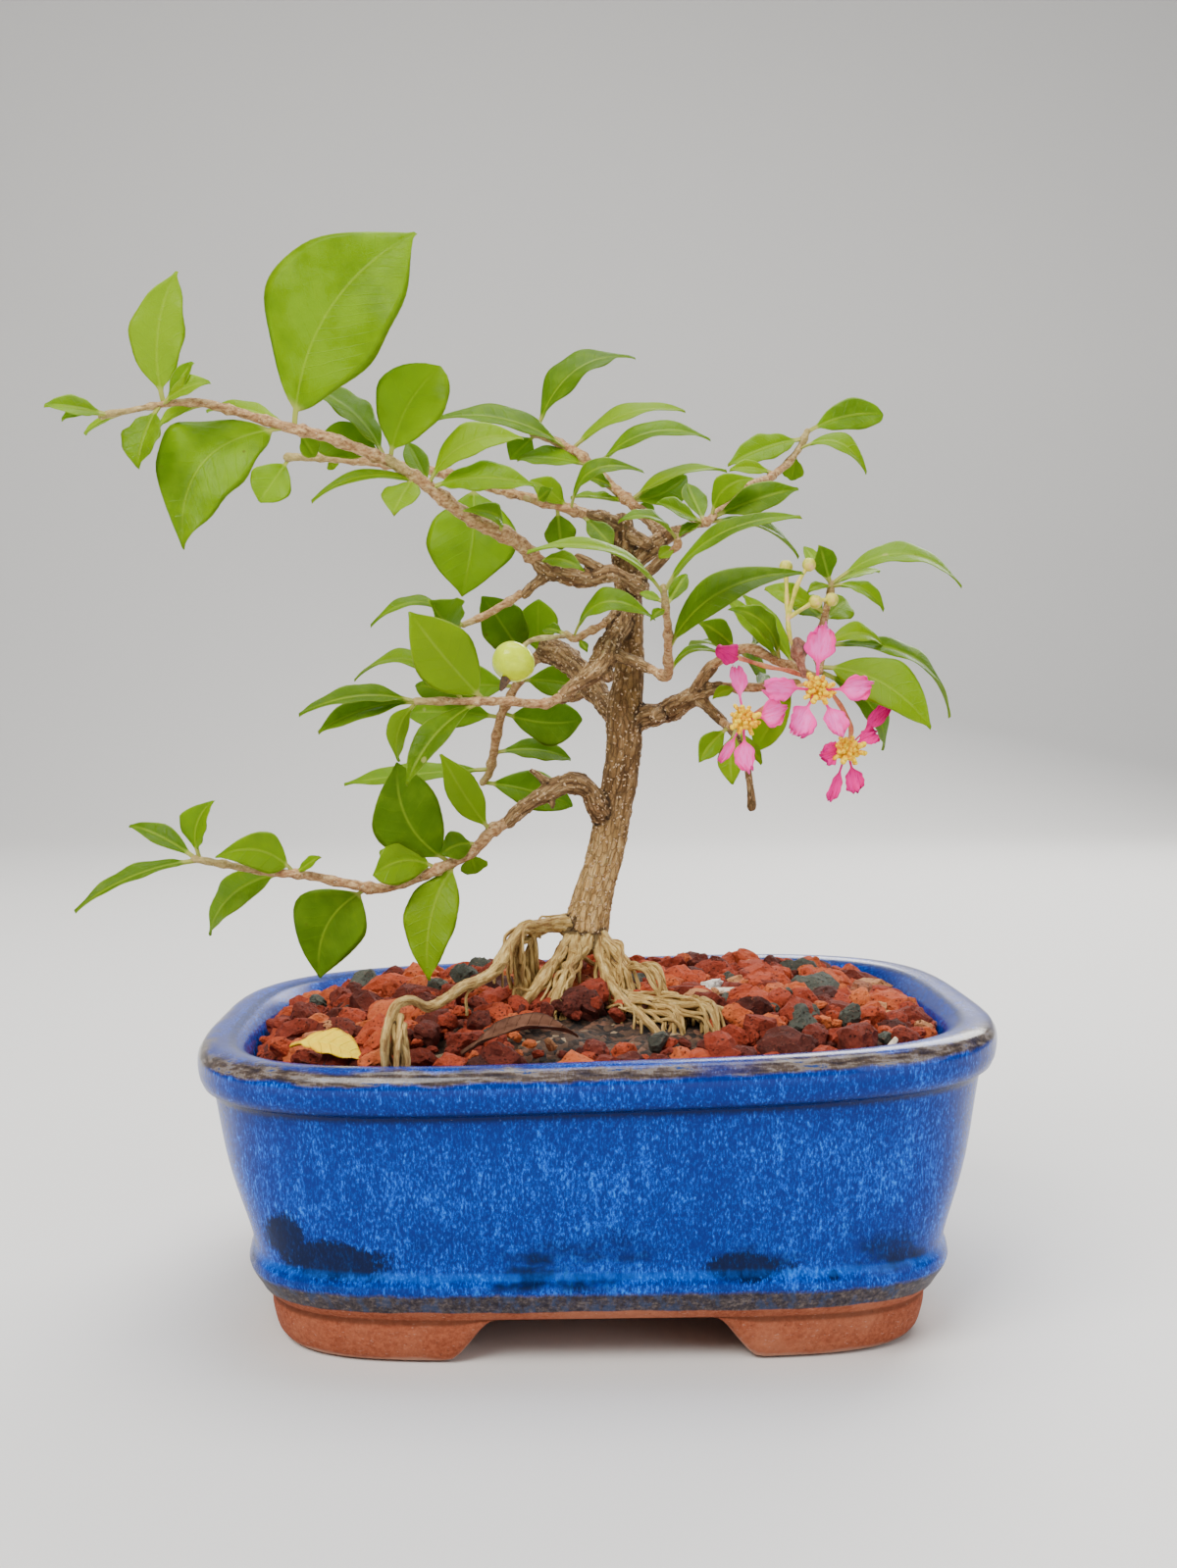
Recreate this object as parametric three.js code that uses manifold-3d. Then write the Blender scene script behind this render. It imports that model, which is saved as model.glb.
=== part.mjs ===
// A small flowering bonsai in a blue glazed pot: a slim brown trunk on bare, arching roots,
// thin drooping branches with broad leaves, three pink flowers and one green fruit.
// Units are millimetres, +Z is up, -Y is the front and the part stands on z = 0.
import * as THREE from 'three';
import { mergeVertices } from 'three/addons/utils/BufferGeometryUtils.js';
import Module from 'manifold-3d';

const wasm = await Module();
wasm.setup();

// Driving dimensions of the pot
const POT_LENGTH = 164;
const POT_DEPTH = 132;
const RIM_HEIGHT = 59.3;
const RIM_SLOPE = 0.028;
const OUTLINE_POWER = 3.5;
const OUTLINE_POINTS = 48;
const UNDERSIDE_HEIGHT = 8.8;
const FLOOR_HEIGHT = 16.3;
// Towards the foot the outline grows squarer, and shorter by an extra inset of its two ends
const FOOT_TAPER = { span: [18, 50], power: 1.5, inset: 4.2 };
const FOOT_INSETS = { recess: 25, inner: 23, outer: 12.3 };
const FOOT_FRONT_SPAN = [20, 30];
const FOOT_SIDE_SPAN = [14, 25];
// The outer wall from the ledge over the feet up to the rim's band, each place [inset, height]
const OUTER_WALL = [
  [10.4, 9.4], [9.3, 10.8], [8.1, 13.4], [6.9, 15.8], [8.2, 18.4], [5.2, 34], [3, 50],
  [0.7, 51.2], [0, 55.2], [1, 58.4],
];
const RIM_CREST_INSET = 2.8;
const RIM_INNER_EDGE = { inset: 7, height: 58.8 };
const INNER_WALL_TOP = { inset: 10.5, height: 54.5 };
const INNER_WALL_FOOT = { inset: 14.5, height: 18.5 };
const FLOOR_COVE = 4;
const DRAIN_RADIUS = 7;
const HOLE_SIDES = 20;
const DRAIN_SPACING = 68;

// Driving dimensions of what the pot holds
const GAP = 0.35;
const SCREEN_SIZE = 22;
const SCREEN_THICKNESS = 1.2;
const SCREEN_HOLES = 2;
const SCREEN_BAR = 1.3;
const BED_EDGE_HEIGHT = 53.5;
const BED_MOUND = 8.5;
const BED_THICKNESS = 2.6;
const STONE_RADIUS = [4.8, 6.8];
const STONE_SPACING = 12.4;
const STONE_ROW_SPACING = 11;
const STONE_FREE_FOOT = 10;
const STONE_SEED = 11;
// Shares of the spacing, of the radius, and a tilt in radians, each from least to most
const STONE_STAGGER = 0.25;
const STONE_SHIFT = [-0.2, 0.2];
const STONE_WIDTHS = [0.85, 1.1];
const STONE_HEIGHTS = [0.75, 1];
const STONE_RISE = [-0.1, 0.35];
const STONE_TILT = [-0.9, 0.9];
const BED_FALL_POWER = 3;
const PATCH_FACETS = [14, 8];
const SOIL_PATCH = { x: 4, y: -34, rise: -3, radii: [17, 10, 5] };

// Driving dimensions of the plant
const BLADE_THICKNESS = 0.6;
const PETIOLE_HALF_WIDTH = 0.4;
const BROAD_LEAF_LENGTH = 21;
const SMALL_LEAF_LENGTH = 11;
const FRUIT_RADIUS = 4.7;
const FRUIT_SQUASH = 0.92;
const FRUIT_FACETS = [12, 7];
const BUD_RADIUS = 1.4;
const PETAL_LOOK = { roll: 0, arch: 0.04, fold: 0.3, sweep: 0 };
const FALLEN_LEAF_LOOK = { roll: 70, fold: 0.3, sweep: 0 };
const BLOOM_DISC = { radius: 2.4, thickness: 1.2, sides: 10 };
const ANTHER_RADIUS = 1.1;
const ANTHER_RING = { count: 6, radius: 1.4 };
const TRUNK_SIDES = 10;
const LIMB_SIDES = 5;
const TRUNK_FLUTE = 0.06;

// The plant is laid out as it is seen from EYE. Each place is [across, up, depth]: across and up
// in the upright plane through the middle of the pot, and depth behind that plane.
const EYE = new THREE.Vector3(-15, -382, 127.5);

const BRANCHES = {
  trunk: [
    [-2, 74.5, 0, 4.9], [-1, 79.5, 0, 4.6], [0.5, 85.5, 0, 4.1], [2.5, 92.5, 0, 3.9],
    [4, 100.5, 0, 3.9], [5.5, 107.5, 0, 3.8], [6.5, 115.5, 0, 3.8], [6.5, 123, 0, 3.9],
    [7.5, 130.5, 0, 3.3], [7.5, 139, 0, 3.2], [7.5, 146, 0, 3], [7, 153, 0, 2.9], [6, 159, 0, 2.7],
    [6, 163, 0, 2.5],
  ],
  low_left_branch: [
    [3, 99, 0, 3], [1, 102, -3, 2.6], [-1, 105.5, -5, 2.4], [-3.5, 107, -6, 2.3], [-6.5, 107, -7, 2.2],
    [-9.5, 105.5, -8, 1.9], [-13, 103.5, -9, 1.8], [-16.5, 101, -9.5, 1.6], [-18.5, 99, -10, 1.5],
  ],
  low_left_spur: [
    [-9, 106.5, -7, 1.1], [-11.5, 108.5, -8, 0.9], [-13.5, 110, -8, 0.6],
  ],
  low_left_peg: [
    [-9.5, 105.5, -8, 0.9], [-9, 103.5, -9, 0.7], [-9, 102, -9, 0.6],
  ],
  front_left_branch: [
    [7.5, 145.5, 0, 2.6], [5.5, 141, -4, 2.5], [3.5, 137.5, -7, 2.5], [2, 133.5, -9, 2.6],
    [-1, 130.5, -11, 2], [-4.5, 128, -14, 1.6], [-7, 126, -17, 1.3],
  ],
  front_left_knob: [
    [1.5, 133.5, -9, 2], [3, 130.5, -10, 1.6],
  ],
  cross_twig: [
    [3, 136, -8, 1.6], [6, 134.5, -10, 1.4], [9, 133.5, -13, 1.3], [12, 132, -16, 1.2],
  ],
  fruit_twig: [
    [5.5, 144.5, -3, 1.2], [2.5, 142, -6, 1],
  ],
  upper_left_branch: [
    [8.5, 151.5, 0, 2.6], [10, 149.5, -3, 2], [7.5, 151, -6, 1.7], [3.5, 152.5, -8, 1.8],
    [-1, 151.5, -8, 2], [-5.5, 152, -9, 2], [-9, 153, -9, 2.1], [-11.5, 154.5, -10, 1.9],
  ],
  upper_left_spur: [
    [2.5, 152.5, -8, 1.2], [-0.5, 154.5, -9, 1.1], [-3.5, 156, -10, 0.9],
  ],
  sub_twig: [
    [-9.5, 152.5, -9, 1.3], [-13, 150, -10, 1.1], [-15, 148, -11, 1],
  ],
  top_left_branch: [
    [6, 162.5, 0, 2], [2.5, 164, -3, 1.6], [-1, 165, -5, 1.3],
  ],
  top_right_branch: [
    [7.5, 153.5, 0, 2], [10.5, 156.5, -1, 2], [13.5, 159, 0, 2.1], [16, 160.5, 0, 1.7],
    [19.5, 162, -5, 1.2], [21.5, 163, -7, 1],
  ],
  top_right_stub: [
    [6.5, 161.5, 0, 1.8], [9.5, 160, -3, 1.6], [11.5, 159, -4, 1.4],
  ],
  back_top_branch: [
    [15.5, 160.5, 1, 1.7], [14, 162, 6, 1.6], [11.5, 164.5, 10, 1.5], [9.5, 166, 12, 1.4],
  ],
  pale_stub: [
    [9.5, 151.5, -2, 1.4], [12.5, 153.5, -6, 1.3], [15.5, 156.5, -8, 1.2],
  ],
  right_branch: [
    [6.5, 119.5, 0, 3], [10.5, 121.5, -1, 2.7], [15, 122.5, -4, 2.5], [19, 124.5, -8, 2.2],
    [22.5, 126.5, -12, 2], [25, 127.5, -14, 1.6], [27.5, 128, -16, 1.4],
  ],
  right_fork_up: [
    [22, 126.5, -12, 1.6], [23.5, 130, -14, 1.4], [25.5, 132.5, -15, 1.4],
  ],
  right_fork_down: [
    [22.5, 126, -12, 1.5], [25, 123.5, -14, 1.3], [27.5, 121, -16, 1.2],
  ],
  right_stub: [
    [15, 122.5, -5, 1.6], [13.5, 121.5, -9, 1.5],
  ],
  pendant_twig: [
    [27.5, 121, -16, 1], [31, 117, -14, 0.9], [33, 112, -13, 0.9], [34, 107, -13, 0.8],
    [34.5, 102, -13, 1],
  ],
  back_left_branch: [
    [6.5, 121, 2, 3], [3.5, 123.5, 6, 2.8], [0, 127.5, 12, 2.5], [-3.5, 132, 18, 2.6],
    [-7, 135, 24, 2.8], [-10, 136, 27, 2.4],
  ],
  back_left_twig: [
    [-0.5, 127.5, 13, 1.2], [-3.5, 126, 18, 0.9], [-7, 125, 24, 0.8],
  ],
};

const ROOTS = {
  root_left_arch: [
    [-3, 75.5, 0, 3.4], [-7, 76.5, -3, 2.2], [-12, 76, -8, 1.7], [-15, 75.5, -12, 1.7],
    [-18, 72.5, -17, 1.6], [-21, 67, -23, 1.6], [-24.5, 64.5, -28, 1.5], [-28.5, 63, -33, 1.4],
    [-32, 60.5, -38, 1.3], [-36, 58.5, -43, 1.3], [-39.5, 60, -47, 1.2], [-43, 59, -51, 1.3],
    [-44.5, 55.5, -53, 1.4], [-45.5, 51, -54, 1.4], [-45.5, 45.5, -54, 1.3],
  ],
  root_left_fork: [
    [-43.5, 58.5, -51, 1], [-42.5, 54.5, -52, 1], [-42.5, 50, -53, 0.9], [-42.5, 45.5, -53, 0.8],
  ],
  root_left_drop: [
    [-17.5, 72.5, -16, 1], [-17, 67.5, -15, 1], [-16, 62, -15, 1.2], [-15.5, 57, -15, 1.3],
  ],
  root_thin_left: [
    [-13.5, 74.5, -9, 0.8], [-14, 70, -10, 0.7], [-14, 66.5, -11, 0.7], [-12.5, 61.5, -12, 0.8],
  ],
  root_mid_left: [
    [-4, 74.5, -2, 2.2], [-7, 70, -8, 1.8], [-10, 66, -14, 1.6], [-13, 62, -18, 1.7],
    [-15.5, 59, -20, 1.6], [-17, 55.5, -21, 1.3],
  ],
  root_mid: [
    [-3.5, 74, -3, 2], [-4.5, 69, -10, 1.6], [-6.5, 64.5, -16, 1.4], [-8, 60.5, -20, 1.5],
    [-10, 55.5, -22, 1.5],
  ],
  root_mid_right: [
    [-1, 74, -3, 2], [-3, 70, -9, 1.5], [-6, 66.5, -12, 1.4], [-7, 61.5, -14, 1.2],
    [-7, 56.5, -15, 1.2],
  ],
  root_right: [
    [-0.5, 75.5, 0, 2.8], [2.5, 73, -4, 2], [5, 70, -8, 1.6], [7, 66.5, -12, 1.4], [8, 63, -14, 1.2],
    [9, 57.5, -15, 1.2],
  ],
  root_right_low: [
    [0.5, 73.5, -3, 2], [2, 67.5, -9, 1.6], [4, 63, -14, 1.6], [6.5, 59.5, -20, 1.6],
    [10, 56.5, -27, 1.5], [13.5, 53, -33, 1.4], [16, 49.5, -36, 1.2],
  ],
  root_right_long: [
    [5, 62, -15, 1.2], [9.5, 60, -19, 1.3], [15, 59.5, -24, 1.2], [20.5, 58.5, -29, 1.2],
    [24.5, 58.5, -33, 1.2], [26.5, 55.5, -37, 1.2], [27.5, 50, -39, 1.2],
  ],
  root_right_branch: [
    [12.5, 59.5, -21, 1], [18, 57.5, -26, 1], [23.5, 58, -30, 0.9], [28, 56.5, -33, 0.9],
    [30.5, 53.5, -34, 0.9],
  ],
  root_right_twin: [
    [5.5, 59.5, -19, 1.1], [10.5, 57.5, -24, 1.1], [16, 56.5, -29, 1], [17.5, 55.5, -31, 1],
    [17.5, 50, -34, 0.9],
  ],
  root_thin_right: [
    [7.5, 65.5, -12, 0.7], [8, 67, -14, 0.7], [11.5, 67.5, -17, 0.7], [14, 65.5, -20, 0.7],
    [15.5, 62, -22, 0.7], [16, 56.5, -24, 0.7],
  ],
  root_back: [
    [-1, 75, 3, 2.4], [1.5, 71, 10, 2], [3.5, 66, 16, 1.8], [5, 61.5, 20, 1.6],
  ],
  root_back_left: [
    [-4, 75, 3, 2], [-6.5, 71, 9, 1.7], [-8.5, 66.5, 14, 1.5], [-10, 61.5, 18, 1.4],
  ],
};

const SPRAYS = {
  low_left_spray: {
    twig: [
      [-19.5, 98.5, -10, 1.4], [-22, 97, -11, 1.5], [-26.5, 92.5, -13, 1.4], [-33, 89, -15, 1.3],
      [-37.5, 87, -16, 1.2], [-42, 85.5, -17, 1.1], [-47, 84.5, -18, 1.3], [-55.5, 86, -20, 1.1],
      [-62.5, 87.5, -21, 1.1], [-69, 88, -22, 1], [-75.5, 89, -23, 0.9], [-80.5, 90, -24, 0.9],
      [-86, 91, -25, 1],
    ],
    leaves: [
      [-85.5, 91, -112, 80, -8, 6, 58, 0.09, 0.45, 0, 0.4],
      [-85.5, 91, -100, 98.5, 5, 5.5, 40, 0.1, 0.5, 0, 0.45],
      [-85, 91.5, -82.5, 103.5, -3, 8.5, 35, 0.1, 0.5, -0.12, 0.5],
      [-64.5, 88, -81.5, 91.5, -6, 8.5, 15, 0.05, 0.25, 0.18, 0.32],
      [-65, 88, -59.5, 91.5, -3, 3, 40, 0, 0.3, 0, 0.54],
      [-67, 88, -83.5, 74.5, 16, 7.5, 20, 0.05, 0.3, 0.11, 0.4],
      [-48.5, 84.5, -59.5, 65, 5, 16.5, 8, 0.03, 0.3, 0.17, 0.36],
      [-34, 89, -47.5, 87.5, -7, 9.5, 12, 0.05, 0.25, 0.16, 0.6],
      [-29, 90, -36, 64.5, -7, 11.5, 12, 0.05, 0.3, 0.09, 0.44],
      [-32, 92, -42.5, 111.5, -8, 15, 5, 0.04, 0.25, -0.15, 0.54],
      [-22.5, 97, -33, 113.5, -5, 7.5, 22, 0.08, 0.3, -0.05, 0.5],
      [-25, 94, -33, 92, -5, 6.5, 20, 0.05, 0.3, 0.1, 0.54],
      [-27, 92.5, -25.5, 87.5, 6, 6, 5, 0, 0.2, 0, 0.54],
      [-35, 88, -46.5, 92.5, 20, 7.5, 10, 0, 0.2, 0, 0.54],
    ],
  },
  front_left_spray: {
    twig: [
      [-8, 125.5, -18, 1.2], [-10.5, 124.5, -19, 1.1], [-14, 124.5, -20, 1.1], [-18, 125, -22, 1],
      [-22.5, 125, -23, 1.1], [-28.5, 125, -25, 0.9], [-34, 125, -26, 0.9], [-38.5, 125, -27, 0.9],
    ],
    leaves: [
      [-23.5, 125, -39.5, 144, -8, 13.5, 10, 0.05, 0.3, -0.03, 0.5],
      [-28, 125, -51.5, 130, 8, 8, 62, 0.28, 0.3, 0, 0.54],
      [-38, 125, -63.5, 122.5, -6, 6.5, 52, 0.12, 0.45, 0, 0.36],
      [-24.5, 124.5, -40.5, 107, -8, 7, 30, 0.1, 0.4, 0.06, 0.5],
      [-38, 125, -42.5, 112, 6, 6.5, 38, 0.05, 0.3, 0.13, 0.5],
      [-22.5, 125, -38.5, 128.5, 16, 7.5, 20, 0.05, 0.2, 0, 0.54],
      [-37.5, 125.5, -59.5, 118.5, -3, 6.5, 40, 0.12, 0.4, 0, 0.54],
    ],
  },
  mid_left_spray: {
    twig: [
      [-16, 148, -11, 1], [-19, 146, -12, 0.9], [-22.5, 144, -13, 0.9], [-25.5, 142.5, -14, 0.8],
      [-28, 141.5, -15, 0.8],
    ],
    leaves: [
      [-28, 141.5, -48, 141.5, -4, 6, 66, 0.26, 0.3, 0, 0.5],
      [-28, 141.5, -35, 146.5, -14, 11.5, 15, 0.05, 0.55, -0.13, 0.5],
    ],
  },
  fruit_spray: {
    twig: [
      [2, 141.5, -7, 0.9], [-1, 140, -9, 0.9], [-4, 138.5, -11, 1], [-6, 139.5, -12, 0.7],
    ],
    leaves: [
      [-4.5, 139, 13, 143, -6, 8.5, 52, 0.34, 0.3, -0.06, 0.42],
      [-6, 139.5, -11, 140.5, 4, 3.5, 40, 0.1, 0.3, 0, 0.54],
      [-3.5, 139, -1.5, 136, -2, 2, 20, 0, 0.2, 0, 0.54],
    ],
  },
  front_right_spray: {
    twig: [
      [12.5, 132, -17, 1], [14, 131, -18, 1.1], [16, 130.5, -20, 1.2], [16, 135, -26, 1.1],
      [16, 140.5, -31, 1], [15.5, 145, -35, 0.9], [15, 149.5, -38, 0.9],
    ],
    leaves: [
      [15, 148.5, -14, 157.5, -16, 5.5, 64, 0.16, 0.25, 0, 0.5],
      [15.5, 149, 44.5, 165, -14, 7, 60, 0.16, 0.25, 0, 0.45],
      [16, 136, 45, 153, -10, 9.5, 42, 0.23, 0.3, 0, 0.4],
      [16, 130.5, 27.5, 135.5, -2, 4, 72, 0.28, 0.3, 0, 0.54],
      [16, 145.5, 20, 152.5, 5, 4, 20, 0, 0.3, 0, 0.54],
      [15.5, 145, 12.5, 143, -4, 2.5, 30, 0.1, 0.3, 0, 0.54],
      [15, 146.5, 10, 148.5, 3, 2.5, 30, 0, 0.3, 0, 0.54],
    ],
  },
  right_upper_spray: {
    twig: [
      [26, 133, -16, 1.2], [29, 135, -17, 1.2], [33.5, 136.5, -18, 1.2], [39, 134, -20, 1.1],
      [44, 132, -22, 1.1], [47.5, 130.5, -23, 1],
    ],
    leaves: [
      [40.5, 133.5, 29.5, 145, -6, 6.5, 38, 0.12, 0.3, 0.14, 0.5],
      [31, 136, 23, 142, -4, 6, 20, 0.05, 0.3, 0.05, 0.5],
      [29.5, 135.5, 20.5, 136.5, 18, 4.5, 68, 0.12, 0.3, 0, 0.54],
      [33.5, 136, 39.5, 139, 14, 4.5, 60, 0.1, 0.3, 0, 0.54],
      [32, 136, 37.5, 130.5, 10, 4.5, 30, 0, 0.3, 0, 0.54],
      [44, 132, 32.5, 148, 10, 5.5, 25, 0.05, 0.3, 0, 0.54],
      [40.5, 133.5, 29, 147.5, 6, 5, 25, 0.05, 0.3, 0, 0.54],
    ],
  },
  right_far_spray: {
    twig: [
      [49, 131.5, -23, 0.9], [49, 133.5, -22, 1.1], [49, 138, -20, 1], [50, 143, -18, 0.9],
      [51, 147.5, -17, 0.8], [51.5, 150.5, -17, 0.8],
    ],
    leaves: [
      [51.5, 150.5, 80, 150.5, 0, 9, 58, 0.26, 0.25, 0, 0.42],
      [51.5, 150, 63, 145, -5, 5.5, 50, 0.2, 0.3, 0, 0.54],
      [51.5, 150, 46.5, 149, -4, 3, 50, 0.1, 0.3, 0, 0.54],
      [51.5, 150, 49, 158.5, -4, 5.5, 12, 0, 0.3, 0, 0.54],
      [51.5, 150.5, 45.5, 158.5, 8, 4, 20, 0, 0.3, 0, 0.54],
      [51.5, 151, 62, 153.5, 10, 3.5, 50, 0.05, 0.3, 0, 0.54],
      [50.5, 144, 37, 149.5, 2, 5.5, 25, 0.1, 0.3, 0, 0.54],
      [50.5, 142.5, 55, 147, 10, 7.5, 15, 0, 0.3, 0, 0.54],
      [50, 142.5, 44, 147.5, 9, 6.5, 15, 0, 0.3, 0, 0.54],
      [49, 132.5, 73.5, 119.5, -12, 12.5, 30, 0.12, 0.35, -0.06, 0.5],
      [49, 136.5, 63, 137, 2, 6, 45, 0.29, 0.35, 0, 0.42],
      [49.5, 137, 78, 122, 14, 7.5, 58, 0.21, 0.3, 0, 0.5],
      [48.5, 131, 63.5, 114.5, 12, 8, 35, 0.16, 0.3, -0.04, 0.5],
    ],
  },
  right_low_spray: {
    twig: [
      [28.5, 128, -17, 1.2], [32, 128, -18, 1.2], [36, 128, -20, 1.1], [40.5, 129, -22, 1],
      [44, 129, -23, 1],
    ],
    leaves: [
      [44, 128.5, 35, 114, 5, 7, 25, 0.05, 0.3, 0, 0.54],
      [31, 127.5, 26, 126, -3, 3, 30, 0.1, 0.3, 0, 0.54],
      [35.5, 128, 37.5, 131, 8, 3.5, 20, 0, 0.3, 0, 0.54],
    ],
  },
  right_hanging_spray: {
    twig: [
      [28, 120.5, -17, 0.9], [29.5, 119.5, -19, 0.8], [31, 119.5, -21, 0.7],
    ],
    leaves: [
      [31, 119.5, 30, 107, -2, 5.5, 22, 0.05, 0.3, 0.05, 0.54],
      [29.5, 119.5, 23, 112, -4, 5, 12, 0.05, 0.3, 0.05, 0.54],
      [31, 119.5, 36.5, 111.5, -4, 3, 20, 0, 0.3, 0, 0.54],
    ],
  },
  right_top_spray: {
    twig: [
      [22, 163, -7.5, 0.9], [24, 163.5, -9, 1], [25.5, 164.5, -10, 1], [29.5, 168.5, -2, 0.9],
      [33.5, 171.5, 4, 0.9], [37.5, 173, 9, 0.9], [41, 175.5, 14, 0.9], [44, 179, 17, 0.8],
      [46, 183, 19, 0.8],
    ],
    leaves: [
      [25.5, 164, 34, 173, -7, 6, 25, 0.08, 0.3, -0.17, 0.5],
      [26, 164.5, 44, 171, -5, 7, 25, 0.08, 0.3, 0.01, 0.5],
      [24.5, 163.5, 44.5, 156.5, 2, 6, 66, 0.16, 0.3, 0, 0.54],
      [24, 163.5, 14, 168, -6, 6, 48, 0, 0.4, 0, 0.54],
      [24, 163.5, 20, 172, 10, 5.5, 20, 0, 0.3, 0, 0.54],
      [23.5, 163, 18.5, 161, -4, 3, 40, 0.1, 0.3, 0, 0.54],
      [46, 183, 62.5, 187, 2, 7.5, 18, 0.03, 0.25, -0.07, 0.62],
      [44, 179.5, 59, 174.5, -4, 6.5, 45, 0.31, 0.3, 0, 0.45],
      [45.5, 181.5, 29, 176, -6, 7, 30, 0.07, 0.3, 0, 0.5],
      [43.5, 178.5, 42.5, 172.5, 4, 5, 15, 0, 0.3, 0, 0.54],
      [39, 174, 29.5, 175, -4, 4, 35, 0.1, 0.3, 0, 0.54],
    ],
  },
  stub_spray: {
    twig: [
      [16, 157, -9, 0.9], [18, 158.5, -10, 0.9], [18, 160.5, -10, 0.7],
    ],
    leaves: [
      [18, 160, 5.5, 164, -4, 5.5, 66, 0.22, 0.3, 0, 0.54],
      [18, 158.5, 14, 156, 0, 3.5, 30, 0.05, 0.3, 0, 0.54],
    ],
  },
  back_top_spray: {
    twig: [
      [8.5, 167, 13, 1.3], [6.5, 169, 14, 1.3], [4, 171, 16, 1.2], [0.5, 174.5, 18, 1.1],
      [-2.5, 177.5, 20, 1.1], [-5, 179, 22, 1.1], [-9, 181, 25, 1], [-13, 182.5, 28, 1],
    ],
    leaves: [
      [-12.5, 182.5, 8.5, 199, 4, 11, 50, 0.23, 0.3, 0, 0.42],
      [-5.5, 179, -34, 185.5, 2, 9.5, 55, 0.12, 0.3, 0, 0.45],
      [-5, 179, 19.5, 187.5, 2, 7.5, 58, 0.14, 0.3, 0, 0.45],
      [0, 175, 25, 181.5, -2, 7.5, 54, 0.2, 0.3, 0, 0.45],
      [-12.5, 182, -18, 177, -2, 6.5, 12, 0, 0.3, 0, 0.54],
      [-1, 175.5, -16.5, 177, 6, 7.5, 48, 0.06, 0.3, 0, 0.54],
      [7.5, 168, 28.5, 175, 4, 6, 62, 0.12, 0.3, 0, 0.4],
      [7.5, 168, 20, 173.5, 7, 8, 15, 0.05, 0.3, 0.1, 0.54],
      [8, 167.5, 13, 164, 6, 5, 20, 0.05, 0.3, 0, 0.54],
      [7.5, 168, -5, 169, 5, 4.5, 66, 0.05, 0.3, 0, 0.54],
      [4, 170.5, -1, 173, -4, 3.5, 30, 0.1, 0.3, 0, 0.54],
    ],
  },
  top_mid_spray: {
    twig: [
      [-2, 165, -5, 1.1], [-5, 166, -7, 1.1], [-8.5, 167, -8, 1], [-11.5, 167.5, -10, 0.9],
      [-14.5, 168.5, -11, 0.8],
    ],
    leaves: [
      [-5, 166.5, -13.5, 172.5, -2, 6, 28, 0.1, 0.3, 0, 0.54],
      [-5, 166.5, 10.5, 174.5, -5, 5.5, 45, 0.34, 0.35, -0.04, 0.45],
      [-8, 166.5, -7, 157.5, 3, 7, 12, 0, 0.3, 0, 0.54],
      [-2.5, 165.5, 4, 158.5, -5, 5.5, 25, 0, 0.3, 0, 0.54],
      [-12.5, 168, -9.5, 170.5, -5, 3.5, 20, 0, 0.4, 0, 0.54],
      [-8.5, 167, -12, 170, 3, 3, 30, 0, 0.3, 0, 0.54],
    ],
  },
  upper_left_spray: {
    twig: [
      [-12, 155, -10, 1.8], [-14, 157, -10, 1.8], [-17.5, 160, -12, 1.9], [-21, 161.5, -13, 1.9],
      [-25, 163.5, -15, 1.8], [-30.5, 167, -17, 1.7], [-35.5, 171, -19, 1.6], [-41, 174.5, -20, 1.5],
      [-44, 176.5, -21, 1.4],
    ],
    leaves: [
      [-35.5, 171.5, -15.5, 181.5, -6, 9, 34, 0.16, 0.35, -0.1, 0.5],
      [-35, 171, -13, 171.5, -9, 7.5, 30, 0.1, 0.3, -0.02, 0.5],
      [-20, 161.5, -27.5, 166, -9, 5, 40, 0.31, 0.35, 0, 0.5],
      [-12, 155, -2.5, 153.5, -9, 4.5, 32, 0.12, 0.3, -0.03, 0.5],
      [-36.5, 172, -60.5, 168, -3, 4.5, 52, 0.16, 0.35, 0, 0.5],
      [-38.5, 173, -43, 165.5, -8, 8.5, 25, 0.05, 0.3, 0, 0.54],
      [-35, 171, -40, 180.5, 8, 5, 15, 0, 0.3, 0, 0.54],
      [-43.5, 176.5, -33, 196.5, -4, 15, 8, 0.04, 0.25, -0.09, 0.6],
    ],
  },
  upper_left_tip_spray: {
    twig: [
      [-44.5, 176.5, -21, 1.4], [-49.5, 178.5, -22, 1.4], [-57.5, 181.5, -24, 1.3],
      [-64, 183, -25, 1.3], [-72.5, 185.5, -26, 1.1], [-81.5, 188, -28, 1.1], [-86.5, 188.5, -29, 0.9],
      [-92, 188, -30, 0.8], [-97, 187, -31, 0.7], [-102.5, 186, -32, 0.8], [-104.5, 185.5, -32, 0.9],
    ],
    leaves: [
      [-64, 183, -38, 224.5, -10, 29, 26, 0.05, 0.42, -0.16, 0.44],
      [-65, 183, -88, 158, -8, 20, 14, 0.06, 0.3, 0.24, 0.48],
      [-64.5, 183, -82.5, 187, 7, 6, 50, 0.1, 0.3, 0, 0.54],
      [-91.5, 188, -88.5, 216, -2, 12, 10, 0.03, 0.25, -0.09, 0.46],
      [-103, 186, -116.5, 188, -6, 6, 40, 0.08, 0.4, -0.05, 0.5],
      [-103.5, 185.5, -113, 185, -4, 4.5, 45, 0.15, 0.4, 0, 0.54],
      [-101, 186, -108.5, 182, 3, 2.5, 50, 0.05, 0.3, 0, 0.54],
      [-91.5, 188.5, -85.5, 197, -3, 4.5, 25, 0, 0.4, 0, 0.54],
      [-92, 188, -82, 193, -4, 5.5, 35, 0.1, 0.4, 0, 0.54],
      [-92.5, 188, -97.5, 175, -5, 9.5, 25, 0.08, 0.4, 0, 0.54],
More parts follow.
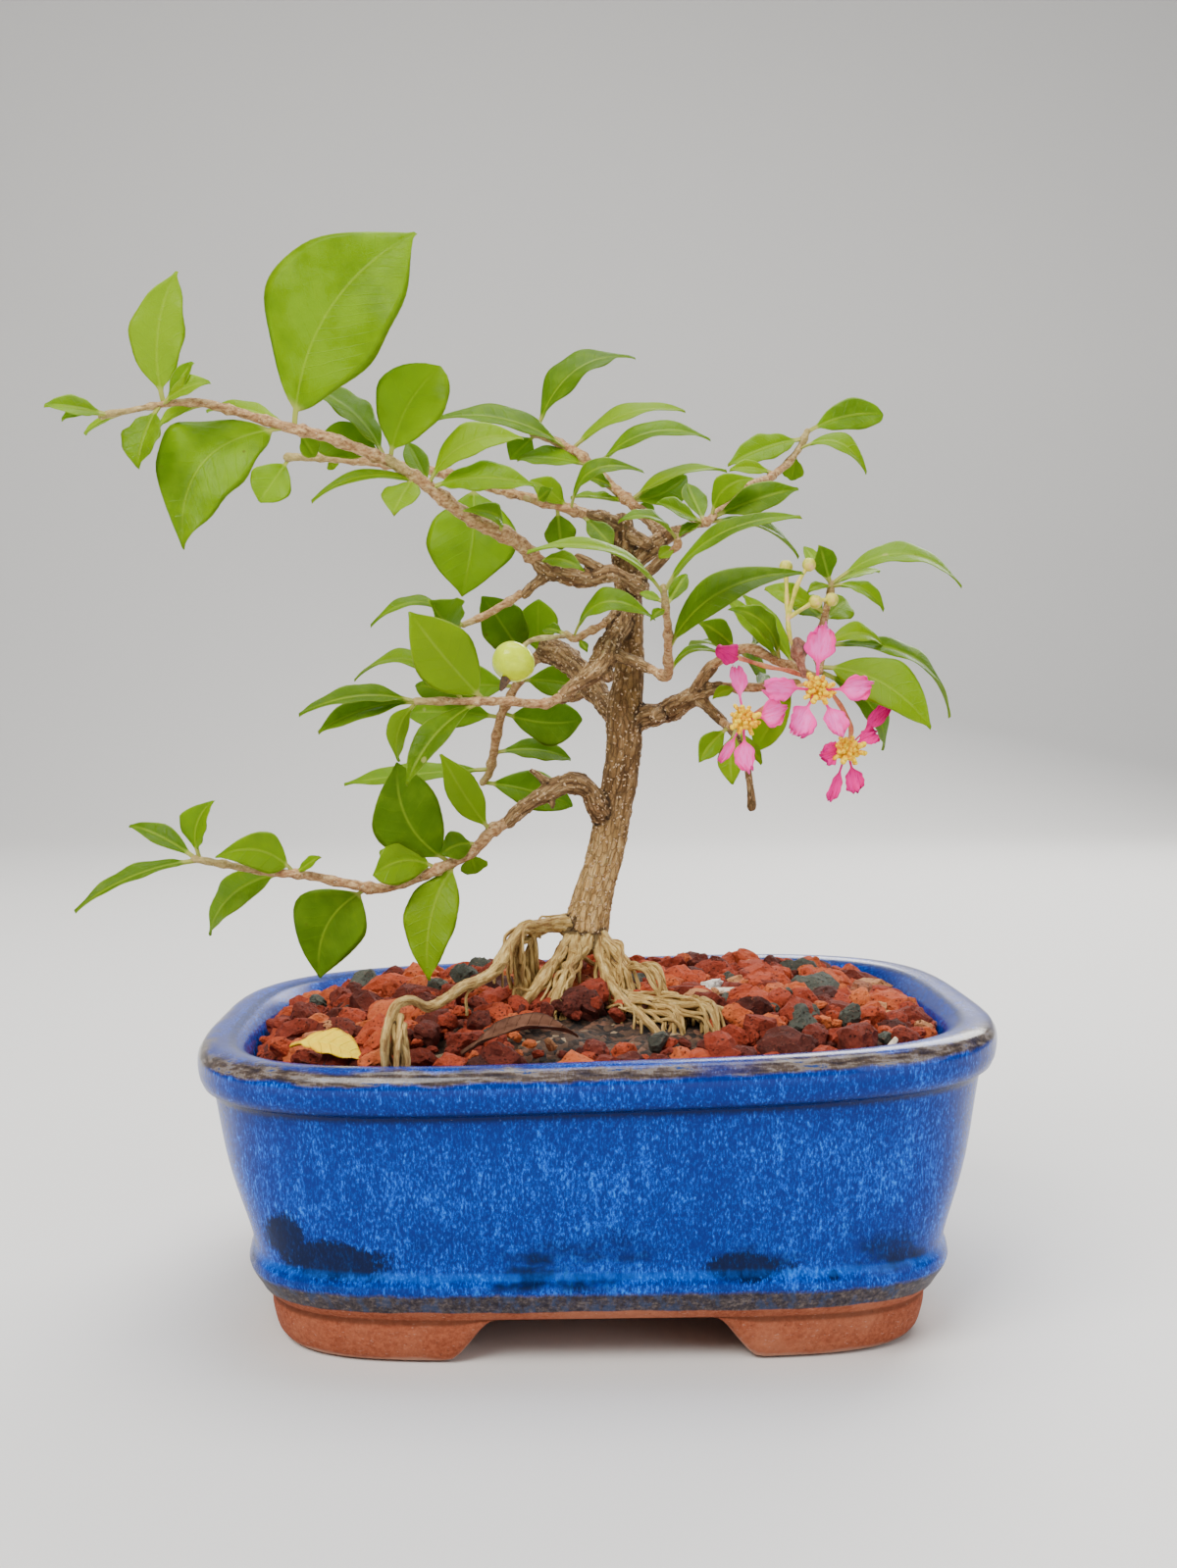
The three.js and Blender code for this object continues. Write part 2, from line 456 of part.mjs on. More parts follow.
      [-83.5, 188, -93, 183.5, 3, 4.5, 45, 0.08, 0.3, 0, 0.54],
      [-63, 182.5, -59.5, 177, 6, 4.5, 10, 0, 0.3, 0, 0.54],
      [-44.5, 176.5, -61.5, 192, 9, 9.5, 48, 0.1, 0.35, 0.05, 0.54],
      [-44.5, 176.5, -60.5, 180, 6, 9, 18, 0.05, 0.3, 0.1, 0.54],
    ],
  },
  back_left_spray: {
    twig: [
      [7.5, 160.5, 4, 1.3], [4, 162.5, 8, 1.2], [-3.5, 166, 14, 1.1], [-13, 168.5, 17, 1.1],
      [-19.5, 170, 19, 1.1], [-26, 172, 21, 1.2], [-33.5, 174, 22, 1.2], [-43, 175.5, 24, 1.1],
      [-51.5, 176.5, 25, 1.1], [-59, 177, 26, 1], [-65.5, 177, 27, 0.9],
    ],
    leaves: [
      [-65, 177, -71.5, 167.5, 0, 10, 15, 0, 0.3, 0, 0.54],
      [-56.5, 177, -55.5, 174.5, 2, 3, 20, 0, 0.3, 0, 0.54],
      [-27, 172, -22.5, 175, 4, 4.5, 20, 0.1, 0.3, 0, 0.54],
      [-26, 172, -28.5, 148, -8, 19, 6, 0.03, 0.25, -0.05, 0.5],
    ],
  },
  back_low_spray: {
    twig: [
      [-10.5, 136, 29, 1.3], [-14, 132.5, 32, 1.1], [-17, 128, 34, 1.1], [-20, 122, 36, 1.1],
      [-21.5, 115, 38, 1.1], [-22.5, 110, 40, 1], [-24, 107.5, 41, 0.9],
    ],
    leaves: [
      [-19.5, 122.5, -2.5, 121, 4, 10.5, 20, 0.05, 0.25, 0.1, 0.54],
      [-20, 121.5, -41, 122.5, 3, 8.5, 25, 0.08, 0.3, 0, 0.54],
      [-22, 114, -5, 112.5, 2, 6.5, 45, 0.12, 0.3, 0, 0.54],
      [-24, 107.5, -4.5, 102.5, 4, 9.5, 32, 0.08, 0.3, 0, 0.54],
      [-22.5, 110.5, -54, 107.5, 3, 7, 55, 0.03, 0.3, -0.02, 0.5],
      [-14, 132.5, -24, 147.5, -5, 10, 15, 0.05, 0.25, 0, 0.54],
      [-12, 134, -12, 147, 2, 9, 15, 0, 0.25, 0, 0.54],
      [-13, 133.5, -20.5, 138, 5, 6, 20, 0.1, 0.3, 0, 0.54],
      [-16, 129.5, -1, 127.5, -4, 8, 30, 0.1, 0.3, 0, 0.54],
      [-16.5, 128, -36.5, 128, 5, 10, 20, 0.05, 0.3, 0, 0.54],
    ],
  },
};

// Each petal is [across, up, depth, width] at its tip
const BLOOMS = {
  bloom_a: {
    centre: [48.5, 127.5, -34],
    petals: [
      [49.5, 141.5, -36, 7], [37, 129.5, -37, 6], [60.5, 128.5, -36, 6], [42.5, 118, -38, 6.5],
      [53.5, 117, -38, 5.5],
    ],
    petalColour: 0xf590c8,
    antherColour: 0xf3c455,
  },
  bloom_b: {
    centre: [32.5, 121, -30],
    petals: [[42, 122.5, -33, 6.5], [34, 109.5, -33, 5], [27, 112, -30, 2.5], [29.5, 132, -26, 4]],
    petalColour: 0xf08ac2,
    antherColour: 0xf3c455,
  },
  bloom_c: {
    centre: [55, 114.5, -33],
    petals: [
      [49, 114, -36, 5.5], [50.5, 103.5, -34, 3], [57, 105, -34, 4.5], [61, 118, -31, 4],
      [64, 123.5, -29, 3.5],
    ],
    petalColour: 0xd6207e,
    antherColour: 0xe99a52,
  },
};
const BLOOM_STALKS = [
  [[48.5, 127.5, -33, 0.6], [49, 129, -28, 0.5], [48, 129.5, -24.5, 0.6]],
  [
    [55, 114.5, -32, 0.6], [56, 119, -27, 0.5], [54, 123.5, -25, 0.5], [50.5, 128, -24.5, 0.5],
    [48, 129.5, -24.5, 0.5],
  ],
  [[32.5, 121, -29, 0.6], [37, 123.5, -25, 0.5], [41.5, 127, -24.5, 0.5], [48, 129.5, -24.5, 0.5]],
  [[31, 134.5, -27.5, 0.5], [37.5, 132.5, -26, 0.5], [42.5, 131.5, -25, 0.5], [48, 129.5, -24.5, 0.5]],
];
const WILTED_BLOOM = [[30.5, 134.5, -27.5, 0.9], [29.5, 135, -28, 2.1], [27.5, 136, -28.5, 1.2]];
const DRIED_BLOOM = [
  [45.5, 130.5, -26, 0.6], [45, 133, -26, 0.8], [44.5, 136, -26, 1.7], [44, 138, -26, 0.9],
];
const FRUIT = {
  centre: [-17.5, 133.5, -17],
  stalk: [
    [-16, 135.5, -16.5, 0.6], [-14.5, 137.5, -16, 0.6], [-12, 138.5, -15.5, 0.6], [-6.5, 139, -13, 0.5],
  ],
  driedTip: [[-18.5, 131, -18, 1], [-19.5, 128.5, -19, 0.8], [-20, 127.5, -19.5, 0.4]],
};
const BUDS = {
  tips: [[46.5, 154.5, -22], [41.5, 154, -20], [51.5, 147, -20.5], [48, 146.5, -22]],
  stalks: [
    [[44, 134, -23, 0.5], [42.5, 139, -23.5, 0.5], [42, 143, -22.5, 0.5], [41.5, 154, -20, 0.5]],
    [[42, 143, -22.5, 0.5], [44, 150, -22.5, 0.5], [46.5, 154.5, -22, 0.5]],
    [[42, 143, -22.5, 0.5], [48, 146.5, -22, 0.5], [51.5, 147, -20.5, 0.5]],
  ],
};

// What lies on the gravel. A fallen leaf is [across, up, depth] at its root and at its tip.
const FALLEN_LEAVES = {
  fallen_yellow_leaf: {
    root: [-65.5, 48, -38],
    tip: [-50.5, 45.5, -44],
    width: 8,
    arch: 0.2,
    colour: 0xf3d44a,
  },
  fallen_brown_leaf: {
    root: [-28.5, 49, -50],
    tip: [-3.5, 50.5, -46],
    width: 8,
    arch: 0.16,
    colour: 0x6f4630,
  },
};
const PERLITE_CHIP = { spot: [26, 63, -8], radius: 2, squash: 0.8 };
const PALE_STICK = [[25, 61.5, -12, 0.7], [32, 61.5, -12, 0.9], [38, 60, -13, 0.7]];
const WHITE_TWIG = [[64.5, 48, -44, 0.7], [66, 50, -42, 0.7], [67, 51.5, -40, 0.5]];

// Solids

function place(across, up, depth) {
  const inPlane = new THREE.Vector3(across, 0, up);
  return inPlane.sub(EYE).multiplyScalar((depth - EYE.y) / -EYE.y).add(EYE);
}

// How much larger than in that plane a thing seen from EYE is at a depth
function scaleAt(depth) {
  return (depth - EYE.y) / -EYE.y;
}

function geometryFrom(points, faces) {
  const geometry = new THREE.BufferGeometry();
  const coordinates = points.flatMap((point) => point.toArray());
  geometry.setAttribute('position', new THREE.Float32BufferAttribute(coordinates, 3));
  geometry.setIndex(faces.flat());
  return geometry;
}

function solid(geometry) {
  const bare = geometry.clone();
  bare.deleteAttribute('normal');
  bare.deleteAttribute('uv');
  const merged = mergeVertices(bare);
  const corners = merged.index.array;
  const kept = [];
  for (let i = 0; i < corners.length; i += 3) {
    const [a, b, c] = corners.slice(i, i + 3);
    if (a !== b && b !== c && c !== a) kept.push(a, b, c);
  }
  const vertProperties = merged.attributes.position.array;
  return new wasm.Manifold(new wasm.Mesh({ numProp: 3, vertProperties, triVerts: Uint32Array.from(kept) }));
}

function joined(solids) {
  return solids.reduce((whole, piece) => whole.add(piece));
}

function geometryOf(body) {
  const { vertProperties, triVerts } = body.getMesh();
  const geometry = new THREE.BufferGeometry();
  geometry.setAttribute('position', new THREE.BufferAttribute(vertProperties, 3));
  geometry.setIndex(new THREE.BufferAttribute(triVerts, 1));
  return geometry;
}

function largestPiece(body) {
  return body.decompose().reduce((best, piece) => (piece.volume() > best.volume() ? piece : best));
}

// A skin over rings of equally many points, closed by a fan at each end. An end of one point is a
// pole. Quads are split one way, and those listed in crossed the other way.
function ringSkin(rings, crossed = []) {
  const points = rings.flat();
  const faces = [];
  let start = 0;
  for (let k = 0; k + 1 < rings.length; k += 1) {
    const near = rings[k].length;
    const far = rings[k + 1].length;
    const next = start + near;
    const count = Math.max(near, far);
    for (let i = 0; i < count; i += 1) {
      const j = (i + 1) % count;
      const [a, b, c, d] = [start + i, start + j, next + j, next + i];
      if (near === 1) faces.push([start, c, d]);
      else if (far === 1) faces.push([a, b, next]);
      else if (crossed.includes(i)) faces.push([a, b, d], [b, c, d]);
      else faces.push([a, b, c], [a, c, d]);
    }
    start = next;
  }
  const first = rings[0].length;
  for (let i = 1; i + 1 < first; i += 1) faces.push([0, i + 1, i]);
  const last = rings[rings.length - 1].length;
  for (let i = 1; i + 1 < last; i += 1) faces.push([start, start + i, start + i + 1]);
  return geometryFrom(points, faces);
}

function seededRandom(seed) {
  let state = seed;
  return () => {
    state = (state * 1664525 + 1013904223) % 4294967296;
    return state / 4294967296;
  };
}

function smoothStep(from, to, value) {
  return THREE.MathUtils.smoothstep(value, from, to);
}

// Pot

function outlinePoint(turn, inset, height = RIM_HEIGHT) {
  const taper = (1 - smoothStep(...FOOT_TAPER.span, height)) ** 2;
  const power = 2 / (OUTLINE_POWER + FOOT_TAPER.power * taper);
  const c = Math.cos(turn);
  const s = Math.sin(turn);
  const shorter = inset + FOOT_TAPER.inset * taper;
  return {
    x: (POT_LENGTH / 2 - shorter) * Math.sign(c) * Math.abs(c) ** power,
    y: (POT_DEPTH / 2 - inset) * Math.sign(s) * Math.abs(s) ** power,
  };
}

// Turns that step evenly along the rounded outline
function evenTurns(count) {
  const fine = 4096;
  const lengths = [0];
  for (let i = 1; i <= fine; i += 1) {
    const a = outlinePoint((2 * Math.PI * (i - 1)) / fine, 0);
    const b = outlinePoint((2 * Math.PI * i) / fine, 0);
    lengths.push(lengths[i - 1] + Math.hypot(b.x - a.x, b.y - a.y));
  }
  const turns = [];
  let i = 0;
  for (let k = 0; k < count; k += 1) {
    const wanted = (lengths[fine] * k) / count;
    while (lengths[i + 1] < wanted) i += 1;
    turns.push((2 * Math.PI * i) / fine);
  }
  return turns;
}

const TURNS = evenTurns(OUTLINE_POINTS);

// The rim of the hand-made pot rises to the right, the foot is level
function tilted(x, y, z) {
  return new THREE.Vector3(x, y, z + RIM_SLOPE * x * smoothStep(UNDERSIDE_HEIGHT, RIM_HEIGHT, z));
}

function outlineRing(inset, height, turns = TURNS) {
  return turns.map((turn) => {
    const level = typeof height === 'function' ? 0 : height;
    const { x, y } = outlinePoint(turn, inset, level);
    return tilted(x, y, typeof height === 'function' ? height(x, y) : height);
  });
}

// Height of the lower edge: on the ground at the four corner feet, raised between them
function footHeight(x, y) {
  const along = smoothStep(...FOOT_FRONT_SPAN, Math.abs(x));
  const beside = smoothStep(...FOOT_SIDE_SPAN, Math.abs(y));
  return UNDERSIDE_HEIGHT * (1 - along * beside);
}

function cylinderSolid(radius, height, x, y, z) {
  const shape = new THREE.CylinderGeometry(radius, radius, height, HOLE_SIDES);
  shape.rotateX(Math.PI / 2);
  shape.translate(x, y, z);
  return solid(shape);
}

function boxSolid(width, depth, height, x, y, z) {
  const shape = new THREE.BoxGeometry(width, depth, height);
  shape.translate(x, y, z);
  return solid(shape);
}

function makePot() {
  const profile = [
    [FOOT_INSETS.recess, UNDERSIDE_HEIGHT],
    [FOOT_INSETS.inner, footHeight],
    [FOOT_INSETS.outer, footHeight],
    ...OUTER_WALL,
    [RIM_CREST_INSET, RIM_HEIGHT],
    [RIM_INNER_EDGE.inset, RIM_INNER_EDGE.height],
    [INNER_WALL_TOP.inset, INNER_WALL_TOP.height],
    [INNER_WALL_FOOT.inset, INNER_WALL_FOOT.height],
    [INNER_WALL_FOOT.inset + FLOOR_COVE, FLOOR_HEIGHT],
  ];
  const rings = profile.map(([inset, height]) => outlineRing(inset, height));
  rings.unshift([tilted(0, 0, UNDERSIDE_HEIGHT)]);
  rings.push([tilted(0, 0, FLOOR_HEIGHT)]);
  let pot = solid(ringSkin(rings));
  for (const side of [-1, 1]) {
    const middle = (side * DRAIN_SPACING) / 2;
    pot = pot.subtract(cylinderSolid(DRAIN_RADIUS, 2 * FLOOR_HEIGHT, middle, 0, FLOOR_HEIGHT));
  }
  return geometryOf(pot);
}

// A square of plastic mesh over a drain hole
function makeScreen(side) {
  const middle = (side * DRAIN_SPACING) / 2;
  const height = FLOOR_HEIGHT + GAP + SCREEN_THICKNESS / 2;
  const pitch = (SCREEN_SIZE - SCREEN_BAR) / SCREEN_HOLES;
  const hole = pitch - SCREEN_BAR;
  let screen = boxSolid(SCREEN_SIZE, SCREEN_SIZE, SCREEN_THICKNESS, middle, 0, height);
  for (let i = 0; i < SCREEN_HOLES; i += 1) {
    for (let j = 0; j < SCREEN_HOLES; j += 1) {
      const x = middle + (i - (SCREEN_HOLES - 1) / 2) * pitch;
      const y = (j - (SCREEN_HOLES - 1) / 2) * pitch;
      screen = screen.subtract(boxSolid(hole, hole, 2 * SCREEN_THICKNESS, x, y, height));
    }
  }
  return geometryOf(screen);
}

// Branches, twigs and roots

// A limb through [across, up, depth, radius] places. It grows by clearance on every side.
function limb(path, sides = LIMB_SIDES, flute = 0, clearance = 0) {
  const spots = path.map(([across, up, depth]) => place(across, up, depth));
  const last = spots.length - 1;
  const directions = spots.map((_, i) => {
    const before = spots[Math.max(i - 1, 0)];
    const after = spots[Math.min(i + 1, last)];
    return after.clone().sub(before).normalize();
  });
  let across = new THREE.Vector3(1, 0, 0);
  if (Math.abs(directions[0].x) > Math.SQRT1_2) across = new THREE.Vector3(0, 0, 1);
  spots[0].addScaledVector(directions[0], -clearance);
  spots[last].addScaledVector(directions[last], clearance);
  const rings = spots.map((spot, i) => {
    const ahead = directions[i];
    across = across.addScaledVector(ahead, -across.dot(ahead)).normalize();
    const beside = ahead.clone().cross(across);
    return Array.from({ length: sides }, (_, k) => {
      const turn = (2 * Math.PI * k) / sides;
      const radius = path[i][3] * scaleAt(path[i][2]) * (1 + (k % 2 ? flute : -flute)) + clearance;
      const out = across.clone().multiplyScalar(radius * Math.cos(turn));
      return out.addScaledVector(beside, radius * Math.sin(turn)).add(spot);
    });
  });
  return solid(ringSkin(rings));
}

function woodSolid(clearance = 0) {
  const { trunk, ...branches } = BRANCHES;
  const paths = [...Object.values(branches), ...Object.values(ROOTS)];
  const limbs = paths.map((path) => limb(path, LIMB_SIDES, 0, clearance));
  return joined([limb(trunk, TRUNK_SIDES, TRUNK_FLUTE, clearance), ...limbs]);
}

// Leaves and petals

// Stations along a blade: how far from its root, and the share of its half width there
const BROAD_LEAF_STATIONS = [[0, 0.02], [0.1, 0.02], [0.36, 0.88], [0.7, 0.88]];
const LEAF_STATIONS = [[0, 0], [0.32, 0.86], [0.68, 0.9]];
const SMALL_LEAF_STATIONS = [[0, 0], [0.5, 1]];
// Where these leaves are widest, where their stalks end, and how near the tip a station may lie
const MODEL_WIDEST = 0.52;
const PETIOLE_END = 0.1;
const LAST_STATION = 0.86;
const PETAL_STATIONS = [[0, 0.02], [0.42, 0.05], [0.66, 0.72], [0.86, 1]];
const POINTED = [1, 0];
const BLUNT = [1, 0.6];
// The quads of a blade's ring that are split the other way, so that both its faces fold alike
const BLADE_CROSSED = [0, 3];

// A thin blade from root to tip. Roll turns its upper face from the front towards the sky, arch
// lifts its middle, fold raises its two edges and sweep bends it sideways.
function blade(root, tip, width, { roll, arch, fold, sweep }, stations) {
  const chord = tip.clone().sub(root);
  const length = chord.length();
  const along = chord.clone().normalize();
  const front = new THREE.Vector3(0, -1, 0);
  const facing = front.addScaledVector(along, -front.dot(along)).normalize();
  const skyward = along.clone().cross(facing);
  if (skyward.z < 0) skyward.negate();
  const angle = THREE.MathUtils.degToRad(roll);
  const normal = facing.multiplyScalar(Math.cos(angle)).addScaledVector(skyward, Math.sin(angle));
  const side = along.clone().cross(normal);
  const lift = normal.clone().multiplyScalar(BLADE_THICKNESS / 2);
  const rings = stations.map(([t, share]) => {
    const bulge = 4 * t * (1 - t) * length;
    const centre = root.clone().addScaledVector(chord, t);
    centre.addScaledVector(normal, arch * bulge).addScaledVector(side, sweep * bulge);
    const half = (share * width) / 2;
    const reach = share > 0 ? Math.max(half * Math.cos(fold), PETIOLE_HALF_WIDTH) : 0;
    const edges = [-reach, reach].map((offset) => centre.clone().addScaledVector(side, offset));
    for (const edge of edges) edge.addScaledVector(normal, half * Math.sin(fold));
    const row = [edges[0], centre, edges[1]];
    const over = row.map((point) => point.clone().add(lift));
    const under = row.map((point) => point.clone().sub(lift));
    return [...over, ...under.reverse()];
  });
  return solid(ringSkin(rings, BLADE_CROSSED));
}

// The place on a twig, as it is seen from the front, that is nearest to a leaf's root
function onTwig(twig, across, up) {
  let best = { distance: Infinity };
  for (let i = 0; i + 1 < twig.length; i += 1) {
    const [x0, z0, depth0] = twig[i];
    const [x1, z1, depth1] = twig[i + 1];
    const [dx, dz] = [x1 - x0, z1 - z0];
    const t = THREE.MathUtils.clamp(((across - x0) * dx + (up - z0) * dz) / (dx * dx + dz * dz), 0, 1);
    const distance = Math.hypot(x0 + t * dx - across, z0 + t * dz - up);
    if (distance < best.distance) {
      best = { distance, spot: [x0 + t * dx, z0 + t * dz, depth0 + t * (depth1 - depth0)] };
    }
  }
  return best.spot;
}

// A leaf is widest at a share of its length that differs from leaf to leaf
function leafSolid(twig, leaf) {
  const [rootAcross, rootUp, tipAcross, tipUp, tipDepth, width, roll, arch, fold, sweep, widest] = leaf;
  const [across, up, depth] = onTwig(twig, rootAcross, rootUp);
  const root = place(across, up, depth);
  const tip = place(tipAcross, tipUp, depth + tipDepth);
  const length = root.distanceTo(tip);
  let model = LEAF_STATIONS;
  if (length < SMALL_LEAF_LENGTH) model = SMALL_LEAF_STATIONS;
  if (length > BROAD_LEAF_LENGTH) model = BROAD_LEAF_STATIONS;
  const stations = model.map(([t, share]) => {
    return [t > PETIOLE_END ? Math.min((t * widest) / MODEL_WIDEST, LAST_STATION) : t, share];
  });
  return blade(root, tip, width * scaleAt(depth), { roll, arch, fold, sweep }, [...stations, POINTED]);
}

function makeSpray({ twig, leaves }) {
  return geometryOf(joined([limb(twig), ...leaves.map((leaf) => leafSolid(twig, leaf))]));
}

// Flowers and fruit

function pebble(radius, spot, squash = 1) {
  const shape = new THREE.OctahedronGeometry(radius, 0);
  shape.scale(1, squash, 1);
  shape.translate(spot.x, spot.y, spot.z);
  return solid(shape);
}

function petalSolid(centre, [across, up, depth, width]) {
  const stations = [...PETAL_STATIONS, BLUNT];
  return blade(centre, place(across, up, depth), width * scaleAt(depth), PETAL_LOOK, stations);
}

function makePetals({ centre, petals }) {
  const spot = place(...centre);
  const { radius, thickness, sides } = BLOOM_DISC;
  const shape = new THREE.CylinderGeometry(radius, radius, thickness, sides);
  shape.translate(spot.x, spot.y, spot.z);
  return geometryOf(joined([solid(shape), ...petals.map((petal) => petalSolid(spot, petal))]));
}

// The anthers stand in a ring in front of the petals, around one in the middle
function makeAnthers({ centre }) {
  const spot = place(...centre);
  spot.y -= BLOOM_DISC.thickness / 2 + 2 * GAP + ANTHER_RADIUS;
  const anthers = [pebble(ANTHER_RADIUS, spot)];
  for (let k = 0; k < ANTHER_RING.count; k += 1) {
    const turn = (2 * Math.PI * k) / ANTHER_RING.count;
    const offset = new THREE.Vector3(Math.cos(turn), 0, Math.sin(turn)).multiplyScalar(ANTHER_RING.radius);
    anthers.push(pebble(ANTHER_RADIUS, offset.add(spot)));
  }
  return geometryOf(joined(anthers));
}

function makeFruit() {
  const spot = place(...FRUIT.centre);
  const shape = new THREE.SphereGeometry(FRUIT_RADIUS, ...FRUIT_FACETS);
  shape.scale(1, 1, FRUIT_SQUASH);
  shape.translate(spot.x, spot.y, spot.z);
  return geometryOf(joined([solid(shape), limb(FRUIT.stalk), limb(FRUIT.driedTip)]));
}

function makeBuds() {
  const buds = BUDS.tips.map((tip) => pebble(BUD_RADIUS, place(...tip)));
  const stalks = BUDS.stalks.map((path) => limb(path));
  return geometryOf(joined([...stalks, ...buds]));
}

// What the pot holds

function fillShare(x, y) {
  const halfLength = POT_LENGTH / 2 - INNER_WALL_TOP.inset;
  const halfDepth = POT_DEPTH / 2 - INNER_WALL_TOP.inset;
  const sum = Math.abs(x / halfLength) ** OUTLINE_POWER + Math.abs(y / halfDepth) ** OUTLINE_POWER;
  return sum ** (1 / OUTLINE_POWER);
}

// The bed is highest in the middle and falls towards the rim
function bedHeight(x, y) {
  return BED_EDGE_HEIGHT + BED_MOUND * (1 - Math.min(fillShare(x, y), 1) ** BED_FALL_POWER);
}

const BED_TURNS = TURNS.filter((_, k) => k % 2 === 0);
const BED_INSET = INNER_WALL_TOP.inset + 4 * GAP;
const BED_SHARES = [0.35, 0.75, 1];

function bedRing(share, drop) {
  return BED_TURNS.map((turn) => {
    const { x, y } = outlinePoint(turn, BED_INSET);
    return tilted(share * x, share * y, bedHeight(share * x, share * y) - drop);
  });
}

function patchSolid(clearance) {
  const [width, depth, height] = SOIL_PATCH.radii.map((radius) => radius + clearance);
  const shape = new THREE.SphereGeometry(1, ...PATCH_FACETS);
  shape.rotateX(Math.PI / 2);
  shape.scale(width, depth, height);
  const { x, y, rise } = SOIL_PATCH;
  shape.translate(x, y, bedHeight(x, y) + rise);
  return solid(shape);
}

function makeSoil() {
  const drop = BED_THICKNESS + GAP;
  const rings = [
    [tilted(0, 0, FLOOR_HEIGHT + GAP)],
    outlineRing(INNER_WALL_FOOT.inset + FLOOR_COVE + GAP, FLOOR_HEIGHT + GAP, BED_TURNS),
    outlineRing(INNER_WALL_FOOT.inset + 2 * GAP, INNER_WALL_FOOT.height + GAP, BED_TURNS),
    ...BED_SHARES.toReversed().map((share) => bedRing(share, drop)),
    [tilted(0, 0, bedHeight(0, 0) - drop)],
  ];
  let soil = solid(ringSkin(rings)).add(patchSolid(0));
  for (const side of [-1, 1]) {
    const room = SCREEN_SIZE + 2 * GAP;
    const height = 2 * (SCREEN_THICKNESS + 2 * GAP);
    soil = soil.subtract(boxSolid(room, room, height, (side * DRAIN_SPACING) / 2, 0, FLOOR_HEIGHT));
  }
  return geometryOf(largestPiece(soil.subtract(woodSolid(GAP))));
}

function isOverPatch(x, y) {
  const [width, depth] = SOIL_PATCH.radii;
  return Math.hypot((x - SOIL_PATCH.x) / width, (y - SOIL_PATCH.y) / depth) < 1;
}

// Angular stones of mixed sizes, sunk about half way into the top of the bed
function stoneSolids() {
  const random = seededRandom(STONE_SEED);
  const between = (low, high) => low + (high - low) * random();
  const stones = [];
  const rows = Math.ceil(POT_DEPTH / STONE_ROW_SPACING);
  const columns = Math.ceil(POT_LENGTH / STONE_SPACING);
  for (let row = 0; row < rows; row += 1) {
    for (let column = 0; column < columns; column += 1) {
      const stagger = row % 2 ? STONE_STAGGER : -STONE_STAGGER;
      const x = (column - (columns - 1) / 2 + stagger + between(...STONE_SHIFT)) * STONE_SPACING;
      const y = (row - (rows - 1) / 2 + between(...STONE_SHIFT)) * STONE_ROW_SPACING;
      const radius = between(...STONE_RADIUS);
      const shape = new THREE.OctahedronGeometry(radius, 0);
      shape.scale(between(...STONE_WIDTHS), between(...STONE_WIDTHS), between(...STONE_HEIGHTS));
      shape.rotateX(between(...STONE_TILT));
      shape.rotateZ(between(0, Math.PI));
      const reach = radius / (POT_DEPTH / 2);
      if (fillShare(x, y) > 1 - reach || isOverPatch(x, y) || Math.hypot(x, y) < STONE_FREE_FOOT) continue;
      const spot = tilted(x, y, bedHeight(x, y) + between(...STONE_RISE) * radius);
      shape.translate(spot.x, spot.y, spot.z);
      stones.push(solid(shape));
    }
  }
  return stones;
}

// The room over the soil inside the pot, clear of its wall
function roomSolid() {
  const overhead = RIM_HEIGHT + 2 * STONE_RADIUS[1];
  const rings = [
    [tilted(0, 0, bedHeight(0, 0) - BED_THICKNESS)],
    ...BED_SHARES.map((share) => bedRing(share, BED_THICKNESS)),
    outlineRing(INNER_WALL_TOP.inset + GAP, INNER_WALL_TOP.height, BED_TURNS),
    outlineRing(RIM_INNER_EDGE.inset + GAP, RIM_INNER_EDGE.height, BED_TURNS),
    outlineRing(RIM_INNER_EDGE.inset + GAP, overhead, BED_TURNS),
    [tilted(0, 0, overhead)],
  ];
  return solid(ringSkin(rings));
}

// A body with a little room on every side
function withRoom(body) {
  const steps = [[GAP, 0, 0], [-GAP, 0, 0], [0, GAP, 0], [0, -GAP, 0], [0, 0, GAP], [0, 0, -GAP]];
  return joined([body, ...steps.map((step) => body.translate(step))]);
}

function makeGravel(resting) {
  const rings = [
    [tilted(0, 0, bedHeight(0, 0) - BED_THICKNESS)],
    ...BED_SHARES.map((share) => bedRing(share, BED_THICKNESS)),
    ...BED_SHARES.toReversed().map((share) => bedRing(share, 0)),
    [tilted(0, 0, bedHeight(0, 0))],
  ];
  const bed = joined([solid(ringSkin(rings)), ...stoneSolids()]).intersect(roomSolid());
  const taken = joined([woodSolid(GAP), patchSolid(GAP), ...resting.map(withRoom)]);
  return geometryOf(largestPiece(bed.subtract(taken)));
}

// The whole plant in its pot

const BARK = { color: 0x8f6f4a, roughness: 0.85 };
const LEAF = { color: 0x5f9a16, roughness: 0.4 };
const SPRAY_COLOURS = {
  upper_left_spray: 0x8fb81a,
  upper_left_tip_spray: 0x9dc21c,
  back_left_spray: 0xa9c63a,
};

function fallenLeafSolid({ root, tip, width, arch }) {
  const look = { ...FALLEN_LEAF_LOOK, arch };
  return blade(place(...root), place(...tip), width, look, [...LEAF_STATIONS, POINTED]);
}

const bonsai = new THREE.Group();

function add(name, geometry, look) {
  const mesh = new THREE.Mesh(geometry, new THREE.MeshStandardMaterial({ metalness: 0, ...look }));
  mesh.name = name;
  bonsai.add(mesh);
}

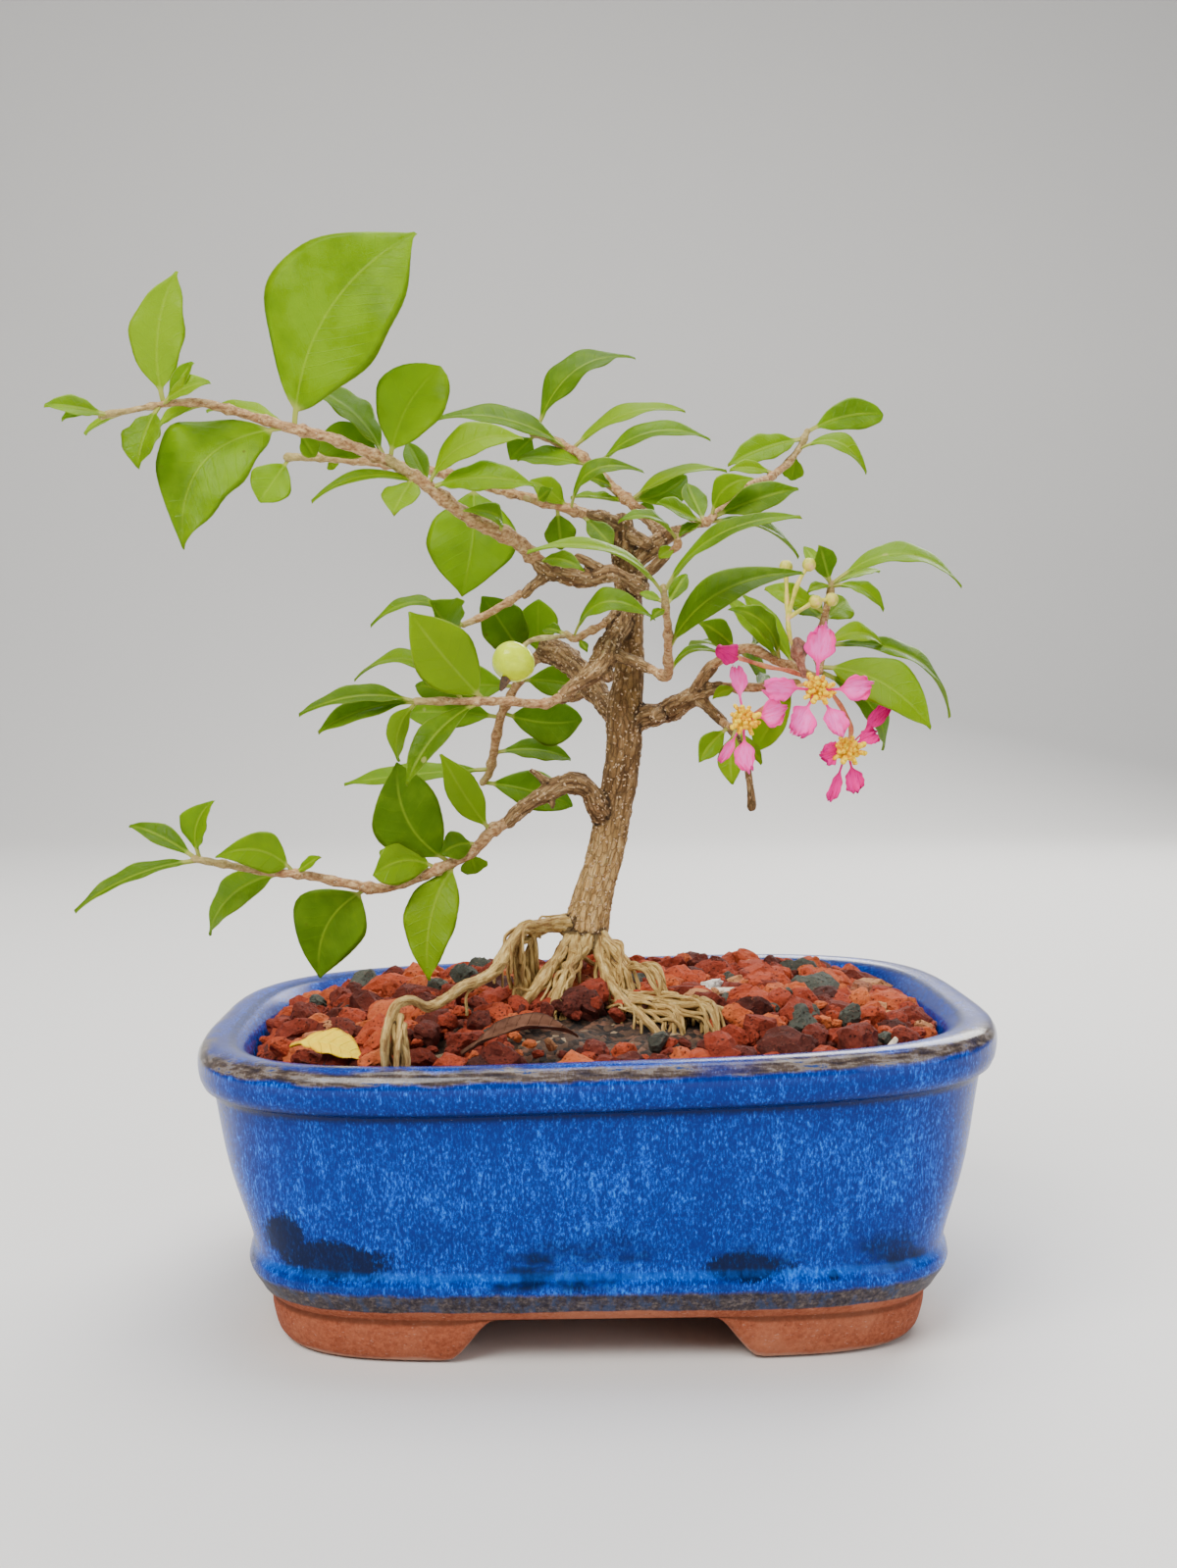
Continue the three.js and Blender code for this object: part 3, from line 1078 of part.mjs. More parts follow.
const fallen = Object.entries(FALLEN_LEAVES).map(([name, leaf]) => {
  return { name, colour: leaf.colour, body: fallenLeafSolid(leaf) };
});
const chip = pebble(PERLITE_CHIP.radius, place(...PERLITE_CHIP.spot), PERLITE_CHIP.squash);
const paleStick = limb(PALE_STICK);
const whiteTwig = limb(WHITE_TWIG);

add('pot', makePot(), { color: 0x2f62a6, roughness: 0.25 });
add('drain_screen_left', makeScreen(-1), { color: 0x1d1f20, roughness: 0.7 });
add('drain_screen_right', makeScreen(1), { color: 0x1d1f20, roughness: 0.7 });
add('soil', makeSoil(), { color: 0x3b2a20, roughness: 0.95 });
add('gravel', makeGravel([...fallen.map(({ body }) => body), chip, paleStick, whiteTwig]), {
  color: 0xb4472c,
  roughness: 0.9,
});
add('wood', geometryOf(largestPiece(woodSolid())), BARK);
for (const [name, spray] of Object.entries(SPRAYS)) {
  add(name, makeSpray(spray), { ...LEAF, color: SPRAY_COLOURS[name] ?? LEAF.color });
}
for (const [name, bloom] of Object.entries(BLOOMS)) {
  add(`${name}_petals`, makePetals(bloom), { color: bloom.petalColour, roughness: 0.6 });
  add(`${name}_anthers`, makeAnthers(bloom), { color: bloom.antherColour, roughness: 0.6 });
}
const stalks = joined(BLOOM_STALKS.map((path) => limb(path)));
add('bloom_stalks', geometryOf(stalks), { color: 0xd8683f, roughness: 0.6 });
add('wilted_bloom', geometryOf(limb(WILTED_BLOOM)), { color: 0xc2357f, roughness: 0.7 });
add('dried_bloom', geometryOf(limb(DRIED_BLOOM)), { color: 0x8a5a3c, roughness: 0.8 });
add('flower_buds', makeBuds(), { color: 0xb9c05a, roughness: 0.6 });
add('fruit', makeFruit(), { color: 0xc3d823, roughness: 0.25 });
for (const { name, body, colour } of fallen) add(name, geometryOf(body), { color: colour, roughness: 0.6 });
add('perlite_chip', geometryOf(chip), { color: 0xe9e4d6, roughness: 0.9 });
add('pale_stick', geometryOf(paleStick), { color: 0xd9c9a4, roughness: 0.9 });
add('white_twig', geometryOf(whiteTwig), { color: 0xe8e2d2, roughness: 0.9 });

// The middle of the whole part's outline on the ground is the origin
const box = new THREE.Box3().setFromObject(bonsai);
bonsai.position.set(-(box.min.x + box.max.x) / 2, -(box.min.y + box.max.y) / 2, -box.min.z);

export default bonsai;
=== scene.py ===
"""A small flowering bonsai in a blue glazed pot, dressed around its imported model.

Sizes given in millimetres are turned into Blender's metres by MM. Places on the plant are
[across, up, depth] as seen from the eye point: across and up in the upright plane through the
middle of the pot, depth behind that plane.
"""

import math
import random

import bmesh
import bpy
import numpy as np
from bpy.props import FloatProperty, FloatVectorProperty, IntProperty, PointerProperty
from bpy.types import Operator, Panel, PropertyGroup
from mathutils import Matrix, Vector, noise


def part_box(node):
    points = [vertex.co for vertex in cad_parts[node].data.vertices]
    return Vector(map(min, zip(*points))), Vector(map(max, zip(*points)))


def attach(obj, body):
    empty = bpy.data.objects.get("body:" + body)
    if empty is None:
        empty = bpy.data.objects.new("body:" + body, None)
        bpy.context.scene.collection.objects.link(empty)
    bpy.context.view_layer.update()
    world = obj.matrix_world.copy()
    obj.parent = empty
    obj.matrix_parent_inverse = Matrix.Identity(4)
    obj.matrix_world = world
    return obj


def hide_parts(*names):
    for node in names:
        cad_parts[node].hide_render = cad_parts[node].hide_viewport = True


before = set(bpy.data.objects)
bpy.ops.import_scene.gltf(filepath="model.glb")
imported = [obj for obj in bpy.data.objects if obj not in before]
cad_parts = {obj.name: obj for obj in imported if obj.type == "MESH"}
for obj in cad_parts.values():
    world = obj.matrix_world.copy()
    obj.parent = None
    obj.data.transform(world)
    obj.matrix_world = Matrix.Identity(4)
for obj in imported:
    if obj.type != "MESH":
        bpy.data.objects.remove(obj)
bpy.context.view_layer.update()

bl_info = {
    "name": "Flowering bonsai",
    "version": (1, 0, 0),
    "blender": (4, 5, 0),
    "location": "View3D > Sidebar > Bonsai",
    "description": "Builds a flowering bonsai in its glazed pot, one piece at a time",
    "category": "Add Mesh",
}

MM = 0.001
BODY = "root"
POT_LOW, POT_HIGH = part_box("pot")
ORIGIN = Vector(((POT_LOW.x + POT_HIGH.x) / 2, (POT_LOW.y + POT_HIGH.y) / 2, POT_LOW.z))

# The pot and the bed in it, in millimetres. The outline's power is 2 for an ellipse, more for a squarer one
POT_LENGTH = (POT_HIGH.x - POT_LOW.x) / MM
POT_DEPTH = (POT_HIGH.y - POT_LOW.y) / MM
OUTLINE_POWER = 3.5
RIM_HEIGHT = 59.3
RIM_SLOPE = 0.028
# Towards the foot the outline grows squarer, and shorter by an extra inset of its two ends
TAPER_SPAN = (18, 50)
TAPER_POWER = 1.5
TAPER_INSET = 4.2
UNDERSIDE_HEIGHT = 8.8
BED_EDGE_HEIGHT = 53.5
BED_MOUND = 8.5
INNER_INSET = 10.5
BED_HALF_LENGTH = 71.5
BED_HALF_DEPTH = 55.5

# Where the photograph was taken from, in millimetres from the middle of the pot's foot
EYE = Vector((-15.0, -382.0, 127.5))

# Each limb is a path of [across, up, depth, radius]

BRANCHES = [
  [  # The trunk
    [-2, 74.5, 0, 4.9], [-1, 79.5, 0, 4.6], [0.5, 85.5, 0, 4.1], [2.5, 92.5, 0, 3.9], [4, 100.5, 0, 3.9],
    [5.5, 107.5, 0, 3.8], [6.5, 115.5, 0, 3.8], [6.5, 123, 0, 3.9], [7.5, 130.5, 0, 3.3],
    [7.5, 139, 0, 3.2],
    [7.5, 146, 0, 3], [7, 153, 0, 2.9], [6, 159, 0, 2.7], [6, 163, 0, 2.5],
  ],
  [
    [3, 99, 0, 3], [1, 102, -3, 2.6], [-1, 105.5, -5, 2.4], [-3.5, 107, -6, 2.3], [-6.5, 107, -7, 2.2],
    [-9.5, 105.5, -8, 1.9], [-13, 103.5, -9, 1.8], [-16.5, 101, -9.5, 1.6], [-18.5, 99, -10, 1.5],
  ],
  [[-9, 106.5, -7, 1.1], [-11.5, 108.5, -8, 0.9], [-13.5, 110, -8, 0.6]],
  [[-9.5, 105.5, -8, 0.9], [-9, 103.5, -9, 0.7], [-9, 102, -9, 0.6]],
  [
    [7.5, 145.5, 0, 2.6], [5.5, 141, -4, 2.5], [3.5, 137.5, -7, 2.5], [2, 133.5, -9, 2.6],
    [-1, 130.5, -11, 2],
    [-4.5, 128, -14, 1.6], [-7, 126, -17, 1.3],
  ],
  [[1.5, 133.5, -9, 2], [3, 130.5, -10, 1.6]],
  [[3, 136, -8, 1.6], [6, 134.5, -10, 1.4], [9, 133.5, -13, 1.3], [12, 132, -16, 1.2]],
  [[5.5, 144.5, -3, 1.2], [2.5, 142, -6, 1]],
  [
    [8.5, 151.5, 0, 2.6], [10, 149.5, -3, 2], [7.5, 151, -6, 1.7], [3.5, 152.5, -8, 1.8],
    [-1, 151.5, -8, 2],
    [-5.5, 152, -9, 2], [-9, 153, -9, 2.1], [-11.5, 154.5, -10, 1.9],
  ],
  [[2.5, 152.5, -8, 1.2], [-0.5, 154.5, -9, 1.1], [-3.5, 156, -10, 0.9]],
  [[-9.5, 152.5, -9, 1.3], [-13, 150, -10, 1.1], [-15, 148, -11, 1]],
  [[6, 162.5, 0, 2], [2.5, 164, -3, 1.6], [-1, 165, -5, 1.3]],
  [
    [7.5, 153.5, 0, 2], [10.5, 156.5, -1, 2], [13.5, 159, 0, 2.1], [16, 160.5, 0, 1.7],
    [19.5, 162, -5, 1.2],
    [21.5, 163, -7, 1],
  ],
  [[6.5, 161.5, 0, 1.8], [9.5, 160, -3, 1.6], [11.5, 159, -4, 1.4]],
  [[15.5, 160.5, 1, 1.7], [14, 162, 6, 1.6], [11.5, 164.5, 10, 1.5], [9.5, 166, 12, 1.4]],
  [[9.5, 151.5, -2, 1.4], [12.5, 153.5, -6, 1.3], [15.5, 156.5, -8, 1.2]],
  [
    [6.5, 119.5, 0, 3], [10.5, 121.5, -1, 2.7], [15, 122.5, -4, 2.5], [19, 124.5, -8, 2.2],
    [22.5, 126.5, -12, 2], [25, 127.5, -14, 1.6], [27.5, 128, -16, 1.4],
  ],
  [[22, 126.5, -12, 1.6], [23.5, 130, -14, 1.4], [25.5, 132.5, -15, 1.4]],
  [[22.5, 126, -12, 1.5], [25, 123.5, -14, 1.3], [27.5, 121, -16, 1.2]],
  [[15, 122.5, -5, 1.6], [13.5, 121.5, -9, 1.5]],
  [
    [27.5, 121, -16, 1], [31, 117, -14, 0.9], [33, 112, -13, 0.9], [34, 107, -13, 0.8], [34.5, 102, -13, 1],
  ],
  [
    [6.5, 121, 2, 3], [3.5, 123.5, 6, 2.8], [0, 127.5, 12, 2.5], [-3.5, 132, 18, 2.6], [-7, 135, 24, 2.8],
    [-10, 136, 27, 2.4],
  ],
  [[-0.5, 127.5, 13, 1.2], [-3.5, 126, 18, 0.9], [-7, 125, 24, 0.8]],
]


ROOTS = [
  [
    [-3, 75.5, 0, 3.1], [-7, 76.5, -3, 1.9], [-12, 76, -8, 1.5], [-15, 75.5, -12, 1.5],
    [-18, 72.5, -17, 1.4],
    [-21, 67, -23, 1.4], [-24.5, 64.5, -28, 1.3], [-28.5, 63, -33, 1.2], [-32, 60.5, -38, 1.1],
    [-36, 58.5, -43, 1.1], [-39.5, 60, -47, 1], [-43, 59, -51, 1.1], [-44.5, 55.5, -53, 1.2],
    [-45.5, 51, -54, 1.2], [-45.5, 45.5, -54, 1.1],
  ],
  [[-43.5, 58.5, -51, 0.9], [-42.5, 54.5, -52, 0.8], [-42.5, 50, -53, 0.8], [-42.5, 45.5, -53, 0.7]],
  [[-17.5, 72.5, -16, 0.9], [-17, 67.5, -15, 0.8], [-16, 62, -15, 1], [-15.5, 57, -15, 1]],
  [[-13.5, 74.5, -9, 0.7], [-14, 70, -10, 0.5], [-14, 66.5, -11, 0.5], [-12.5, 61.5, -12, 0.6]],
  [
    [-4, 74.5, -2, 2], [-7, 70, -8, 1.3], [-10, 66, -14, 1.2], [-13, 62, -18, 1.2], [-15.5, 59, -20, 1.2],
    [-17, 55.5, -21, 0.9],
  ],
  [
    [-3.5, 74, -3, 1.8], [-4.5, 69, -10, 1.2], [-6.5, 64.5, -16, 1], [-8, 60.5, -20, 1.1],
    [-10, 55.5, -22, 1.1],
  ],
  [[-1, 74, -3, 1.8], [-3, 70, -9, 1.1], [-6, 66.5, -12, 1], [-7, 61.5, -14, 0.9], [-7, 56.5, -15, 0.9]],
  [
    [-0.5, 75.5, 0, 2.5], [2.5, 73, -4, 1.4], [5, 70, -8, 1.2], [7, 66.5, -12, 1], [8, 63, -14, 0.9],
    [9, 57.5, -15, 0.9],
  ],
  [
    [0.5, 73.5, -3, 1.8], [2, 67.5, -9, 1.2], [4, 63, -14, 1.2], [6.5, 59.5, -20, 1.2],
    [10, 56.5, -27, 1.1],
    [13.5, 53, -33, 1], [16, 49.5, -36, 0.9],
  ],
  [
    [5, 62, -15, 1.1], [9.5, 60, -19, 0.9], [15, 59.5, -24, 0.9], [20.5, 58.5, -29, 0.9],
    [24.5, 58.5, -33, 0.9], [26.5, 55.5, -37, 0.9], [27.5, 50, -39, 0.9],
  ],
  [
    [12.5, 59.5, -21, 0.9], [18, 57.5, -26, 0.7], [23.5, 58, -30, 0.6], [28, 56.5, -33, 0.6],
    [30.5, 53.5, -34, 0.6],
  ],
  [
    [5.5, 59.5, -19, 1], [10.5, 57.5, -24, 0.8], [16, 56.5, -29, 0.7], [17.5, 55.5, -31, 0.7],
    [17.5, 50, -34, 0.6],
  ],
  [
    [7.5, 65.5, -12, 0.6], [8, 67, -14, 0.5], [11.5, 67.5, -17, 0.5], [14, 65.5, -20, 0.5],
    [15.5, 62, -22, 0.5], [16, 56.5, -24, 0.5],
  ],
  [[-1, 75, 3, 2.2], [1.5, 71, 10, 1.4], [3.5, 66, 16, 1.3], [5, 61.5, 20, 1.2]],
  [[-4, 75, 3, 1.8], [-6.5, 71, 9, 1.2], [-8.5, 66.5, 14, 1.1], [-10, 61.5, 18, 1]],
]

# Each spray is its twig's path and its leaves: [foot across, up, tip across, up, tip depth from the
# twig, width,
# roll, arch, fold, sweep, place of its widest part], the last two 0 and 0.54 if left out
SPRAYS = {
  "low_left_spray": ([
    [-19.5, 98.5, -10, 1.4], [-22, 97, -11, 1.5], [-26.5, 92.5, -13, 1.4], [-33, 89, -15, 1.3],
    [-37.5, 87, -16, 1.2], [-42, 85.5, -17, 1.1], [-47, 84.5, -18, 1.3], [-55.5, 86, -20, 1.1],
    [-62.5, 87.5, -21, 1.1], [-69, 88, -22, 1], [-75.5, 89, -23, 0.9], [-80.5, 90, -24, 0.9],
    [-86, 91, -25, 1],
  ], [
    [-85.5, 91, -112, 80, -8, 6, 58, 0.09, 0.45, 0, 0.4],
    [-85.5, 91, -100, 98.5, 5, 5.5, 40, 0.1, 0.5, 0, 0.45],
    [-85, 91.5, -82.5, 103.5, -3, 8.5, 35, 0.1, 0.5, -0.12, 0.5],
    [-64.5, 88, -81.5, 91.5, -6, 8.5, 15, 0.05, 0.25, 0.18, 0.32],
    [-65, 88, -59.5, 91.5, -3, 3, 40, 0, 0.3],
    [-67, 88, -83.5, 74.5, 16, 7.5, 20, 0.05, 0.3, 0.11, 0.4],
    [-48.5, 84.5, -59.5, 65, 5, 16.5, 8, 0.03, 0.3, 0.17, 0.36],
    [-34, 89, -47.5, 87.5, -7, 9.5, 12, 0.05, 0.25, 0.16, 0.6],
    [-29, 90, -36, 64.5, -7, 11.5, 12, 0.05, 0.3, 0.09, 0.44],
    [-32, 92, -42.5, 111.5, -8, 15, 5, 0.04, 0.25, -0.15],
    [-22.5, 97, -33, 113.5, -5, 7.5, 22, 0.08, 0.3, -0.05, 0.5],
    [-25, 94, -33, 92, -5, 6.5, 20, 0.05, 0.3, 0.1], [-27, 92.5, -25.5, 87.5, 6, 6, 5, 0, 0.2],
    [-35, 88, -46.5, 92.5, 20, 7.5, 10, 0, 0.2],
  ]),
  "front_left_spray": ([
    [-8, 125.5, -18, 1.2], [-10.5, 124.5, -19, 1.1], [-14, 124.5, -20, 1.1], [-18, 125, -22, 1],
    [-22.5, 125, -23, 1.1], [-28.5, 125, -25, 0.9], [-34, 125, -26, 0.9], [-38.5, 125, -27, 0.9],
  ], [
    [-23.5, 125, -39.5, 144, -8, 13.5, 10, 0.05, 0.3, -0.03, 0.5],
    [-28, 125, -51.5, 130, 8, 8, 62, 0.28, 0.3],
    [-38, 125, -63.5, 122.5, -6, 6.5, 52, 0.12, 0.45, 0, 0.36],
    [-24.5, 124.5, -40.5, 107, -8, 7, 30, 0.1, 0.4, 0.06, 0.5],
    [-38, 125, -42.5, 112, 6, 6.5, 38, 0.05, 0.3, 0.13, 0.5],
    [-22.5, 125, -38.5, 128.5, 16, 7.5, 20, 0.05, 0.2],
    [-37.5, 125.5, -59.5, 118.5, -3, 6.5, 40, 0.12, 0.4],
  ]),
  "mid_left_spray": ([
    [-16, 148, -11, 1], [-19, 146, -12, 0.9], [-22.5, 144, -13, 0.9], [-25.5, 142.5, -14, 0.8],
    [-28, 141.5, -15, 0.8],
  ], [
    [-28, 141.5, -48, 141.5, -4, 6, 66, 0.26, 0.3, 0, 0.5],
    [-28, 141.5, -35, 146.5, -14, 11.5, 15, 0.05, 0.55, -0.13, 0.5],
  ]),
  "fruit_spray": ([
    [2, 141.5, -7, 0.9], [-1, 140, -9, 0.9], [-4, 138.5, -11, 1], [-6, 139.5, -12, 0.7],
  ], [
    [-4.5, 139, 13, 143, -6, 8.5, 52, 0.34, 0.3, -0.06, 0.42],
    [-6, 139.5, -11, 140.5, 4, 3.5, 40, 0.1, 0.3],
    [-3.5, 139, -1.5, 136, -2, 2, 20, 0, 0.2],
  ]),
  "front_right_spray": ([
    [12.5, 132, -17, 1], [14, 131, -18, 1.1], [16, 130.5, -20, 1.2], [16, 135, -26, 1.1],
    [16, 140.5, -31, 1],
    [15.5, 145, -35, 0.9], [15, 149.5, -38, 0.9],
  ], [
    [15, 148.5, -14, 157.5, -16, 5.5, 64, 0.16, 0.25, 0, 0.5],
    [15.5, 149, 44.5, 165, -14, 7, 60, 0.16, 0.25, 0, 0.45],
    [16, 136, 45, 153, -10, 9.5, 42, 0.23, 0.3, 0, 0.4], [16, 130.5, 27.5, 135.5, -2, 4, 72, 0.28, 0.3],
    [16, 145.5, 20, 152.5, 5, 4, 20, 0, 0.3], [15.5, 145, 12.5, 143, -4, 2.5, 30, 0.1, 0.3],
    [15, 146.5, 10, 148.5, 3, 2.5, 30, 0, 0.3],
  ]),
  "right_upper_spray": ([
    [26, 133, -16, 1.2], [29, 135, -17, 1.2], [33.5, 136.5, -18, 1.2], [39, 134, -20, 1.1],
    [44, 132, -22, 1.1],
    [47.5, 130.5, -23, 1],
  ], [
    [40.5, 133.5, 29.5, 145, -6, 6.5, 38, 0.12, 0.3, 0.14, 0.5],
    [31, 136, 23, 142, -4, 6, 20, 0.05, 0.3, 0.05, 0.5], [29.5, 135.5, 20.5, 136.5, 18, 4.5, 68, 0.12, 0.3],
    [33.5, 136, 39.5, 139, 14, 4.5, 60, 0.1, 0.3], [32, 136, 37.5, 130.5, 10, 4.5, 30, 0, 0.3],
    [44, 132, 32.5, 148, 10, 5.5, 25, 0.05, 0.3], [40.5, 133.5, 29, 147.5, 6, 5, 25, 0.05, 0.3],
  ]),
  "right_far_spray": ([
    [49, 131.5, -23, 0.9], [49, 133.5, -22, 1.1], [49, 138, -20, 1], [50, 143, -18, 0.9],
    [51, 147.5, -17, 0.8],
    [51.5, 150.5, -17, 0.8],
  ], [
    [51.5, 150.5, 80, 150.5, 0, 9, 58, 0.26, 0.25, 0, 0.42], [51.5, 150, 63, 145, -5, 5.5, 50, 0.2, 0.3],
    [51.5, 150, 46.5, 149, -4, 3, 50, 0.1, 0.3], [51.5, 150, 49, 158.5, -4, 5.5, 12, 0, 0.3],
    [51.5, 150.5, 45.5, 158.5, 8, 4, 20, 0, 0.3], [51.5, 151, 62, 153.5, 10, 3.5, 50, 0.05, 0.3],
    [50.5, 144, 37, 149.5, 2, 5.5, 25, 0.1, 0.3], [50.5, 142.5, 55, 147, 10, 7.5, 15, 0, 0.3],
    [50, 142.5, 44, 147.5, 9, 6.5, 15, 0, 0.3],
    [49, 132.5, 73.5, 119.5, -12, 12.5, 30, 0.12, 0.35, -0.06, 0.5],
    [49, 136.5, 63, 137, 2, 6, 45, 0.29, 0.35, 0, 0.42],
    [49.5, 137, 78, 122, 14, 7.5, 58, 0.21, 0.3, 0, 0.5],
    [48.5, 131, 63.5, 114.5, 12, 8, 35, 0.16, 0.3, -0.04, 0.5],
  ]),
  "right_low_spray": ([
    [28.5, 128, -17, 1.2], [32, 128, -18, 1.2], [36, 128, -20, 1.1], [40.5, 129, -22, 1], [44, 129, -23, 1],
  ], [
    [44, 128.5, 35, 114, 5, 7, 25, 0.05, 0.3], [31, 127.5, 26, 126, -3, 3, 30, 0.1, 0.3],
    [35.5, 128, 37.5, 131, 8, 3.5, 20, 0, 0.3],
  ]),
  "right_hanging_spray": ([
    [28, 120.5, -17, 0.9], [29.5, 119.5, -19, 0.8], [31, 119.5, -21, 0.7],
  ], [
    [31, 119.5, 30, 107, -2, 5.5, 22, 0.05, 0.3, 0.05], [29.5, 119.5, 23, 112, -4, 5, 12, 0.05, 0.3, 0.05],
    [31, 119.5, 36.5, 111.5, -4, 3, 20, 0, 0.3],
  ]),
  "right_top_spray": ([
    [22, 163, -7.5, 0.9], [24, 163.5, -9, 1], [25.5, 164.5, -10, 1], [29.5, 168.5, -2, 0.9],
    [33.5, 171.5, 4, 0.9], [37.5, 173, 9, 0.9], [41, 175.5, 14, 0.9], [44, 179, 17, 0.8],
    [46, 183, 19, 0.8],
  ], [
    [25.5, 164, 34, 173, -7, 6, 25, 0.08, 0.3, -0.17, 0.5],
    [26, 164.5, 44, 171, -5, 7, 25, 0.08, 0.3, 0.01, 0.5], [24.5, 163.5, 44.5, 156.5, 2, 6, 66, 0.16, 0.3],
    [24, 163.5, 14, 168, -6, 6, 48, 0, 0.4], [24, 163.5, 20, 172, 10, 5.5, 20, 0, 0.3],
    [23.5, 163, 18.5, 161, -4, 3, 40, 0.1, 0.3], [46, 183, 62.5, 187, 2, 7.5, 18, 0.03, 0.25, -0.07, 0.62],
    [44, 179.5, 59, 174.5, -4, 6.5, 45, 0.31, 0.3, 0, 0.45],
    [45.5, 181.5, 29, 176, -6, 7, 30, 0.07, 0.3, 0, 0.5], [43.5, 178.5, 42.5, 172.5, 4, 5, 15, 0, 0.3],
    [39, 174, 29.5, 175, -4, 4, 35, 0.1, 0.3],
  ]),
  "stub_spray": ([
    [16, 157, -9, 0.9], [18, 158.5, -10, 0.9], [18, 160.5, -10, 0.7],
  ], [
    [18, 160, 5.5, 164, -4, 5.5, 66, 0.22, 0.3], [18, 158.5, 14, 156, 0, 3.5, 30, 0.05, 0.3],
  ]),
  "back_top_spray": ([
    [8.5, 167, 13, 1.3], [6.5, 169, 14, 1.3], [4, 171, 16, 1.2], [0.5, 174.5, 18, 1.1],
    [-2.5, 177.5, 20, 1.1],
    [-5, 179, 22, 1.1], [-9, 181, 25, 1], [-13, 182.5, 28, 1],
  ], [
    [-12.5, 182.5, 8.5, 199, 4, 11, 50, 0.23, 0.3, 0, 0.42],
    [-5.5, 179, -34, 185.5, 2, 9.5, 55, 0.12, 0.3, 0, 0.45],
    [-5, 179, 19.5, 187.5, 2, 7.5, 58, 0.14, 0.3, 0, 0.45],
    [0, 175, 25, 181.5, -2, 7.5, 54, 0.2, 0.3, 0, 0.45],
    [-12.5, 182, -18, 177, -2, 6.5, 12, 0, 0.3], [-1, 175.5, -16.5, 177, 6, 7.5, 48, 0.06, 0.3],
    [7.5, 168, 28.5, 175, 4, 6, 62, 0.12, 0.3, 0, 0.4], [7.5, 168, 20, 173.5, 7, 8, 15, 0.05, 0.3, 0.1],
    [8, 167.5, 13, 164, 6, 5, 20, 0.05, 0.3], [7.5, 168, -5, 169, 5, 4.5, 66, 0.05, 0.3],
    [4, 170.5, -1, 173, -4, 3.5, 30, 0.1, 0.3],
  ]),
  "top_mid_spray": ([
    [-2, 165, -5, 1.1], [-5, 166, -7, 1.1], [-8.5, 167, -8, 1], [-11.5, 167.5, -10, 0.9],
    [-14.5, 168.5, -11, 0.8],
  ], [
    [-5, 166.5, -13.5, 172.5, -2, 6, 28, 0.1, 0.3],
    [-5, 166.5, 10.5, 174.5, -5, 5.5, 45, 0.34, 0.35, -0.04, 0.45],
    [-8, 166.5, -7, 157.5, 3, 7, 12, 0, 0.3],
    [-2.5, 165.5, 4, 158.5, -5, 5.5, 25, 0, 0.3], [-12.5, 168, -9.5, 170.5, -5, 3.5, 20, 0, 0.4],
    [-8.5, 167, -12, 170, 3, 3, 30, 0, 0.3],
  ]),
  "upper_left_spray": ([
    [-12, 155, -10, 1.8], [-14, 157, -10, 1.8], [-17.5, 160, -12, 1.9], [-21, 161.5, -13, 1.9],
    [-25, 163.5, -15, 1.8], [-30.5, 167, -17, 1.7], [-35.5, 171, -19, 1.6], [-41, 174.5, -20, 1.5],
    [-44, 176.5, -21, 1.4],
  ], [
    [-35.5, 171.5, -15.5, 181.5, -6, 9, 34, 0.16, 0.35, -0.1, 0.5],
    [-35, 171, -13, 171.5, -9, 7.5, 30, 0.1, 0.3, -0.02, 0.5],
    [-20, 161.5, -27.5, 166, -9, 5, 40, 0.31, 0.35, 0, 0.5],
    [-12, 155, -2.5, 153.5, -9, 4.5, 32, 0.12, 0.3, -0.03, 0.5],
    [-36.5, 172, -60.5, 168, -3, 4.5, 52, 0.16, 0.35, 0, 0.5],
    [-38.5, 173, -43, 165.5, -8, 8.5, 25, 0.05, 0.3],
    [-35, 171, -40, 180.5, 8, 5, 15, 0, 0.3], [-43.5, 176.5, -33, 196.5, -4, 15, 8, 0.04, 0.25, -0.09, 0.6],
  ]),
  "upper_left_tip_spray": ([
    [-44.5, 176.5, -21, 1.4], [-49.5, 178.5, -22, 1.4], [-57.5, 181.5, -24, 1.3], [-64, 183, -25, 1.3],
    [-72.5, 185.5, -26, 1.1], [-81.5, 188, -28, 1.1], [-86.5, 188.5, -29, 0.9], [-92, 188, -30, 0.8],
    [-97, 187, -31, 0.7], [-102.5, 186, -32, 0.8], [-104.5, 185.5, -32, 0.9],
  ], [
    [-64, 183, -38, 224.5, -10, 29, 14, 0.05, 0.22, -0.13, 0.5],
    [-65, 183, -88, 158, -8, 20, 14, 0.06, 0.3, 0.24, 0.48], [-64.5, 183, -82.5, 187, 7, 6, 50, 0.1, 0.3],
    [-91.5, 188, -88.5, 216, -2, 12, 10, 0.03, 0.25, -0.09, 0.46],
    [-103, 186, -116.5, 188, -6, 6, 40, 0.08, 0.4, -0.05, 0.5],
    [-103.5, 185.5, -113, 185, -4, 4.5, 45, 0.15, 0.4], [-101, 186, -108.5, 182, 3, 2.5, 50, 0.05, 0.3],
    [-91.5, 188.5, -85.5, 197, -3, 4.5, 25, 0, 0.4], [-92, 188, -82, 193, -4, 5.5, 35, 0.1, 0.4],
    [-92.5, 188, -97.5, 175, -5, 9.5, 25, 0.08, 0.4], [-83.5, 188, -93, 183.5, 3, 4.5, 45, 0.08, 0.3],
    [-63, 182.5, -59.5, 177, 6, 4.5, 10, 0, 0.3], [-44.5, 176.5, -61.5, 192, 9, 9.5, 48, 0.1, 0.35, 0.05],
    [-44.5, 176.5, -60.5, 180, 6, 9, 18, 0.05, 0.3, 0.1],
  ]),
  "back_left_spray": ([
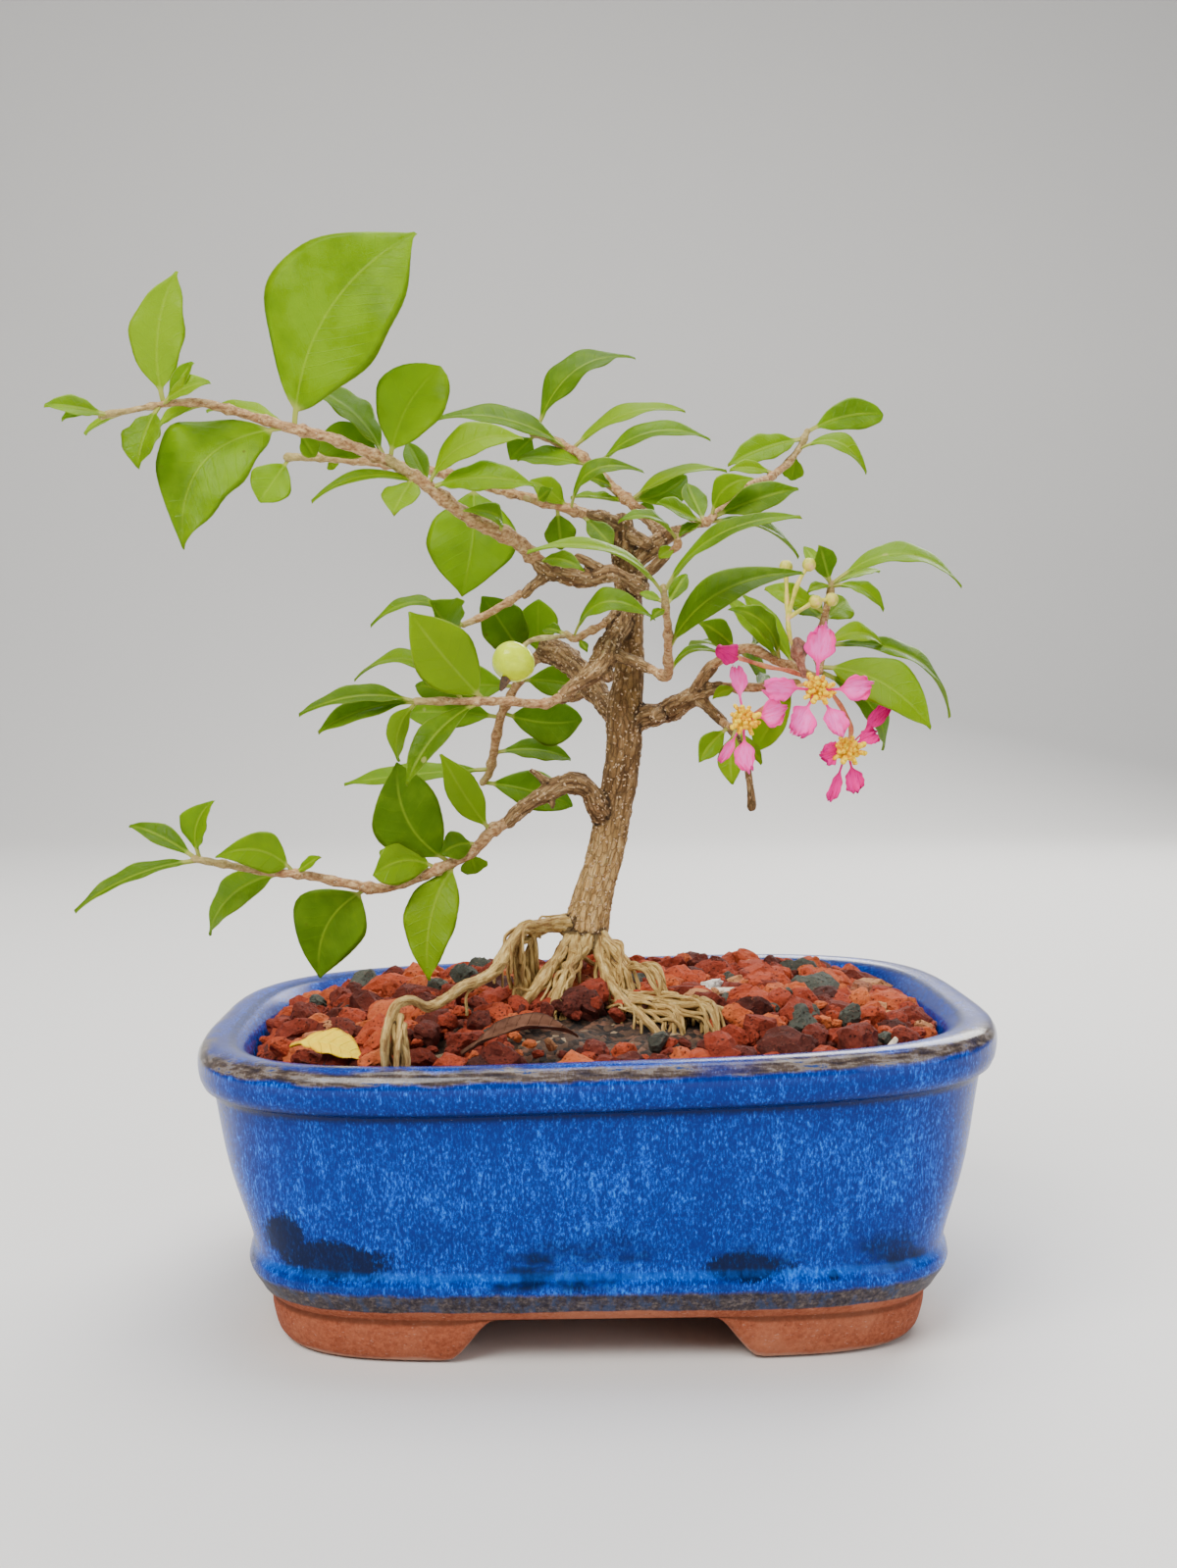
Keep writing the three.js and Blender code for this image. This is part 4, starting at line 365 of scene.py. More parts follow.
    [7.5, 160.5, 4, 1.3], [4, 162.5, 8, 1.2], [-3.5, 166, 14, 1.1], [-13, 168.5, 17, 1.1],
    [-19.5, 170, 19, 1.1], [-26, 172, 21, 1.2], [-33.5, 174, 22, 1.2], [-43, 175.5, 24, 1.1],
    [-51.5, 176.5, 25, 1.1], [-59, 177, 26, 1], [-65.5, 177, 27, 0.9],
  ], [
    [-65, 177, -71.5, 167.5, 0, 10, 15, 0, 0.3], [-56.5, 177, -55.5, 174.5, 2, 3, 20, 0, 0.3],
    [-27, 172, -22.5, 175, 4, 4.5, 20, 0.1, 0.3], [-26, 172, -28.5, 148, -8, 19, 6, 0.03, 0.25, -0.05, 0.5],
  ]),
  "back_low_spray": ([
    [-10.5, 136, 29, 1.3], [-14, 132.5, 32, 1.1], [-17, 128, 34, 1.1], [-20, 122, 36, 1.1],
    [-21.5, 115, 38, 1.1], [-22.5, 110, 40, 1], [-24, 107.5, 41, 0.9],
  ], [
    [-19.5, 122.5, -2.5, 121, 4, 10.5, 20, 0.05, 0.25, 0.1],
    [-20, 121.5, -41, 122.5, 3, 8.5, 25, 0.08, 0.3],
    [-22, 114, -5, 112.5, 2, 6.5, 45, 0.12, 0.3], [-24, 107.5, -4.5, 102.5, 4, 9.5, 32, 0.08, 0.3],
    [-22.5, 110.5, -54, 107.5, 3, 7, 55, 0.03, 0.3, -0.02, 0.5],
    [-14, 132.5, -24, 147.5, -5, 10, 15, 0.05, 0.25], [-12, 134, -12, 147, 2, 9, 15, 0, 0.25],
    [-13, 133.5, -20.5, 138, 5, 6, 20, 0.1, 0.3], [-16, 129.5, -1, 127.5, -4, 8, 30, 0.1, 0.3],
    [-16.5, 128, -36.5, 128, 5, 10, 20, 0.05, 0.3],
  ]),
}

# Each petal is [across, up, depth, width] at its tip
BLOOMS = {
  "bloom_a": {
    "centre": [48.5, 127.5, -34],
    "petals": [
      [49.5, 141.5, -36, 7], [37, 129.5, -37, 6], [60.5, 128.5, -36, 6], [42.5, 118, -38, 6.5],
      [53.5, 117, -38, 5.5],
    ],
  },
  "bloom_b": {
    "centre": [32.5, 121, -30],
    "petals": [[42, 122.5, -33, 6.5], [34, 109.5, -33, 5], [27, 112, -30, 2.5], [29.5, 132, -26, 4]],
  },
  "bloom_c": {
    "centre": [55, 114.5, -33],
    "petals": [
      [49, 114, -36, 5.5], [50.5, 103.5, -34, 3], [57, 105, -34, 4.5], [61, 118, -31, 4],
      [64, 123.5, -29, 3.5],
    ],
  },
}
BLOOM_STALKS = [
  [[48.5, 127.5, -33, 0.6], [49, 129, -28, 0.5], [48, 129.5, -24.5, 0.6]],
  [
    [55, 114.5, -32, 0.6], [56, 119, -27, 0.5], [54, 123.5, -25, 0.5], [50.5, 128, -24.5, 0.5],
    [48, 129.5, -24.5, 0.5],
  ],
  [[32.5, 121, -29, 0.6], [37, 123.5, -25, 0.5], [41.5, 127, -24.5, 0.5], [48, 129.5, -24.5, 0.5]],
  [[31, 134.5, -27.5, 0.5], [37.5, 132.5, -26, 0.5], [42.5, 131.5, -25, 0.5], [48, 129.5, -24.5, 0.5]],
]
WILTED_BLOOM = [[30.5, 134.5, -27.5, 0.9], [29.5, 135, -28, 2.1], [27.5, 136, -28.5, 1.2]]
DRIED_BLOOM = [
  [45.5, 130.5, -26, 0.6], [45, 133, -26, 0.8], [44.5, 136, -26, 1.7], [44, 138, -26, 0.9],
]
FRUIT = [-17.5, 133.5, -17]
FRUIT_STALK = [
  [-16, 135.5, -16.5, 0.6], [-14.5, 137.5, -16, 0.6], [-12, 138.5, -15.5, 0.6], [-6.5, 139, -13, 0.5],
]
FRUIT_TIP = [[-18.5, 131, -18, 1], [-19.5, 128.5, -19, 0.8], [-20, 127.5, -19.5, 0.4]]
BUD_TIPS = [[46.5, 154.5, -22], [41.5, 154, -20], [51.5, 147, -20.5], [48, 146.5, -22]]
BUD_STALKS = [
  [[44, 134, -23, 0.5], [42.5, 139, -23.5, 0.5], [42, 143, -22.5, 0.5], [41.5, 154, -20, 0.5]],
  [[42, 143, -22.5, 0.5], [44, 150, -22.5, 0.5], [46.5, 154.5, -22, 0.5]],
  [[42, 143, -22.5, 0.5], [48, 146.5, -22, 0.5], [51.5, 147, -20.5, 0.5]],
]

# What lies on the gravel: a leaf is its root, its tip, its width, roll, arch and fold
FALLEN_YELLOW_LEAF = [[-66, 50.5, -41], [-50, 47, -46], 8.5, 62, 0.16, 0.3]
FALLEN_BROWN_LEAF = [[-29, 48.5, -50], [-3.5, 52.5, -46], 6.5, 66, 0.16, 0.85]
PALE_STICK = [[25, 61.5, -12, 0.7], [32, 61.5, -12, 0.9], [38, 60, -13, 0.7]]
WHITE_TWIG = [[64.5, 48, -44, 0.7], [66, 50, -42, 0.7], [67, 51.5, -40, 0.5]]
# The bare soil in front of the roots: [across, back, half width, half depth]
SOIL_PATCH = [3, -36, 22, 13]


# Sockets and node trees


def arithmetic(operation, swapped=False):
    """A method that joins two values with a Math node."""

    def method(self, other=0.0):
        return self.tree.math(operation, *((other, self) if swapped else (self, other)))

    return method


class Value:
    """One socket of a node tree, with arithmetic that adds Math nodes."""

    def __init__(self, tree, socket):
        self.tree = tree
        self.socket = socket

    __add__ = arithmetic("ADD")
    __radd__ = arithmetic("ADD", swapped=True)
    __sub__ = arithmetic("SUBTRACT")
    __rsub__ = arithmetic("SUBTRACT", swapped=True)
    __mul__ = arithmetic("MULTIPLY")
    __rmul__ = arithmetic("MULTIPLY", swapped=True)
    __truediv__ = arithmetic("DIVIDE")
    __rtruediv__ = arithmetic("DIVIDE", swapped=True)
    __pow__ = arithmetic("POWER")
    __abs__ = arithmetic("ABSOLUTE")


class Tree:
    """A shader or geometry node tree that is written as expressions."""

    def __init__(self, nodes):
        self.nodes = nodes

    def put(self, socket, value):
        if isinstance(value, Value):
            self.nodes.links.new(value.socket, socket)
        elif socket.type == "RGBA":
            socket.default_value = (*value[:3], 1.0)
        else:
            socket.default_value = value

    def node(self, kind, inputs=None, output=0, stops=None, **settings):
        made = self.nodes.nodes.new(kind)
        for name, setting in settings.items():
            setattr(made, name, setting)
        if stops:
            ramp = made.color_ramp
            while len(ramp.elements) < len(stops):
                ramp.elements.new(0.5)
            for element, (position, colour) in zip(ramp.elements, stops):
                element.position = position
                element.color = (*colour, 1.0)
        for key, value in (inputs or {}).items():
            self.put(made.inputs[key], value)
        return Value(self, made.outputs[output])

    def other(self, value, output):
        """Another output of the node that a value comes from."""
        return Value(self, value.socket.node.outputs[output])

    def math(self, operation, first, second=0.0):
        return self.node("ShaderNodeMath", {0: first, 1: second}, operation=operation)

    def smooth(self, value, low, high, start=0.0, end=1.0):
        """A soft step from start to end as the value goes from low to high."""
        inputs = {"Value": value, "From Min": low, "From Max": high, "To Min": start, "To Max": end}
        return self.node("ShaderNodeMapRange", inputs, interpolation_type="SMOOTHSTEP")

    def blend(self, factor, first, second, kind="MIX"):
        """A mix of two colours."""
        inputs = {0: factor, 6: first, 7: second}
        return self.node("ShaderNodeMix", inputs, output=2, data_type="RGBA", blend_type=kind)

    def layered(self, colour, *layers):
        """A colour with other colours laid over it, each by its share."""
        for share, over in layers:
            colour = self.blend(share, colour, over)
        return colour

    def vector(self, operation, first, second=(0.0, 0.0, 0.0)):
        return self.node("ShaderNodeVectorMath", {0: first, 1: second}, operation=operation)

    def scaled(self, vector, factors):
        return self.vector("MULTIPLY", vector, factors)

    def join(self, x=0.0, y=0.0, z=0.0):
        return self.node("ShaderNodeCombineXYZ", {0: x, 1: y, 2: z})

    def split(self, vector):
        parts = self.node("ShaderNodeSeparateXYZ", {0: vector})
        return parts, self.other(parts, 1), self.other(parts, 2)

    def noise(self, vector, scale, detail=4.0, roughness=0.6):
        inputs = {"Vector": vector, "Scale": scale, "Detail": detail, "Roughness": roughness}
        return self.node("ShaderNodeTexNoise", inputs)

    def cells(self, vector, scale, output="Distance", **settings):
        inputs = {"Vector": vector, "Scale": scale}
        return self.node("ShaderNodeTexVoronoi", inputs, output, **settings)

    def attribute(self, name, output="Vector"):
        return self.node("ShaderNodeAttribute", attribute_name=name, output=output)

    def ramp(self, value, stops):
        return self.node("ShaderNodeValToRGB", {0: value}, stops=stops)

    def bump(self, height, distance, strength=1.0):
        return self.node("ShaderNodeBump", {"Height": height, "Distance": distance, "Strength": strength})

    def skin(self, colour, roughness, normal=None, **constants):
        """A principled surface; the names of its constants have _ for a space."""
        inputs = {"Base Color": colour, "Roughness": roughness}
        if normal is not None:
            inputs["Normal"] = normal
        inputs.update({name.replace("_", " "): value for name, value in constants.items()})
        return self.node("ShaderNodeBsdfPrincipled", inputs)

    def finished(self, surface):
        """The material, now with this surface."""
        end = self.nodes.nodes.new("ShaderNodeOutputMaterial")
        self.nodes.links.new(surface.socket, end.inputs["Surface"])
        return self.material

    def geo(self, kind, output=0, settings=None, **inputs):
        """A node of Geometry Nodes; the names of its inputs have _ for a space."""
        inputs = {name.replace("_", " "): value for name, value in inputs.items()}
        return self.node("GeometryNode" + kind, inputs, output, **(settings or {}))

    def grown(self, geometry, material):
        """Ends a tree of Geometry Nodes: instances made real, with the material."""
        real = self.geo("RealizeInstances", Geometry=geometry)
        real = self.geo("SetMaterial", Geometry=real, Material=material)
        end = self.nodes.nodes.new("NodeGroupOutput")
        self.nodes.links.new(real.socket, end.inputs[0])
        return self

    def named(self, geometry, name, vector):
        """The geometry with a vector stored for each of its points."""
        settings = {"data_type": "FLOAT_VECTOR", "domain": "POINT"}
        return self.geo("StoreNamedAttribute", 0, settings, Geometry=geometry, Name=name, Value=vector)

    def chance(self, low, high, seed, kind="FLOAT"):
        """A random value for every element."""
        first, output = {"FLOAT": (2, 1), "FLOAT_VECTOR": (0, 0), "INT": (4, 2)}[kind]
        inputs = {first: low, first + 1: high, "Seed": seed}
        return self.node("FunctionNodeRandomValue", inputs, output=output, data_type=kind)

    def from_object(self, source):
        return self.geo("ObjectInfo", "Geometry", Object=source)


def new_material(name):
    """The tree of a new material, and the place on the piece in millimetres."""
    material = bpy.data.materials.new(name)
    material.use_nodes = True
    material.node_tree.nodes.clear()
    tree = Tree(material.node_tree)
    tree.material = material
    spot = tree.node("ShaderNodeTexCoord", output="Object")
    return tree, tree.scaled(spot, (1 / MM, 1 / MM, 1 / MM))


def geometry_tree(name, kinds):
    """A tree of Geometry Nodes with these named inputs, and the inputs as values."""
    group = bpy.data.node_groups.new(name, "GeometryNodeTree")
    tree = Tree(group)
    tree.sockets = {
        label: group.interface.new_socket(label, in_out="INPUT", socket_type="NodeSocket" + kind)
        for label, kind in kinds.items()
    }
    group.interface.new_socket("Geometry", in_out="OUTPUT", socket_type="NodeSocketGeometry")
    given = group.nodes.new("NodeGroupInput")
    return tree, {label: Value(tree, given.outputs[label]) for label in kinds}


def plain_mesh(carrier):
    """The evaluated mesh of an object that is then removed with its modifiers."""
    bpy.context.view_layer.update()
    graph = bpy.context.evaluated_depsgraph_get()
    mesh = bpy.data.meshes.new_from_object(carrier.evaluated_get(graph), depsgraph=graph)
    carrier.modifiers.clear()
    bpy.data.objects.remove(carrier)
    return mesh


def grown_mesh(name, tree, values):
    """The plain mesh that a geometry tree makes with these input values."""
    carrier = new_object(name, bpy.data.meshes.new(name + "_start"))
    modifier = carrier.modifiers.new("nodes", "NODES")
    modifier.node_group = tree.nodes
    for label, value in values.items():
        modifier[tree.sockets[label].identifier] = value
    carrier.update_tag()
    mesh = plain_mesh(carrier)
    mesh.name = name
    return mesh


# Meshes


def place(across, up, depth):
    """A place on the plant, in metres in the part's frame."""
    share = scale_at(depth)
    spot = Vector((EYE.x + (across - EYE.x) * share, depth, EYE.z + (up - EYE.z) * share))
    return spot * MM + ORIGIN


def scale_at(depth):
    """How much larger a thing is at this depth than it looks in the upright plane."""
    return (depth - EYE.y) / -EYE.y


class Shell:
    """The points, faces and point values of one mesh, gathered part by part."""

    def __init__(self, *value_names):
        self.points = []
        self.faces = []
        self.count = 0
        self.values = {name: [] for name in value_names}

    def add(self, points, faces, **values):
        points = np.asarray(points, float).reshape(-1, 3)
        self.points.append(points)
        self.faces.extend(tuple(corner + self.count for corner in face) for face in faces)
        for name, gathered in self.values.items():
            given = np.asarray(values.get(name, (0.0, 0.0, 0.0)), float)
            gathered.append(np.broadcast_to(given, points.shape))
        self.count += len(points)

    def mesh(self, name):
        mesh = bpy.data.meshes.new(name)
        mesh.from_pydata(np.concatenate(self.points).tolist(), [], self.faces)
        for value_name, gathered in self.values.items():
            store(mesh, value_name, np.concatenate(gathered))
        mesh.shade_smooth()
        return mesh


def new_object(name, mesh, *materials):
    made = bpy.data.objects.new(name, mesh)
    bpy.context.scene.collection.objects.link(made)
    for material in materials:
        mesh.materials.append(material)
    return made


def keep(piece, slot, *nodes):
    """The piece rides on the part and stands for the named nodes; its slot is not used."""
    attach(piece, BODY)
    if nodes:
        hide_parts(*nodes)


def add_stalk(shell, path, step, sides, swell):
    """Adds a closed tube along [across, up, depth, radius] places."""
    points, faces, values = tube(smooth_path(placed(path), step * MM), sides, swell)
    look = np.zeros((len(points), 3))
    look[:, 1] = values[:, 1] / values[:, 1].max()
    shell.add(points, faces, blade=values, look=look)


def grid_faces(rows, columns, closed=False, start=0, flip=False):
    """Quads over a grid of points in row order. Closed joins the last column to the first."""
    faces = []
    for row in range(start, start + (rows - 1) * columns, columns):
        for column in range(columns if closed else columns - 1):
            after = (column + 1) % columns
            quad = (row + column, row + after, row + columns + after, row + columns + column)
            faces.append(quad[::-1] if flip else quad)
    return faces


def smooth_path(knots, step):
    """Points with radii on a Catmull-Rom curve through [x, y, z, radius] knots, about step apart."""
    knots = np.asarray(knots, float)
    first = 2 * knots[0] - knots[1]
    last = 2 * knots[-1] - knots[-2]
    ends = np.vstack([first, knots, last])
    points = []
    for k in range(1, len(ends) - 2):
        a, b, c, d = ends[k - 1 : k + 3]
        pieces = max(1, round(np.linalg.norm((c - b)[:3]) / step))
        for t in np.arange(pieces) / pieces:
            cubic = -a + 3 * b - 3 * c + d
            square = 2 * a - 5 * b + 4 * c - d
            points.append(0.5 * (2 * b + (c - a) * t + square * t**2 + cubic * t**3))
    points.append(knots[-1])
    return np.array(points)


def placed(path):
    """[across, up, depth, radius] places as knots in metres."""
    return [(*place(a, u, d), r * scale_at(d) * MM) for a, u, d, r in path]


def directions(points):
    ahead = np.gradient(points, axis=0)
    return ahead / np.linalg.norm(ahead, axis=1, keepdims=True)


def tube(path, sides, swell=None, end_rings=3):
    """A closed tube with rounded ends along points with radii. Swell scales the radius.

    Gives its points, its faces and, for each point, [turn, way along in millimetres, radius in millimetres].
    """
    path = np.asarray(path, float)
    head = directions(path[:, :3])
    bend = np.arange(1, end_rings + 1) / (end_rings + 1) * math.pi / 2
    first, last = (
        np.column_stack([spot[:3] + np.outer(np.sin(bend), way) * spot[3], spot[3] * np.cos(bend)])
        for spot, way in ((path[0], -head[0]), (path[-1], head[-1]))
    )
    rings = np.vstack([first[::-1], path, last])
    heads = np.vstack([head[:1]] * end_rings + [head] + [head[-1:]] * end_rings)
    steps = np.linalg.norm(np.diff(rings[:, :3], axis=0), axis=1)
    length = np.concatenate([[0], np.cumsum(steps)]) / MM
    side = np.array([1.0, 0, 0]) if abs(heads[0][0]) < 0.7 else np.array([0, 0, 1.0])
    turns = np.arange(sides) / sides * 2 * math.pi
    points, values = [], []
    for i, (spot, ahead) in enumerate(zip(rings, heads)):
        side = side - ahead * side.dot(ahead)
        side /= np.linalg.norm(side)
        around = spot[3] * (swell(turns, length[i]) if swell else np.ones(sides))
        across = np.outer(np.cos(turns) * around, side)
        points.append(across + np.outer(np.sin(turns) * around, np.cross(ahead, side)) + spot[:3])
        values.append(np.column_stack([turns, np.full(sides, length[i]), around / MM]))
    points.append(rings[:1, :3] - heads[0] * rings[0, 3] * 0.3)
    points.append(rings[-1:, :3] + heads[-1] * rings[-1, 3] * 0.3)
    values.append([[0, 0, 0], [0, length[-1], 0]])
    faces = grid_faces(len(rings), sides, closed=True)
    last, pole = (len(rings) - 1) * sides, len(rings) * sides
    for k in range(sides):
        after = (k + 1) % sides
        faces += [(pole, after, k), (pole + 1, last + k, last + after)]
    return np.vstack(points), faces, np.vstack(values)


def add_sheet(shell, top, under, blade, share, tint):
    """Adds a thin closed sheet whose two skins share their side edges.

    Blade is [across, along, half width] in millimetres; look gets [1 on the lower skin, share, tint].
    """
    rows, columns = top.shape[:2]
    base, inner = rows * columns, columns - 2

    def low(row, column):
        return base + row * inner + column - 1 if 0 < column < columns - 1 else row * columns + column

    faces = grid_faces(rows, columns, flip=True)
    faces += [
        (low(i, j), low(i, j + 1), low(i + 1, j + 1), low(i + 1, j))
        for i in range(rows - 1) for j in range(columns - 1)
    ]
    for row, step in ((0, 1), (rows - 1, -1)):
        ring = [row * columns + j for j in range(columns)]
        ring += [low(row, j) for j in range(columns - 2, 0, -1)]
        faces.append(tuple(ring[::step]))
    points = np.concatenate([top.reshape(-1, 3), under[:, 1:-1].reshape(-1, 3)])
    values = np.concatenate([blade.reshape(-1, 3), blade[:, 1:-1].reshape(-1, 3)])
    lower = np.repeat([0.0, 1.0], [base, rows * inner])
    shares = np.concatenate([np.repeat(share, columns), np.repeat(share, inner)])
    look = np.column_stack([lower, shares, np.full(len(points), tint)])
    shell.add(points, faces, blade=values, look=look)


def mesh_vectors(mesh, name="co"):
    """The places or normals of a mesh's points."""
    flat = np.empty(len(mesh.vertices) * 3)
    mesh.vertices.foreach_get(name, flat)
    return flat.reshape(-1, 3)


def store(mesh, name, values):
    """Stores a number or a vector for every point."""
    values = np.asarray(values, np.float32)
    kind, field = ("FLOAT", "value") if values.ndim == 1 else ("FLOAT_VECTOR", "vector")
    mesh.attributes.new(name, kind, "POINT").data.foreach_set(field, values.ravel())


# Sizes and colours that a user may change


def length_setting(name, description, millimetres):
    return FloatProperty(name=name, description=description, default=millimetres * MM, unit="LENGTH")


def colour_setting(name, description, colour):
    return FloatVectorProperty(
        name=name, description=description, default=colour, subtype="COLOR", size=3, min=0, max=1
    )


class PotSettings(PropertyGroup):
    length: length_setting("Length", "Length of the pot over its rim", POT_LENGTH)
    depth: length_setting("Depth", "Depth of the pot over its rim, front to back", POT_DEPTH)
    drain_radius: length_setting("Drain hole radius", "Radius of the two drain holes in the floor", 7.0)
    steps_around: IntProperty(
        name="Steps around", description="Faces around the pot's wall", default=300, min=48
    )
    glaze: colour_setting("Glaze", "Main colour of the glazed wall", (0.0, 0.055, 0.46))
    glaze_dark: colour_setting("Deep glaze", "Colour where the glaze is thick", (0.0, 0.016, 0.19))
    glaze_light: colour_setting("Glaze flecks", "Colour of the light vertical flecks", (0.004, 0.155, 0.82))
    clay: colour_setting("Clay", "Colour of the bare clay of the feet", (0.40, 0.115, 0.055))


class BedSettings(PropertyGroup):
    stone_size: length_setting("Stone size", "Mean width of a lava stone", 11.5)
    stone_gap: length_setting("Stone spacing", "Least distance between the middles of two stones", 6.6)
    seed: IntProperty(name="Seed", description="Chooses where the stones lie", default=7)


class WoodSettings(PropertyGroup):
    voxel: length_setting("Grain of the join", "Voxel size that joins limbs and roots", 0.42)
    bark_pale: colour_setting("Pale bark", "Colour of the worn bark at the trunk's foot", (0.60, 0.37, 0.12))
    rootlets: IntProperty(
        name="Rootlets", description="Number of thin rootlets along the roots", default=170, min=0
    )
    lenticels: IntProperty(
        name="Lenticels", description="Number of raised pale pores on the bark", default=2600, min=0
    )


class LeafSettings(PropertyGroup):
    thickness: length_setting("Thickness", "Thickness of a leaf blade", 0.28)
    green: colour_setting("Leaf green", "Colour of the upper side of a full-grown leaf", (0.165, 0.30, 0.0))
    young: colour_setting("Young leaf", "Colour of the youngest, yellow-green leaves", (0.30, 0.44, 0.0))
    underside: colour_setting("Underside", "Colour of the lower side of a leaf", (0.26, 0.37, 0.035))
    tooth: length_setting("Tooth depth", "Depth of the fine teeth along the leaf margin", 0.12)


class BloomSettings(PropertyGroup):
    pink: colour_setting("Petal pink", "Main colour of the open petals", (1.0, 0.05, 0.44))
    magenta: colour_setting("Old petal", "Colour of the older, darker petals", (0.84, 0.0, 0.27))
    anther: colour_setting("Anther", "Colour of the anthers", (1.0, 0.62, 0.0))
    stamens: IntProperty(name="Stamens", description="Stamens in each flower", default=15, min=3)
    fruit: colour_setting("Fruit", "Colour of the unripe fruit", (0.60, 0.74, 0.0))


class StageSettings(PropertyGroup):
    floor: colour_setting("Floor", "Colour of the plain floor", (0.74, 0.73, 0.71))
    lens: FloatProperty(
        name="Lens", description="Focal length of the camera in millimetres", default=40.53, min=1
    )
    light: FloatProperty(name="Light", description="Strength of the studio light", default=1.0, min=0)


class PieceOperator(Operator):
    bl_options = {"REGISTER", "UNDO"}


# The pot

# Each row is [inset from the rim's outline, height, share of the outline]
POT_PROFILE = [
    [25, 8.8, 0], [25, 8.8, 0.6], [25, 8.8, 0.97], [24.9, 8.6, 1], [24.5, 6.6, 1], [24, 2.6, 1],
    [23.6, 0.7, 1], [22.8, 0, 1], [19, 0, 1], [14.6, 0, 1], [13.2, 0.4, 1], [12.3, 1.6, 1],
    [11.7, 3.6, 1], [11.3, 5.8, 1], [11.2, 7.4, 1], [11.4, 8.4, 1], [11, 9, 1], [10.2, 9.7, 1],
    [9.3, 10.8, 1], [8.6, 12.2, 1], [7.6, 13.9, 1], [7, 15.6, 1], [7.3, 17.1, 1], [7.9, 18.5, 1],
    [7.5, 22, 1], [5.3, 34, 1], [3.9, 44, 1],
    [3.2, 48.6, 1], [2.9, 50, 1], [2, 50.5, 1], [1, 51.1, 1], [0.35, 52.6, 1], [0, 55.2, 1],
    [0.25, 57.2, 1], [1.1, 58.6, 1], [2.8, 59.3, 1], [4.8, 59.3, 1], [7, 58.8, 1], [8.8, 57.4, 1],
    [10.3, 54.5, 1], [11, 48, 1], [14.3, 19.5, 1], [15.2, 17.3, 1], [17, 16.5, 1],
    [18.5, 16.3, 0.97], [18.5, 16.3, 0.6], [18.5, 16.3, 0],
]
FOOT_FRONT_SPAN = (20, 30)
FOOT_SIDE_SPAN = (14, 25)
DRAIN_SPACING = 68
DRILL_DEPTH = 16.0
DRILL_HEIGHT = 13.0
# Heights on the wall: where bare clay ends, the ledge where glaze pools, the groove and the rim's edge
CLAY_LINE = 10.9
LEDGE_HEIGHT = 18.2
GROOVE_HEIGHT = 50.2
EDGE_HEIGHT = 57.9
# Dark smudges in the glaze: [across, height, half width, half height]
SMUDGES = [(-51, 21, 13, 4.2), (-61, 25, 5, 5), (27, 19.5, 9, 3)]


def bare_clay(tree, spot, height, grain, cloud, wander, pits, main):
    """Reddish clay with pale and dark blotches, scuffed at the bottom of the feet, with painted shade along
    the crease at the feet's top and under the pot.
    """
    clay = tree.blend(tree.smooth(grain, 0.3, 0.75), (0.22, 0.05, 0.022), main)
    scuffs = tree.smooth(tree.noise(tree.scaled(spot, (1, 1, 3)), 0.9, 4.0, 0.7), 0.6, 0.7)
    return tree.layered(
        clay,
        (tree.smooth(cloud, 0.42, 0.68) * 0.5, (0.46, 0.17, 0.09)),
        (pits * 0.6, (0.07, 0.025, 0.014)),
        (scuffs * 0.5, (0.55, 0.33, 0.25)),
        (tree.smooth(height + (wander - 0.5) * 2, 1.4, 0.2) * 0.6, (0.50, 0.32, 0.24)),
        # painted shade: a dark band along the crease at the top of the feet and under the pot
        (tree.smooth(abs(height - 8.3), 0.9, 0.3) * 0.6, (0.10, 0.03, 0.015)),
    )


